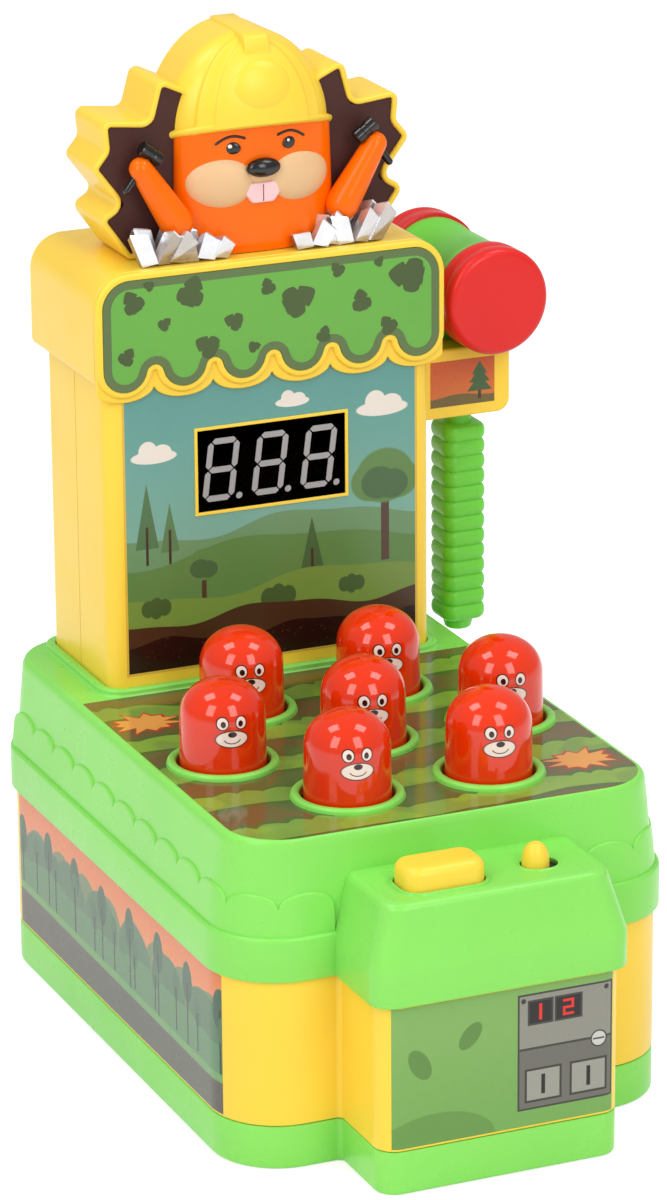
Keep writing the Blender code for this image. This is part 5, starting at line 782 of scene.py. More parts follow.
def cover_rings():
    """Rings from the rim's foot up: rim, ledge, drafted wall, and a quarter ellipse into the deck."""
    rings = []

    def ring(z, side, end=None):
        rings.append(level(body_plan(side, side if end is None else end), z))

    ring(RIM_BOTTOM, RIM_PROUD - 0.0030)
    ring(RIM_BOTTOM, RIM_PROUD - 0.0005)
    for grow, z in arc((RIM_PROUD - 0.0005, RIM_BOTTOM + 0.0005), 0.0005, -90, 0, 3)[1:]:
        ring(z, grow)
    for grow, z in arc((RIM_PROUD - 0.0012, RIM_TOP - 0.0012), 0.0012, 0, 90, 5):
        ring(z, grow)
    ring(RIM_TOP, -LEDGE + 0.0006)
    for grow, z in arc((-LEDGE + 0.0006, RIM_TOP + 0.0006), 0.0006, 270, 180, 3)[1:]:
        ring(z, grow)
    lean = LEDGE + DRAFT
    for share in (0.25, 0.5, 0.75):
        ring(RIM_TOP + (TURN_Z - RIM_TOP) * share, -LEDGE - DRAFT * share)
    for k in range(9):
        angle = math.pi / 2 * k / 8
        ease = 1 - math.cos(angle)
        ring(TURN_Z + DECK_ROUND * math.sin(angle), -lean - (EDGE_SIDE - lean) * ease,
             -lean - (EDGE_FRONT - lean) * ease)
    return rings


cover = loft("cover_wall", cover_rings(), GREEN)
stands_for(cover, "top_cover", slot="green_plastic")

# Deck plate; each mole station has a rounded ring round its hole and a tube below painted dark as shade
PITCH, ROW, MID_ROW = 0.0514, 0.0455, -0.0167
STATIONS = [(-PITCH / 2, MID_ROW - ROW), (PITCH / 2, MID_ROW - ROW), (-PITCH, MID_ROW), (0.0, MID_ROW),
            (PITCH, MID_ROW), (-PITCH / 2, MID_ROW + ROW), (PITCH / 2, MID_ROW + ROW)]
HOLE, RING, RING_ROUND, RING_Z = 0.0158, 0.0190, 0.0012, DECK_TOP + 0.0006
WELL, WELL_WALL, WELL_TOP, WELL_FOOT = 0.0182, 0.0008, DECK_TOP - 0.0021, DECK_TOP - 0.0220
DECK_THICK = 0.0022
flat_sheet("deck_plate", [body_plan(-EDGE_SIDE, -EDGE_FRONT)] + [disc(x, y, RING - 0.0005, 64) for x, y in STATIONS],
           DECK_TOP - DECK_THICK, DECK_TOP, GREEN)
for n, (x, y) in enumerate(STATIONS):
    ring_profile = ([(HOLE + RING_ROUND, DECK_TOP - 0.0020), (HOLE, DECK_TOP - 0.0018), (HOLE, DECK_TOP + 0.0004)]
                    + arc((HOLE + RING_ROUND, RING_Z), RING_ROUND, 180, 90, 5)
                    + arc((RING - RING_ROUND, RING_Z), RING_ROUND, 90, 0, 5) + [(RING, DECK_TOP - 0.0010)])
    at_station = Matrix.Translation((x, y, 0))
    spun("mole_ring_%d" % (n + 1), ring_profile[::-1], 72, GREEN, place=at_station)
    spun("mole_well_%d" % (n + 1), [(WELL, WELL_TOP), (WELL, WELL_FOOT), (WELL + WELL_WALL, WELL_FOOT),
                                    (WELL + WELL_WALL, WELL_TOP)], 64, SHADE_DARK, place=at_station)

# Deck film with its holes, and two bursts printed on it
FILM_TOP, FILM_HOLE, FILM_SIDE = DECK_TOP + 0.0001, 0.0193, 0.0737
deck_outline = rounded(rectangle(FILM_SIDE, -0.0918, 0.0570), [0.0187, 0.0187, 0.0003, 0.0003], 14)
deck_film = flat_sheet("deck_film", [deck_outline] + [disc(x, y, FILM_HOLE, 64) for x, y in STATIONS],
                       DECK_TOP - 0.0003, FILM_TOP, deck_print())
stands_for(deck_film, "deck_label")


def star(cx, cy, radius, points, deep, phase):
    """Tips and hollows in turn round a centre; the reach of each tip varies with a sine."""
    k = np.arange(points * 2)
    reach = np.where(k % 2 == 0, 1.0, deep) * (1 + 0.16 * np.sin(k * 2.3 + phase))
    angle = k * math.pi / points + phase
    return np.column_stack([cx + radius * reach * np.cos(angle) * 1.15, cy + radius * reach * np.sin(angle) * 0.85])


BURST_INKS = [plain_print("burst_red", linear(198, 66, 34), linear(176, 52, 30), 0.08),
              plain_print("burst_yellow", linear(224, 166, 82), linear(214, 140, 66), 0.08)]
for n, (cx, cy, phase) in enumerate(((-0.0610, 0.0300, 0.2), (0.0590, -0.0640, 1.1))):
    for layer, radius in enumerate((0.0125, 0.0108)):
        outline = star(cx, cy, radius, 11, 0.62, phase)
        outline[:, 0] = np.clip(outline[:, 0], -FILM_SIDE + 0.0005, FILM_SIDE - 0.0005)
        flat_sheet("deck_burst_%d_%d" % (n + 1, layer), [outline],
                   FILM_TOP - 0.0001, FILM_TOP + 0.00002 * (layer + 1), BURST_INKS[layer])

# Scalloped band of round arches under the deck's edge
CUSP_Z, RISE, BAND = 0.0918, 0.0046, 0.0008
SCALLOP, SCALLOP_COUNT, SCALLOP_END = 0.0194, 12, 0.1122


def wall_reach(z):
    """How far the drafted wall stands in from the case's side at a height."""
    return LEDGE + DRAFT * (z - RIM_TOP) / (TURN_Z - RIM_TOP)


def wall_point(run, z, lift):
    """Spots on the drafted wall: straight along a side, round the front corner's arc, then along the front."""
    out = lift - wall_reach(z)
    cx, cy = BODY_HALF - BODY_CORNER, BODY_FRONT + BODY_CORNER
    straight, bend = SCALLOP_END - cy, BODY_CORNER * math.pi / 2
    turn = np.clip((run - straight) / BODY_CORNER, 0, math.pi / 2)
    x = cx + (BODY_CORNER + out) * np.cos(turn) - np.maximum(0, run - straight - bend)
    y = np.where(run < straight, SCALLOP_END - run, cy - (BODY_CORNER + out) * np.sin(turn))
    return np.stack([x, y, z + 0 * run], -1)


def scallop_strip(name, side):
    """A row of arches: height over the foot line is a half ellipse per pitch, with a rounded raised edge."""
    s = np.linspace(0, SCALLOP_COUNT, SCALLOP_COUNT * 24 + 1)
    u = (s % 1.0) * 2 - 1
    top = CUSP_Z + RISE * np.sqrt(np.maximum(0, 1 - u * u))
    rows = []
    for share, lift in ((0.0, BAND), (0.6, BAND), (0.9, BAND), (0.97, BAND * 0.92), (0.99, BAND * 0.7),
                        (1.0, BAND * 0.3), (1.003, -BAND)):
        z = RIM_TOP - 0.0005 + (top - RIM_TOP + 0.0005) * share
        rows.append(wall_point(s * SCALLOP, z, lift) * [side, 1, 1])
    add_piece(name, rows, grid_faces(len(rows), len(s), False, side < 0), GREEN, sharp=40)


scallop_strip("scallops_left", -1)
scallop_strip("scallops_right", 1)

# Console hood with its start bar lip and slide slot
HOOD_TOP, HOOD_ROUND, HOOD_PROUD, HOOD_BACK = 0.1010, 0.0030, 0.0025, -0.0870
HOOD_BEND, LEAN_SIDE, LEAN_FRONT = 0.0794, 0.0052, 0.0034
START_X, CONTROL_Y, START_HALF, START_DEEP, START_CORNER, GAP = -0.0158, -0.1134, 0.0142, 0.00825, 0.0055, 0.0005
KNOB_X, KNOB_TRAVEL, KNOB_RADIUS = 0.0186, 0.0025, 0.0046


def hood_plan(pull, lean=0.0):
    """The hood's plan at one height: pulled in evenly, and leaned in by its own shares at sides and front."""
    half = CONSOLE_HALF + HOOD_PROUD - pull - LEAN_SIDE * lean
    front = CONSOLE_FRONT - HOOD_PROUD + pull + LEAN_FRONT * lean
    return rounded(rectangle(half, front, HOOD_BACK), [CONSOLE_CORNER, CONSOLE_CORNER, 0.0002, 0.0002], 10)


HOOD_TURN = HOOD_TOP - HOOD_ROUND
hood_rings = [level(hood_plan(0.0030), RIM_BOTTOM), level(hood_plan(0.0005), RIM_BOTTOM)]
hood_rings += [level(hood_plan(-g), z) for g, z in arc((-0.0005, RIM_BOTTOM + 0.0005), 0.0005, -90, 0, 3)[1:]]
hood_rings += [level(hood_plan(0.0), HOOD_BEND + dz) for dz in (-0.006, -0.0012)]
hood_rings += [level(hood_plan(0.0, lean), HOOD_BEND + (HOOD_TURN - HOOD_BEND) * s)
               for s, lean in ((0.0, 0.012), (0.08, 0.08), (0.4, 0.4), (0.7, 0.7))]
for k in range(9):
    angle = math.pi / 2 * k / 8
    hood_rings.append(level(hood_plan(HOOD_ROUND * (1 - math.cos(angle)), 1.0),
                            HOOD_TURN + HOOD_ROUND * math.sin(angle)))
hood = loft("console_hood", hood_rings, GREEN)
stands_for(hood, "top_cover", slot="green_plastic")


def control_plan(left, right, deep, corner):
    """A rounded rectangle about the controls' middle line."""
    return rounded([(left, CONTROL_Y - deep), (right, CONTROL_Y - deep), (right, CONTROL_Y + deep),
                    (left, CONTROL_Y + deep)], corner, 8)


def start_plan(grow):
    """The start bar's plan, grown evenly."""
    half = START_HALF + grow
    return control_plan(START_X - half, START_X + half, START_DEEP + grow, START_CORNER + grow)


def slot_plan(half):
    """The knob's slot: round ends, longer than wide by the knob's travel."""
    return control_plan(KNOB_X - half, KNOB_X + KNOB_TRAVEL + half, half, half * 0.998)


START_OPENING, SLOT_OPENING, LIP = start_plan(GAP), slot_plan(KNOB_RADIUS + GAP), 0.0003
flat_sheet("hood_plate", [hood_plan(HOOD_ROUND, 1.0), START_OPENING, SLOT_OPENING],
           HOOD_TOP - 0.0023, HOOD_TOP, GREEN)
carry("start_lip", START_OPENING,
      [(0.0019, HOOD_TOP - 0.0004), (0.0014, HOOD_TOP + 0.0001), (0.0013, HOOD_TOP + 0.0004)]
      + arc((0.0010, HOOD_TOP + 0.0004), LIP, 0, 90, 3) + arc((LIP, HOOD_TOP + 0.0004), LIP, 90, 180, 3)
      + [(0.0, HOOD_TOP - 0.0020)], GREEN, caps=(False, False))
carry("slot_lip", SLOT_OPENING,
      [(0.0012, HOOD_TOP - 0.0002), (0.0008, HOOD_TOP + 0.0002)] + arc((LIP, HOOD_TOP + 0.0001), LIP, 60, 180, 3)
      + [(0.0, HOOD_TOP - 0.0012), (-0.0020, HOOD_TOP - 0.0012)], GREEN, caps=(False, False))
# The knob slot's floor is painted dark as shade.
flat_sheet("slot_floor", [SLOT_OPENING], HOOD_TOP - 0.0016, HOOD_TOP - 0.0011, SHADE_DARK)

# Start bar and slide knob
START_RISE, START_EDGE = 0.0082, 0.0035
start_rings = [level(start_plan(0.0), HOOD_TOP - 0.0025)]
top_z = HOOD_TOP + START_RISE
for k in range(8):
    angle = math.pi / 2 * k / 8
    start_rings.append(level(start_plan(-START_EDGE * (1 - math.cos(angle)) * 0.98),
                             top_z - START_EDGE * (1 - math.sin(angle))))
for shrink, drop in ((0.0048, 0.00003), (0.0054, 0.0)):
    start_rings.append(level(start_plan(-shrink), top_z - drop))
start_bar = loft("start_bar", start_rings, YELLOW, "start", (True, True), 50)
stands_for(start_bar, "start_button", slot="yellow_plastic")

KNOB_RISE, KNOB_DOME, KNOB_STEM = 0.0080, 0.0065, 0.0022
knob_profile = [(KNOB_RADIUS * math.sin(a) ** 0.9, HOOD_TOP + KNOB_RISE - KNOB_DOME * (1 - math.cos(a)))
                for a in math.pi / 2 * np.linspace(0, 1, 16)]
knob_profile += [(KNOB_RADIUS, HOOD_TOP - 0.0008), (KNOB_STEM, HOOD_TOP - 0.0008), (KNOB_STEM, HOOD_TOP - 0.0060)]
knob = spun("slide_knob", knob_profile[::-1], 48, YELLOW, "switch", Matrix.Translation((KNOB_X, CONTROL_Y, 0)))
stands_for(knob, "switch_knob", slot="yellow_plastic")

# Mole caps: turned domes with a small face on the front
MOLE_R, MOLE_TAPER, MOLE_TOP, MOLE_SHOULDER = 0.0145, 0.0003, 0.1448, 0.1318
FLANGE_R, FLANGE_THICK, CAP_BORE = 0.0172, 0.0016, 0.0140
MOLE_RED = mole_finish()


def mole_profile():
    """Cap outline from the crown down: a near half ball, a slightly drafted wall, a flange under the deck."""
    rise = MOLE_TOP - MOLE_SHOULDER
    dome = [(MOLE_R * math.sin(math.pi / 2 * s), MOLE_SHOULDER + rise * math.cos(math.pi / 2 * s) ** 0.94)
            for s in np.linspace(0, 1, 22)]
    foot = DECK_TOP - 0.0026
    wall = [(MOLE_R + MOLE_TAPER * s, MOLE_SHOULDER + (foot - MOLE_SHOULDER) * s) for s in (0.1, 0.4, 0.7, 1.0)]
    return dome + wall + [(FLANGE_R, foot), (FLANGE_R, foot - FLANGE_THICK), (CAP_BORE, foot - FLANGE_THICK)]


def mole_cap(number, x, y):
    """The profile spun about the station; its map holds the place across the front, and the height, in mm."""
    profile = np.asarray(mole_profile()[::-1])
    sides = 96
    angle = np.linspace(-math.pi, math.pi, sides + 1)
    points = np.stack([x + profile[:, :1] * np.sin(angle), y - profile[:, :1] * np.cos(angle),
                       np.broadcast_to(profile[:, 1:], (len(profile), sides + 1))], -1)
    maps = np.stack([points[..., 0] - x, points[..., 2] - MOLE_SHOULDER], -1) * 1000
    behind = np.abs(angle) > math.pi / 2
    maps[:, behind, 0] = 50
    body = "mole_%d" % number
    cap = add_piece("mole_cap_%d" % number, points, grid_faces(len(profile), sides + 1, False), MOLE_RED, body,
                    maps=maps)
    stands_for(cap, body, slot="mole_red")


for n, (x, y) in enumerate(STATIONS):
    mole_cap(n + 1, x, y)


# Tower: two shells meeting at a seam
TOWER_HALF, TOWER_FRONT, TOWER_BACK, TOWER_CORNER = 0.0612, 0.0613, 0.1210, 0.0060
TOWER_LOW, TOWER_HIGH = DECK_TOP + 0.0003, 0.2256
SEAM_Y, SEAM_GAP, SEAM_DEPTH = (TOWER_FRONT + TOWER_BACK) / 2, 0.0002, 0.0020


def tower_plan(grow):
    """The tower's rounded rectangle, grown evenly."""
    return rounded(rectangle(TOWER_HALF + grow, TOWER_FRONT - grow, TOWER_BACK + grow), TOWER_CORNER + grow, 10)


def half_shell(name, node, front):
    """One tower half: the plan cut at the seam in order of angle, its ends turned in along the seam."""
    side = -1 if front else 1
    plan = tower_plan(0.0)
    keep = plan[(plan[:, 1] - SEAM_Y) * side > 0]
    keep = keep[np.argsort(np.unwrap(np.arctan2(keep[:, 1] - SEAM_Y, keep[:, 0])))]
    seam = SEAM_Y + side * SEAM_GAP
    ends = np.array([[side * TOWER_HALF, seam], [-side * TOWER_HALF, seam]])
    inner = ends * [(TOWER_HALF - SEAM_DEPTH) / TOWER_HALF, 1.0]
    line = np.concatenate([inner[:1], ends[:1], keep, ends[1:], inner[1:]])
    rows = [level(line, z) for z in (TOWER_LOW, TOWER_HIGH)]
    stands_for(add_piece(name, rows, grid_faces(2, len(line), False), YELLOW), node, slot="yellow_plastic")


half_shell("tower_front_shell", "tower_front", True)
half_shell("tower_back_shell", "tower_back", False)
flat_sheet("tower_seam_floor", [tower_plan(-0.0012)], TOWER_LOW, TOWER_HIGH, YELLOW)
carry("tower_collar", tower_plan(0.0003),
      [(0.0046, DECK_TOP - 0.0004), (0.0036, DECK_TOP + 0.0003), (0.0034, DECK_TOP + 0.0007)]
      + arc((0.0026, DECK_TOP + 0.0014), 0.0008, 0, 90, 4) + arc((0.0006, DECK_TOP + 0.0016), 0.0006, 90, 180, 3)
      + [(0.0, DECK_TOP)], GREEN, caps=(False, False))

# Display: bezel frame, dark window and slanted seven-segment digits
PANEL_HALF, PANEL_LOW, PANEL_HIGH = 0.0554, 0.1203, 0.2240
BEZEL_HALF, BEZEL_LOW, BEZEL_HIGH, BEZEL_WALL = 0.0289, 0.1756, 0.2073, 0.0011
FACE_Y = TOWER_FRONT - 0.0001
BEZEL = rectangle(BEZEL_HALF, BEZEL_LOW, BEZEL_HIGH)
panel_film = flat_sheet("panel_film", [rectangle(PANEL_HALF, PANEL_LOW, PANEL_HIGH), BEZEL[::-1]],
                        TOWER_FRONT - 0.0001, TOWER_FRONT + 0.0004, panel_print(), axis="y")
stands_for(panel_film, "panel_label")
WINDOW = moulded("window_black", linear(60, 62, 64), 0.16, 0.000005, 0.9, 0.5)
UNLIT = moulded("unlit_segments", linear(158, 157, 156), 0.4, 0.000005)
carry("display_bezel", BEZEL,
      [(-BEZEL_WALL, FACE_Y + 0.0004), (-BEZEL_WALL, FACE_Y - 0.0003), (-BEZEL_WALL + 0.0001, FACE_Y - 0.0004),
       (-0.0001, FACE_Y - 0.0004), (0.0, FACE_Y - 0.0003), (0.0, FACE_Y + 0.0005)], YELLOW, axis="y",
      caps=(False, False))
window = carry("display_window", rectangle(BEZEL_HALF - BEZEL_WALL, BEZEL_LOW + BEZEL_WALL, BEZEL_HIGH - BEZEL_WALL),
               [(0.0, FACE_Y + 0.0006), (0.0, FACE_Y + 0.0001)], WINDOW, axis="y")
stands_for(window, "display_module", slot="display_black")

SEG_W, SEG_GAP, DIGIT_W, DIGIT_H, DIGIT_LEAN = 0.0021, 0.00035, 0.0118, 0.0226, 0.13
DIGIT_PITCH, DIGIT_SHIFT, POINT_OUT = 0.0184, -0.0006, 0.0031


def bar(x0, z0, x1, z1, half):
    """A six-cornered segment between two points, pointed at both ends."""
    a, b = np.array([x0, z0]), np.array([x1, z1])
    along = (b - a) / np.linalg.norm(b - a)
    side = np.array([-along[1], along[0]]) * half
    tip = along * half
    return np.array([a, a + tip - side, b - tip - side, b, b - tip + side, a + tip + side])


def digit_parts(cx, cz):
    """Seven slanted bars and a round point."""
    w, h, g = DIGIT_W / 2 - SEG_W / 2, DIGIT_H / 2 - SEG_W / 2, SEG_GAP
    lines = [(-w + g, h, w - g, h), (-w + g, 0, w - g, 0), (-w + g, -h, w - g, -h), (-w, g, -w, h - g),
             (w, g, w, h - g), (-w, -h + g, -w, -g), (w, -h + g, w, -g)]
    shapes = [bar(*line, SEG_W / 2) for line in lines] + [disc(w + POINT_OUT, -h, SEG_W * 0.55, 16)[::-1]]
    return [shape + np.column_stack([DIGIT_LEAN * shape[:, 1] + cx, np.full(len(shape), cz)]) for shape in shapes]


digit_lines = []
for n in (-1, 0, 1):
    digit_lines += digit_parts(n * DIGIT_PITCH + DIGIT_SHIFT, (BEZEL_LOW + BEZEL_HIGH) / 2)
flat_sheet("score_digits", digit_lines, FACE_Y - 0.0001, FACE_Y + 0.0002, UNLIT, axis="y")

# Canopy: lobed two-layer front plate and a round-shouldered box
CANOPY_HALF, CANOPY_FRONT, CANOPY_BACK = 0.0650, 0.0583, 0.1245
CANOPY_LOW, CANOPY_TOP, CANOPY_CORNER, FOOT_CORNER = 0.2259, 0.2657, 0.0122, 0.0030
LOBES, MARGIN, LOBE_DEPTH, NOTCH_R = 6, 0.0024, 0.0089, 0.0033
LIP_LOW, LIP_HEIGHT, FILM_LOW = CANOPY_LOW - 0.0060, 0.0058, CANOPY_LOW - 0.0041 + MARGIN
FILM_HALF = CANOPY_HALF - MARGIN
LOBE_PITCH = CANOPY_HALF * 0.337
LOBE_X = [LOBE_PITCH * (i - (LOBES - 1) / 2) for i in range(LOBES)]
SWEEP = math.degrees(2 * math.atan(2 * LOBE_DEPTH / LOBE_PITCH))
LOBE_R = LOBE_PITCH / 2 / math.sin(math.radians(SWEEP)) - NOTCH_R
END_R = FILM_HALF - LOBE_X[-1]
PLATE_BACK = TOWER_FRONT - 0.0003
STEP_Y = (CANOPY_FRONT + PLATE_BACK) / 2


def shoulders(grow):
    """The canopy's two round top corners, from the right one's foot over to the left one's."""
    half, top, radius = FILM_HALF + grow, CANOPY_TOP - MARGIN + grow, CANOPY_CORNER - MARGIN + grow
    right = arc((half - radius, top - radius), radius, 0, 90, 14)
    return right + [(-x, z) for x, z in reversed(right)]


def lobed(grow):
    """Round shoulders, then lobe arcs and notch arcs that meet on common tangents, seen from the front."""
    points = shoulders(grow)
    for i, x in enumerate(LOBE_X):
        low, high = -90 - (SWEEP if i else 0), -90 + (SWEEP if i < LOBES - 1 else 0)
        if i == 0:
            points += arc((x, FILM_LOW + END_R), END_R + grow, 180, 270, 8)
        points += arc((x, FILM_LOW + LOBE_R), LOBE_R + grow, low, high, 14)[1 if i == 0 else 0:]
        if i == LOBES - 1:
            points += arc((x, FILM_LOW + END_R), END_R + grow, 270, 360, 8)[1:]
        else:
            notch = x + LOBE_PITCH / 2, FILM_LOW + LOBE_DEPTH - NOTCH_R
            points += arc(notch, NOTCH_R - grow, 90 + SWEEP, 90 - SWEEP, 8)[1:-1]
    return np.array(points)


def lip_line(inset):
    """Half-ellipse arcs meeting in cusps, under the same shoulders."""
    points = shoulders(MARGIN - inset)
    steps = 24
    for k in range(1, LOBES * steps):
        u = abs((k / steps % 1.0) * 2 - 1)
        x = LOBE_X[0] - LOBE_PITCH / 2 + LOBE_PITCH * k / steps
        if abs(x) < CANOPY_HALF - inset:
            points.append((x, LIP_LOW + inset + LIP_HEIGHT * (1 - math.sqrt(max(0.0, 1 - u * u * 0.96)))))
    return np.array(points)


EDGE = 0.0011
plate_front = carry("canopy_front_layer", lobed(MARGIN),
                    [(-0.0004, STEP_Y + 0.0002), (0.0, STEP_Y)]
                    + swapped(arc((CANOPY_FRONT + EDGE, -EDGE), EDGE, 90, 180, 6))
                    + [(0.0003 - MARGIN, CANOPY_FRONT), (0.0001 - MARGIN, CANOPY_FRONT + 0.0002)]
                    + [(-MARGIN, CANOPY_FRONT + 0.0005)], YELLOW, axis="y")
stands_for(plate_front, "canopy_plate", slot="yellow_plastic")
plate_back = carry("canopy_back_layer", lip_line(0.0001),
                   [(0.0, PLATE_BACK)] + swapped(arc((STEP_Y + EDGE / 2, -EDGE / 2), EDGE / 2, 90, 180, 4))
                   + [(-0.0006, STEP_Y)], YELLOW, axis="y")
stands_for(plate_back, "canopy_plate")

# Canopy film: an olive border, a green field and plain leaves
BORDER = 0.0029
canopy_border = flat_sheet("canopy_film", [lobed(0.0)], CANOPY_FRONT - 0.0001, CANOPY_FRONT + 0.0004,
                           plain_print("canopy_border", linear(92, 116, 66), linear(84, 104, 60)), axis="y")
stands_for(canopy_border, "canopy_label")
flat_sheet("canopy_field", [lobed(-BORDER)], CANOPY_FRONT - 0.00013, CANOPY_FRONT + 0.0002,
           plain_print("canopy_green", linear(104, 172, 66), linear(94, 160, 60)), axis="y")


def leaf(cx, cz, size, turn):
    """A heart-shaped blade: width swells below the middle and is notched between its side veins."""
    t = np.linspace(0, TAU, 97)[:-1]
    notch = 1 - 0.34 * np.maximum(0, np.cos(t * 5)) ** 10 * (np.abs(np.sin(t)) > 0.3)
    wide = 0.44 * np.sin(t) * (1 - 0.28 * np.cos(t)) * notch
    tall = 0.5 * np.cos(t) - 0.10 * np.abs(np.sin(t))
    c, n = math.cos(math.radians(turn)), math.sin(math.radians(turn))
    return np.column_stack([cx + size * (wide * c - tall * n), cz + size * (wide * n + tall * c)])


LEAVES = [(-0.0520, 0.2560, 0.0085, 30), (-0.0400, 0.2470, 0.0050, -50), (-0.0300, 0.2575, 0.0110, -20),
          (-0.0150, 0.2450, 0.0070, 70), (-0.0020, 0.2560, 0.0060, 15), (0.0100, 0.2500, 0.0125, -65),
          (0.0240, 0.2590, 0.0055, 40), (0.0330, 0.2470, 0.0080, 10), (0.0500, 0.2540, 0.0135, 80),
          (-0.0540, 0.2370, 0.0065, -35), (-0.0250, 0.2375, 0.0090, 60), (0.0190, 0.2365, 0.0060, -15),
          (0.0430, 0.2370, 0.0070, 35), (-0.0070, 0.2350, 0.0045, -80), (-0.0460, 0.2610, 0.0040, 65),
          (0.0400, 0.2600, 0.0038, -40)]
flat_sheet("canopy_leaves", [leaf(*spec) for spec in LEAVES], CANOPY_FRONT - 0.00016, CANOPY_FRONT + 0.0001,
           plain_print("leaf_olive", linear(72, 92, 42), linear(58, 74, 36)), axis="y")


ROUND = 0.0022
CANOPY_PLAN = rounded(rectangle(CANOPY_HALF, CANOPY_LOW, CANOPY_TOP),
                      [FOOT_CORNER, FOOT_CORNER, CANOPY_CORNER, CANOPY_CORNER], 14)
canopy = carry("canopy_body", CANOPY_PLAN,
               [(-0.003, TOWER_FRONT), (-0.0004, TOWER_FRONT), (0.0, TOWER_FRONT + 0.0004)]
               + swapped(arc((CANOPY_BACK - ROUND, -ROUND), ROUND, 90, 0, 6))
               + [(-0.0060, CANOPY_BACK)], YELLOW, axis="y")
stands_for(canopy, "canopy_box", slot="yellow_plastic")

# Crown: starburst shell with a round rim, brown board inside
CROWN_FOOT = CANOPY_TOP + 0.0003
CROWN_FRONT, CROWN_BACK, CROWN_RIM, BURST_HALF, BURST_HIGH = 0.0748, 0.1030, 0.0020, 0.0566, 0.065
BURST = [(0.80, 0.0), (0.955, 0.190), (0.815, 0.262), (1.0, 0.473), (0.920, 0.558), (0.934, 0.694), (0.648, 0.666),
         (0.580, 0.883), (0.455, 0.833), (0.380, 0.770)]


def burst_plan(grow, corner):
    """The ray tips and notches of the right half, mirrored, grown along the outline's normals and rounded."""
    right = [(BURST_HALF * u, CROWN_FOOT + CROWN_RIM + BURST_HIGH * v) for u, v in BURST]
    points = np.array(right + [(-x, z) for x, z in reversed(right)])
    return rounded(points + outward(points) * grow, corner, 5)


shell = carry("crown_burst", burst_plan(CROWN_RIM, 0.0030),
              [(g - CROWN_RIM, y) for g, y in [(0.0, CROWN_FRONT + 0.0034), (0.0, CROWN_FRONT + 0.0008)]
               + swapped(arc((CROWN_FRONT + 0.0009, 0.0009), 0.0009, 270, 180, 5))
               + swapped(arc((CROWN_FRONT + 0.0009, 0.0011), 0.0009, 180, 90, 5))
               + [(CROWN_RIM, CROWN_BACK - 0.0030)]
               + swapped(arc((CROWN_BACK - 0.0016, CROWN_RIM - 0.0016), 0.0016, 90, 0, 5))
               + [(-0.0010, CROWN_BACK)]], YELLOW, axis="y", caps=(False, False))
stands_for(shell, "crown_shell", slot="yellow_plastic")
flat_sheet("crown_back_plate", [burst_plan(CROWN_RIM - 0.0018, 0.0024)], CROWN_BACK - 0.0010, CROWN_BACK - 0.00004,
           YELLOW, axis="y")
BOARD_Y = CROWN_FRONT + 0.0012
crown_board = flat_sheet("crown_field", [burst_plan(0.0004, 0.0018)], BOARD_Y, BOARD_Y + 0.0020, BROWN, axis="y")
stands_for(crown_board, "crown_board", slot="crown_brown")

# Crown figure: body column, cheeks, nose, teeth, arms, small mallets, eyes
FACE_BACK = BOARD_Y - 0.0003
BODY_DEPTH, BODY_FOOT, BODY_HEAD = 0.0088, 0.0300, 0.0288
HELMET_BASE, TILT = CROWN_FOOT + 0.0406, 0.34


def brim_level(y):
    """Height of the brim's underside, which tilts up towards the front."""
    return HELMET_BASE + TILT * (BOARD_Y - y)


def body_skin():
    """Half-round column narrowing upwards: angle round the front against height, up to the tilted brim."""
    angle = np.linspace(0, math.pi, 49)[None, :]
    share = np.concatenate([[0.0, 0.012], np.linspace(0.05, 1.02, 14)])[:, None]
    half = BODY_FOOT + (BODY_HEAD - BODY_FOOT) * share
    bulge = 1 - 0.04 * (1 - np.clip(share * 12, 0, 1))
    y = FACE_BACK - BODY_DEPTH * np.sin(angle) * bulge
    z = CROWN_FOOT + (brim_level(y) - CROWN_FOOT) * share
    return np.stack([-half * np.cos(angle) * bulge, y, z], -1)


skin = body_skin()
body = add_piece("figure_column", skin, grid_faces(len(skin), skin.shape[1], False), ORANGE)
stands_for(body, "figure_body", slot="figure_orange")


def ball(name, centre, radii, material, turn=None, sides=48, rows=28):
    """An ellipsoid grid: latitude against longitude, its radii along x, y and z, then turned and moved."""
    lat = np.linspace(-math.pi / 2, math.pi / 2, rows)[:, None]
    lon = whole_turn(sides)[None, :]
    c = np.cos(lat)
    unit = np.stack([c * np.cos(lon), c * np.sin(lon), np.broadcast_to(np.sin(lat), (rows, sides))], -1)
    points = unit * np.asarray(radii)
    if turn is not None:
        points = points @ np.array(turn.to_3x3()).T
    return add_piece(name, points + np.asarray(centre), grid_faces(rows, sides), material)


def body_front(x):
    """The body column's front surface at a distance from the middle."""
    return FACE_BACK - BODY_DEPTH * math.sqrt(max(0.0, 1 - (x / BODY_HEAD) ** 2))


HANDS = ((-1, "left"), (1, "right"))
MUZZLE_Z, MUZZLE_SINK, CHEEK_X = CROWN_FOOT + 0.0250, 0.0022, 0.0148
for side, word in HANDS:
    pad = ball("cheek_" + word, (side * CHEEK_X, body_front(CHEEK_X) + MUZZLE_SINK, MUZZLE_Z),
               (0.0122, 0.0044, 0.0096), BEIGE, Matrix.Rotation(side * math.radians(14), 4, "Z"))
    stands_for(pad, "figure_muzzle")
bridge = ball("cheek_bridge", (0, body_front(0) + MUZZLE_SINK, MUZZLE_Z + 0.0029), (0.0098, 0.0035, 0.0048), BEIGE)
stands_for(bridge, "figure_muzzle", slot="muzzle_beige")
nose = ball("nose_tip", (0, body_front(0) - 0.0015, CROWN_FOOT + 0.0299), (0.0062, 0.0030, 0.0034), BLACK)
stands_for(nose, "figure_nose", slot="black_gloss")
TOOTH_Z, TOOTH_W, TOOTH_H = CROWN_FOOT + 0.0209, 0.0064, 0.0070
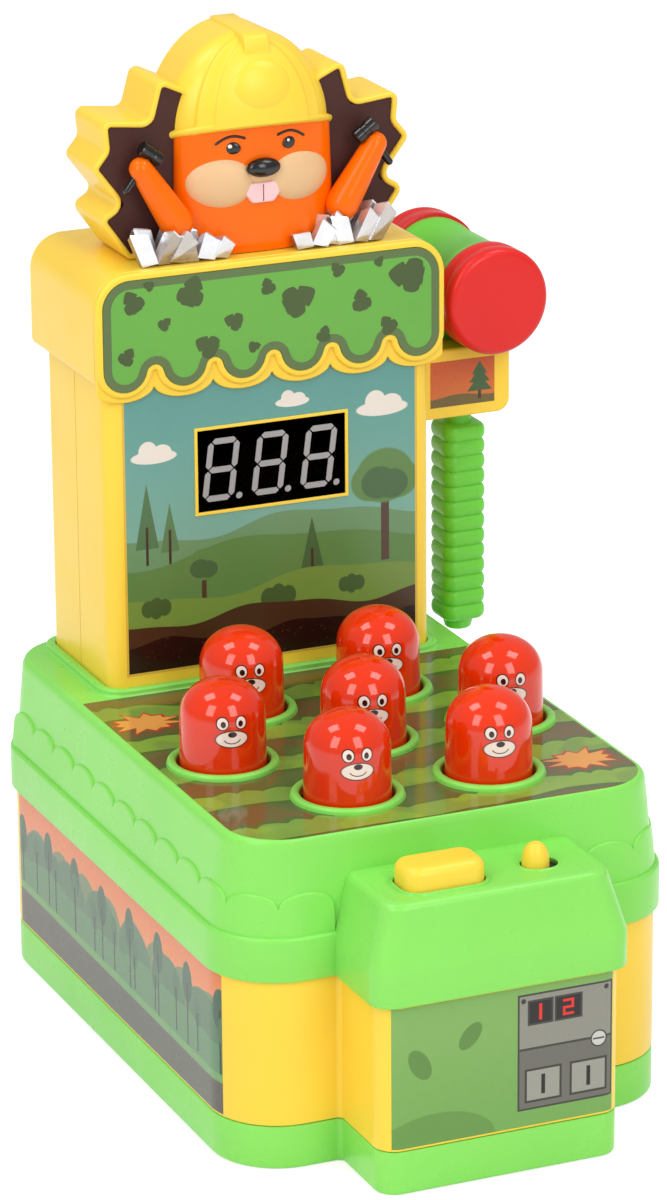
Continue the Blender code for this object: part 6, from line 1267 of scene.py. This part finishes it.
tooth_low = TOOTH_Z - TOOTH_H / 2
tooth_plan = rounded([(wide * TOOTH_W, tooth_low + high * TOOTH_H) for wide, high in
                      ((-0.62, 0), (0.62, 0), (1, 0.45), (0.8, 1), (-0.8, 1), (-1, 0.45))], 0.0016, 6)
front = body_front(0) - 0.0012
teeth = carry("front_teeth", tooth_plan,
              [(0.0, front + 0.0024)] + swapped(arc((front + 0.0006, -0.0006), 0.0006, 90, 180, 4))
              + [(-0.0014, front - 0.0001)], PINK, axis="y")
stands_for(teeth, "figure_teeth", slot="tooth_pink")


def tube_along(name, path, radii, material, sides=16):
    """A round bar along a path: a circle at each point, set square to the path, closed by small domes."""
    path = np.asarray(path, float)
    radii = np.broadcast_to(np.asarray(radii, float), len(path))
    tangent = np.gradient(path, axis=0)
    tangent /= np.linalg.norm(tangent, axis=1)[:, None]
    u = np.cross(tangent, [0.0, 1.0, 0.0])
    u /= np.maximum(np.linalg.norm(u, axis=1), 1e-9)[:, None]
    v = np.cross(tangent, u)
    ends = np.radians(np.linspace(90, 0, 6))[:-1]
    rings_p = [path[0] - tangent[0] * radii[0] * math.sin(a) for a in ends] + list(path) \
        + [path[-1] + tangent[-1] * radii[-1] * math.sin(a) for a in ends[::-1]]
    rings_r = [radii[0] * math.cos(a) for a in ends] + list(radii) + [radii[-1] * math.cos(a) for a in ends[::-1]]
    rings_u = np.concatenate([np.repeat(u[:1], 5, 0), u, np.repeat(u[-1:], 5, 0)])
    rings_v = np.concatenate([np.repeat(v[:1], 5, 0), v, np.repeat(v[-1:], 5, 0)])
    angle = whole_turn(sides)
    points = (np.asarray(rings_p)[:, None] + (rings_u[:, None] * np.cos(angle)[None, :, None]
              + rings_v[:, None] * np.sin(angle)[None, :, None]) * np.asarray(rings_r)[:, None, None])
    return add_piece(name, points, grid_faces(len(points), sides), material)


ARM_Y, ARM_FOOT, ARM_HAND = FACE_BACK - 0.0064, (0.0310, CROWN_FOOT + 0.0130), (0.0435, CROWN_FOOT + 0.0330)
SHOULDER_R, HAND_R, TINY_REACH, TINY_GRIP = 0.0060, 0.0041, 0.0062, 0.0150
TINY_HALF, TINY_R, TINY_BEVEL, TINY_BELT, TINY_WAIST = 0.0043, 0.0027, 0.0004, 0.0012, 0.0003
tiny_side = [(0.0, TINY_HALF), (TINY_R - TINY_BEVEL, TINY_HALF), (TINY_R, TINY_HALF - TINY_BEVEL),
             (TINY_R, TINY_BELT), (TINY_R - TINY_WAIST, TINY_BELT - TINY_WAIST)]
tiny_profile = [(r, -z) for r, z in tiny_side] + tiny_side[::-1]
for side, word in HANDS:
    foot, hand = (np.array([side * x, ARM_Y, z]) for x, z in (ARM_FOOT, ARM_HAND))
    share = np.linspace(0, 1, 9)[:, None]
    arm = tube_along("raised_arm_" + word, foot + (hand - foot) * share, np.linspace(SHOULDER_R, HAND_R, 9), ORANGE)
    stands_for(arm, "arm_" + word, slot="figure_orange")
    lean = np.array([-side * 0.6, 0, 0.8])
    top = hand + lean * TINY_REACH
    grip = tube_along("tiny_grip_" + word, [top - lean * TINY_GRIP, top - lean * 0.008, top], 0.0013, BLACK)
    across = Vector((lean[2], 0, -lean[0]))
    head = spun("tiny_head_" + word, tiny_profile, 32, BLACK,
                place=Matrix.Translation(top) @ across.to_track_quat("Z", "Y").to_matrix().to_4x4())
    stands_for(grip, "small_mallet_" + word)
    stands_for(head, "small_mallet_" + word, slot="black_gloss")

EYE_X, EYE_Z, BROW_Z, GLINT = 0.0108, CROWN_FOOT + 0.0372, CROWN_FOOT + 0.0404, 0.0008
for side, word in HANDS:
    x, turn = side * EYE_X, Matrix.Rotation(side * math.radians(21), 4, "Z")
    ball("eye_" + word, (x, body_front(x) + 0.0002, EYE_Z), (0.0032, 0.0008, 0.0022), BLACK, turn, 32, 18)
    # A white dot on each eye is a painted highlight.
    ball("glint_" + word, (x - GLINT, body_front(x - GLINT) - 0.0005, EYE_Z + GLINT), (0.0008, 0.0003, 0.0007), GLINT_WHITE,
         turn, 16, 10)
    path = [(side * (0.0062 + 0.0100 * k), BROW_Z + 0.0016 * math.sin(math.pi * k) - 0.0014 * k)
            for k in np.linspace(0, 1, 9)]
    tube_along("brow_" + word, [(px, body_front(px) + 0.0002, pz) for px, pz in path], 0.00055, BLACK, 10)
tube_along("teeth_line", [(0, front - 0.00005, z) for z in (tooth_low + 0.0008, TOOTH_Z, TOOTH_Z + 0.0028)],
           0.00018, moulded("tooth_line", linear(96, 34, 30), 0.5), 8)

# Helmet: dome with two raised panels, ridge, brim and badge
HELMET_R, HELMET_H, HELMET_FRONT, HELMET_MIDDLE = 0.0302, 0.0326, 0.0650, 0.0820
BRIM_THICK = 0.0036
DOME_FOOT = HELMET_BASE + BRIM_THICK * 0.6
HELMET_D = HELMET_MIDDLE - HELMET_FRONT
PANELS = ((0.0232, 0.0318, 0.0010), (0.0173, 0.0300, 0.0010))


def sections(name, points):
    """Closed sections laid from front to back in yellow, with flat end caps."""
    count = points.shape[1]
    last = (len(points) - 1) * count
    return add_piece(name, points, grid_faces(len(points), count, False, True)
                     + [list(range(count)), list(range(last, last + count))[::-1]], YELLOW, sharp=50)


def helmet_skin():
    """A half-ellipse grid, a quarter ellipse from the front to the middle, then straight with a rounded back edge;
    two nested ellipses seen from the front are pushed out along its normal."""
    turn = np.linspace(0.14, math.pi / 2, 70)
    y = np.concatenate([HELMET_MIDDLE - HELMET_D * np.cos(turn),
                        np.linspace(HELMET_MIDDLE, CROWN_BACK - 0.0012, 9)[1:],
                        [CROWN_BACK - 0.0014, CROWN_BACK - 0.0008]])
    size = np.concatenate([np.sin(turn), np.ones(8), [0.994, 0.965]])
    turn = np.linspace(0, math.pi, 181)[None, :]
    foot = (brim_level(y) + BRIM_THICK / 3)[:, None]
    top = (DOME_FOOT + HELMET_H * size)[:, None]
    x, z = HELMET_R * size[:, None] * np.cos(turn), foot + (top - foot) * np.sin(turn)
    deep = np.broadcast_to(y[:, None], x.shape)
    slope = np.stack([x / HELMET_R ** 2, np.minimum(0, deep - HELMET_MIDDLE) / HELMET_D ** 2,
                      (z - foot) / HELMET_H ** 2], -1)
    slope /= np.maximum(np.linalg.norm(slope, axis=-1, keepdims=True), 1e-9)
    push = np.zeros(x.shape)
    for wide, tall, lift in PANELS:
        reach = np.sqrt((x / wide) ** 2 + (np.maximum(0, z - DOME_FOOT) / tall) ** 2)
        share = np.clip((1.0 - reach) / 0.04, 0, 1)
        push += lift * share * share * (3 - 2 * share)
    return np.stack([x, deep, z], -1) + slope * push[..., None]


stands_for(sections("helmet_dome", helmet_skin()), "helmet", slot="yellow_plastic")
RIDGE_HALF, RIDGE_ROUND = 0.0045, 0.0010
RIDGE_LINE = np.array([(0.0693, 0.3328), (0.0696, 0.3365), (0.0700, 0.3390), (0.0706, 0.3402), (0.0714, 0.3409),
                       (0.0726, 0.3413), (0.0750, 0.3416), (0.1000, 0.3424), (0.1012, 0.3421), (0.1018, 0.3414),
                       (0.1020, 0.3404)])


def ridge_skin():
    """Rounded box sections from front to back: the top follows a short rise, and the foot stays inside the dome."""
    y = np.insert(RIDGE_LINE[:, 0], 7, [0.0800, 0.0900])
    top = np.interp(y, *RIDGE_LINE.T)
    dome = np.sqrt(np.maximum(0, 1 - (np.minimum(0, y - HELMET_MIDDLE) / HELMET_D) ** 2))
    low = DOME_FOOT + HELMET_H * dome - 0.0030
    right = [(RIDGE_HALF + 0.0003, None)] + arc((RIDGE_HALF - RIDGE_ROUND, -RIDGE_ROUND), RIDGE_ROUND, 0, 90, 5)
    section = np.array(right + [(-x, z) for x, z in reversed(right)], dtype=float)
    z = np.where(np.isnan(section[None, :, 1]), low[:, None], top[:, None] + section[None, :, 1])
    return np.stack([np.broadcast_to(section[:, 0], z.shape), np.broadcast_to(y[:, None], z.shape), z], -1)


sections("helmet_ridge", ridge_skin())
angle = whole_turn(96)
brim_profile = [(-0.004, 0.0), (0.0006, 0.0)] + arc((0.0004, 0.0014), 0.0014, -80, 80, 10)
brim_profile += [(0.0002, 0.0030), (-0.0010, BRIM_THICK)]
rows = []
for grow, z in brim_profile:
    y = HELMET_MIDDLE + (HELMET_D + grow) * np.sin(angle)
    rows.append(np.stack([(HELMET_R + grow) * np.cos(angle), y, brim_level(y) + z], -1))
add_piece("helmet_brim", rows, grid_faces(len(rows), len(angle)), YELLOW)
BADGE_Z = CROWN_FOOT + 0.0582
lean = (BADGE_Z - DOME_FOOT) / HELMET_H
badge_y = HELMET_MIDDLE - HELMET_D * math.sqrt(1 - lean * lean)
ball("helmet_badge", (0, badge_y + 0.0002, BADGE_Z), (0.0110, 0.0036, 0.0092), YELLOW,
     Matrix.Rotation(-math.atan2(lean * HELMET_D, HELMET_H), 4, "X"))

# Rock crystals at the figure's foot
STONE = stone("rock_silver")
CRYSTALS, CRYSTAL_EDGE = 11, 0.0030


def crystal(foot, axis, tall, wide, turn):
    """A four-sided bar along an axis: foot ring, shoulder ring and a slightly smaller slanted end ring."""
    axis = np.asarray(axis) / np.linalg.norm(axis)
    u = np.cross(axis, [0.0, 1.0, 0.3])
    u /= np.linalg.norm(u)
    v = np.cross(axis, u)
    angle = whole_turn(4) + turn
    across = u * np.cos(angle)[:, None] * 1.15 + v * np.sin(angle)[:, None] * 0.85
    rings = []
    for share, size in ((0.0, 0.98), (0.96, 1.0), (1.0, 0.88)):
        slant = 0.22 * tall * share * np.cos(angle - turn)
        rings.append(np.asarray(foot) + axis * tall * share + wide * size * across + axis * slant[:, None])
    return rings


def rock_heap(name, node, side):
    """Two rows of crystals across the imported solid's width, taller towards the outer end; every third leans left,
    the others right."""
    low, high = np.array(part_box(node))
    chance = np.random.RandomState(11 if side > 0 else 5)
    points, faces = [], []
    for k in range(CRYSTALS):
        row, place = divmod(k, 6)
        share = (place + 0.5 * row) / 5.5
        x = low[0] + CRYSTAL_EDGE + (high[0] - low[0] - 2 * CRYSTAL_EDGE) * share
        outer = share if side > 0 else 1 - share
        y = low[1] + 0.0034 + (high[1] - low[1] - 0.0068) * row + chance.uniform(-0.0006, 0.0006)
        tall = (0.0068 + 0.0066 * outer + chance.uniform(-0.0012, 0.0012)) * (1.12 if row else 1.0)
        tall = min(tall, high[2] - CROWN_FOOT - 0.0010)
        lean = [(0.42 if k % 3 else -0.30) + chance.uniform(-0.08, 0.08), chance.uniform(-0.30, 0.05), 1.0]
        wide, turn = chance.uniform(0.0035, 0.0042), TAU / 8 + chance.uniform(-0.25, 0.25)
        start = len(points) * 4
        points += crystal((x, y, CROWN_FOOT), lean, tall, wide, turn)
        faces += grid_faces(3, 4, True, False, start)
        faces += [[start + 3, start + 2, start + 1, start], [start + 8 + i for i in range(4)]]
    points = np.array(points)
    points[..., 2] = np.maximum(points[..., 2], CROWN_FOOT)
    stands_for(add_piece(name, points, faces, STONE, sharp=12, weld=False), node, slot="rock_silver")


rock_heap("crystals_left", "rocks_left", -1)
rock_heap("crystals_right", "rocks_right", 1)

# Bracket for the mallet, and its film
BRACKET_FRONT, BRACKET_BACK, BRACKET_X, BRACKET_EDGE = 0.0760, 0.1115, 0.0985, 0.0010
BRACKET_LOW, BRACKET_TOP = 0.1940, 0.2195
MALLET_X, MALLET_Y, HEAD_Z = 0.0868, 0.0950, 0.2388
BRACKET_IN = TOWER_HALF + 0.0003
bracket_plan = rounded([(BRACKET_IN, BRACKET_LOW), (BRACKET_X, BRACKET_LOW), (BRACKET_X, BRACKET_TOP),
                        (BRACKET_IN, BRACKET_TOP)], [0.0003, 0.0048, 0.0012, 0.0003], 10)
bracket = carry("bracket_block", bracket_plan,
                [(-BRACKET_EDGE, BRACKET_BACK)]
                + swapped(arc((BRACKET_BACK - BRACKET_EDGE, -BRACKET_EDGE), BRACKET_EDGE, 0, 90, 4)[1:])
                + swapped(arc((BRACKET_FRONT + BRACKET_EDGE, -BRACKET_EDGE), BRACKET_EDGE, 90, 180, 5)),
                YELLOW, axis="y")
stands_for(bracket, "mallet_bracket", slot="yellow_plastic")

TAG_X, TAG_Z, TAG_HALF_X, TAG_HALF_Z = 0.07985, 0.20675, 0.0125, 0.0084
tag = np.array(rectangle(TAG_HALF_X, TAG_Z - TAG_HALF_Z, TAG_Z + TAG_HALF_Z)) + [TAG_X, 0.0]
bracket_film = flat_sheet("bracket_film", [tag], BRACKET_FRONT - 0.0001, BRACKET_FRONT + 0.0004, bracket_print(),
                          axis="y")
stands_for(bracket_film, "bracket_label")

# Mallet
MALLET_TURN = Matrix.Translation((MALLET_X, MALLET_Y, 0)) @ Matrix.Rotation(math.radians(1.0), 4, "Z")
HEAD_TURN = MALLET_TURN @ Matrix.Translation((0, 0, HEAD_Z)) @ Matrix.Rotation(math.pi / 2, 4, "X")
HEAD_HALF, CAP_LEN, CAP_R, CAP_ROUND, BARREL_R, WAIST = 0.0340, 0.0125, 0.01939, 0.0028, 0.0181, 0.0176
GRIP_LOW, GRIP_TOP, RIBS, GRIP_HALF, RIB_DEEP = 0.1130, 0.1863, 13, 0.0073, 0.0010
NECK_R, RING_R, SOCKET_R = 0.0048, 0.0112, 0.0100


def grip_skin():
    """A rounded square whose half width swings between rib crest and groove along its height."""
    base = rounded(rectangle(1.0, -1.0, 1.0), 0.5, 8)
    rows = []
    for s in np.linspace(0, 1, RIBS * 8 + 1):
        half = GRIP_HALF + RIB_DEEP * abs(math.sin(math.pi * s * RIBS)) ** 0.55
        rows.append(level(base * half, GRIP_LOW + (GRIP_TOP - GRIP_LOW) * s))
    return placed(np.asarray(rows), MALLET_TURN)


handle = loft("ribbed_grip", grip_skin(), MALLET_GREEN, "mallet", (True, True), 50)
stands_for(handle, "mallet_handle", slot="mallet_green")
BARREL_LOW = HEAD_Z - BARREL_R
spun("grip_neck", [(0.0, GRIP_TOP - 0.0010), (NECK_R, GRIP_TOP - 0.0010), (NECK_R, BRACKET_TOP + 0.0003),
                   (RING_R - 0.0004, BRACKET_TOP + 0.0003), (RING_R, BRACKET_TOP + 0.0007),
                   (RING_R, BARREL_LOW - 0.0006), (SOCKET_R, BARREL_LOW), (SOCKET_R, BARREL_LOW + 0.006),
                   (0.0, BARREL_LOW + 0.006)], 48, MALLET_GREEN, "mallet", MALLET_TURN)
spun("grip_end", [(0.0, GRIP_LOW - 0.0045)] + arc((0.0038, GRIP_LOW - 0.0033), 0.0012, -90, 0, 5)
     + [(0.0060, GRIP_LOW + 0.0004), (0.0, GRIP_LOW + 0.0004)], 48, MALLET_GREEN, "mallet", MALLET_TURN)
inner = HEAD_HALF - CAP_LEN
half_barrel = [(0.0, inner), (BARREL_R - 0.0003, inner), (BARREL_R, inner - 0.0003), (BARREL_R, inner - 0.0036),
               (BARREL_R - 0.0001, inner - 0.0040), (WAIST, inner - 0.0046)]
barrel = spun("head_barrel", [(r, -z) for r, z in half_barrel] + half_barrel[::-1], 96, MALLET_GREEN, "mallet",
              HEAD_TURN)
stands_for(barrel, "mallet_barrel", slot="mallet_green")
cap_profile = [(0.0, inner + 0.0003), (CAP_R - 0.0005, inner + 0.0003), (CAP_R - 0.0001, inner + 0.0005),
               (CAP_R, inner + 0.0010), (CAP_R, HEAD_HALF - 0.0068), (CAP_R - 0.0003, HEAD_HALF - 0.0063),
               (CAP_R - 0.0008, HEAD_HALF - 0.0060), (CAP_R - 0.0003, HEAD_HALF - 0.0057),
               (CAP_R, HEAD_HALF - 0.0052)]
cap_profile += arc((CAP_R - CAP_ROUND, HEAD_HALF - CAP_ROUND), CAP_ROUND, 0, 90, 8)
cap_profile += [(CAP_R * 0.5, HEAD_HALF - 0.00002), (0.0, HEAD_HALF)]
for profile, word in ((cap_profile, "front"), ([(r, -z) for r, z in cap_profile][::-1], "rear")):
    cap = spun("head_cap_" + word, profile, 96, MALLET_RED, "mallet", HEAD_TURN)
    stands_for(cap, "mallet_cap_" + word, slot="mallet_red")

# Screws: one in each of the underside's wells, and four in collars on the tower's back
SCREW = steel("screw_steel", (0.42, 0.41, 0.40), 0.34)
SCREW_R, SCREW_RISE, SCREW_FOOT, CROSS_HALF, CROSS_REACH, CROSS_DEEP = 0.0027, 0.0011, 0.0016, 0.00042, 0.0018, 0.0007
COLLAR_OUT, COLLAR_IN = 0.0050, 0.0035


def screw(name, place):
    """A pan head with a cross recess; its head looks down its own -Z, and place carries it to its spot."""
    rings, sides = 9, 48
    angle = whole_turn(sides)
    radius = np.linspace(1, 0, rings)[:, None] * SCREW_R
    u, v = radius * np.cos(angle), radius * np.sin(angle)
    cross = (np.minimum(np.abs(u), np.abs(v)) < CROSS_HALF) & (radius < CROSS_REACH)
    depth = SCREW_RISE * np.sqrt(np.maximum(0, 1 - (radius / 0.0029) ** 2)) - np.where(cross, CROSS_DEEP, 0.0)
    top = np.stack([u, v, -depth], -1)
    base = np.stack([u[:1], v[:1], np.full((1, sides), SCREW_FOOT)], -1)
    add_piece(name, placed(np.concatenate([base, top]), place), grid_faces(rings + 1, sides, True, True), SCREW)


# Each well is a tube in dark grey, painted shade in the recess, with its screw inside.
for n, (x, y) in enumerate(WELLS):
    spun("screw_well_%d" % (n + 1), [(WELL_R, 0.0), (WELL_R, 0.0060), (0.0, 0.0060)], 28, SHADE_DARK,
         place=Matrix.Translation((x, y, 0)))
    screw("case_screw_%d" % (n + 1), Matrix.Translation((x, y, 0.0040)))

collar_profile = [(COLLAR_OUT, TOWER_BACK - 0.0002), (COLLAR_OUT, TOWER_BACK + 0.0003),
                  (COLLAR_OUT - 0.0003, TOWER_BACK + 0.0006), (COLLAR_IN + 0.0003, TOWER_BACK + 0.0006),
                  (COLLAR_IN, TOWER_BACK + 0.0002), (COLLAR_IN, TOWER_BACK - 0.0001)]
for n, (x, z) in enumerate(((-0.048, 0.128), (0.048, 0.128), (-0.048, 0.212), (0.048, 0.212))):
    spun("back_collar_%d" % (n + 1), collar_profile, 40, YELLOW,
         place=Matrix(((1, 0, 0, x), (0, 0, 1, 0), (0, -1, 0, z), (0, 0, 0, 1))))
    screw("back_screw_%d" % (n + 1), Matrix(((1, 0, 0, x), (0, 0, -1, TOWER_BACK + 0.0002), (0, 1, 0, z),
                                             (0, 0, 0, 1))) @ Matrix.Diagonal((1, 1, 0.5, 1)))

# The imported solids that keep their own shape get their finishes
BOARD = Finish("circuit_board", Specular_IOR_Level=0.4)
u = BOARD.axes()[0]
trace = (1 - (u.wrap(0.0032) - 0.0016).abs().step(0.0003, 0.0004)) * BOARD.noise(70.0, 1.0).step(0.48, 0.5)
ink = BOARD.mix(trace, linear(28, 92, 48), linear(60, 132, 78))
BOARD.put("Base Color", BOARD.mix(BOARD.noise(900.0, 1.0).step(0.72, 0.74), ink, linear(196, 190, 170)))
BOARD.put("Roughness", BOARD.noise(80.0, 2.0) * 0.15 + 0.3)
CELL = Finish("cell_jacket")
v = CELL.axes()[1]
band = (v - 0.012).step(0.0, 0.0004) * (1 - (v - 0.024).step(0.0, 0.0004))
jacket = CELL.mix(CELL.noise(40.0), linear(48, 50, 56), linear(36, 38, 44))
CELL.put("Base Color", CELL.mix(band, jacket, linear(188, 136, 62)))
CELL.put("Roughness", CELL.noise(90.0, 2.0) * 0.1 + 0.24)
CELL.put("Metallic", band * 0.7)
PLATED, PAINTED = steel("plated_steel"), moulded("speaker_paint", linear(38, 38, 40), 0.5)
KEPT = {"battery_cell": CELL.material, "battery_contact": PLATED, "start_spring": PLATED, "mole_spring": PLATED,
        "speaker": PAINTED, "battery_door": GREEN, "main_board": BOARD.material, "console_board": BOARD.material,
        "display_board": BOARD.material}
for name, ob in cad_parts.items():
    if name in PIECES_FOR:
        continue
    match = [finish for key, finish in KEPT.items() if name.startswith(key)]
    if not match:
        print("no finish for", name)
        continue
    for slot in range(len(ob.data.materials)):
        ob.data.materials[slot] = match[0]


# Stage: pale floor that keeps the shadow, an even pale surround and soft panel lamps
FLOOR_GLOW, SURROUND, FLOOR_Z, FLOOR_HALF, AIM_Z, LAMP_DISTANCE = 0.5, 0.53, -0.0002, 60, 0.13, 1.5


def set_stage():
    """A wide floor that glows to camera, mirror and clear rays only, in a white world."""
    corners = rectangle(FLOOR_HALF, -FLOOR_HALF, FLOOR_HALF)
    floor = add_piece("floor", [(x, y, FLOOR_Z) for x, y in corners], [(0, 1, 2, 3)], SHADE_DARK)
    floor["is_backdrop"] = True
    paint = Finish("floor_white", Roughness=0.9, Base_Color=(0.86, 0.86, 0.86), Specular_IOR_Level=0.0,
                   Emission_Strength=1.0)
    ray = [paint.node("ShaderNodeLightPath", output="Is %s Ray" % kind)
           for kind in ("Camera", "Glossy", "Transmission")]
    paint.put("Emission Color", paint.mix((ray[0] + ray[1] + ray[2]).min(1.0), (0.0, 0.0, 0.0), (FLOOR_GLOW,) * 3))
    floor.data.materials[0] = paint.material
    world = bpy.data.worlds.new("white")
    scene.world = world
    world.use_nodes = True
    back = world.node_tree.nodes["Background"]
    back.inputs[0].default_value = (1, 1, 1, 1)
    back.inputs[1].default_value = SURROUND
    scene.view_settings.view_transform = "Standard"


def panel_lamp(name, azimuth, rise, size, power):
    """A rectangular soft panel on a sphere round the object, facing it; azimuth counts from the camera's own."""
    aim = Vector((0, 0, AIM_Z))
    spot_at = aim + LAMP_DISTANCE * towards(CAMERA_AZIMUTH + math.radians(azimuth), math.radians(rise))
    data = bpy.data.lights.new(name, "AREA")
    data.shape = "RECTANGLE"
    data.size, data.size_y = size
    data.energy = power
    ob = bpy.data.objects.new(name, data)
    ob.location = spot_at
    ob.rotation_euler = (aim - spot_at).to_track_quat("-Z", "Y").to_euler()
    scene.collection.objects.link(ob)


set_stage()
for side, azimuth, high in (("left", -36, -84), ("right", 31, 84)):
    panel_lamp("panel_low_" + side, azimuth, 32, (0.50, 0.90), 7.0)
    panel_lamp("panel_high_" + side, high, 63, (0.50, 0.55), 5.0)

low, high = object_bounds()
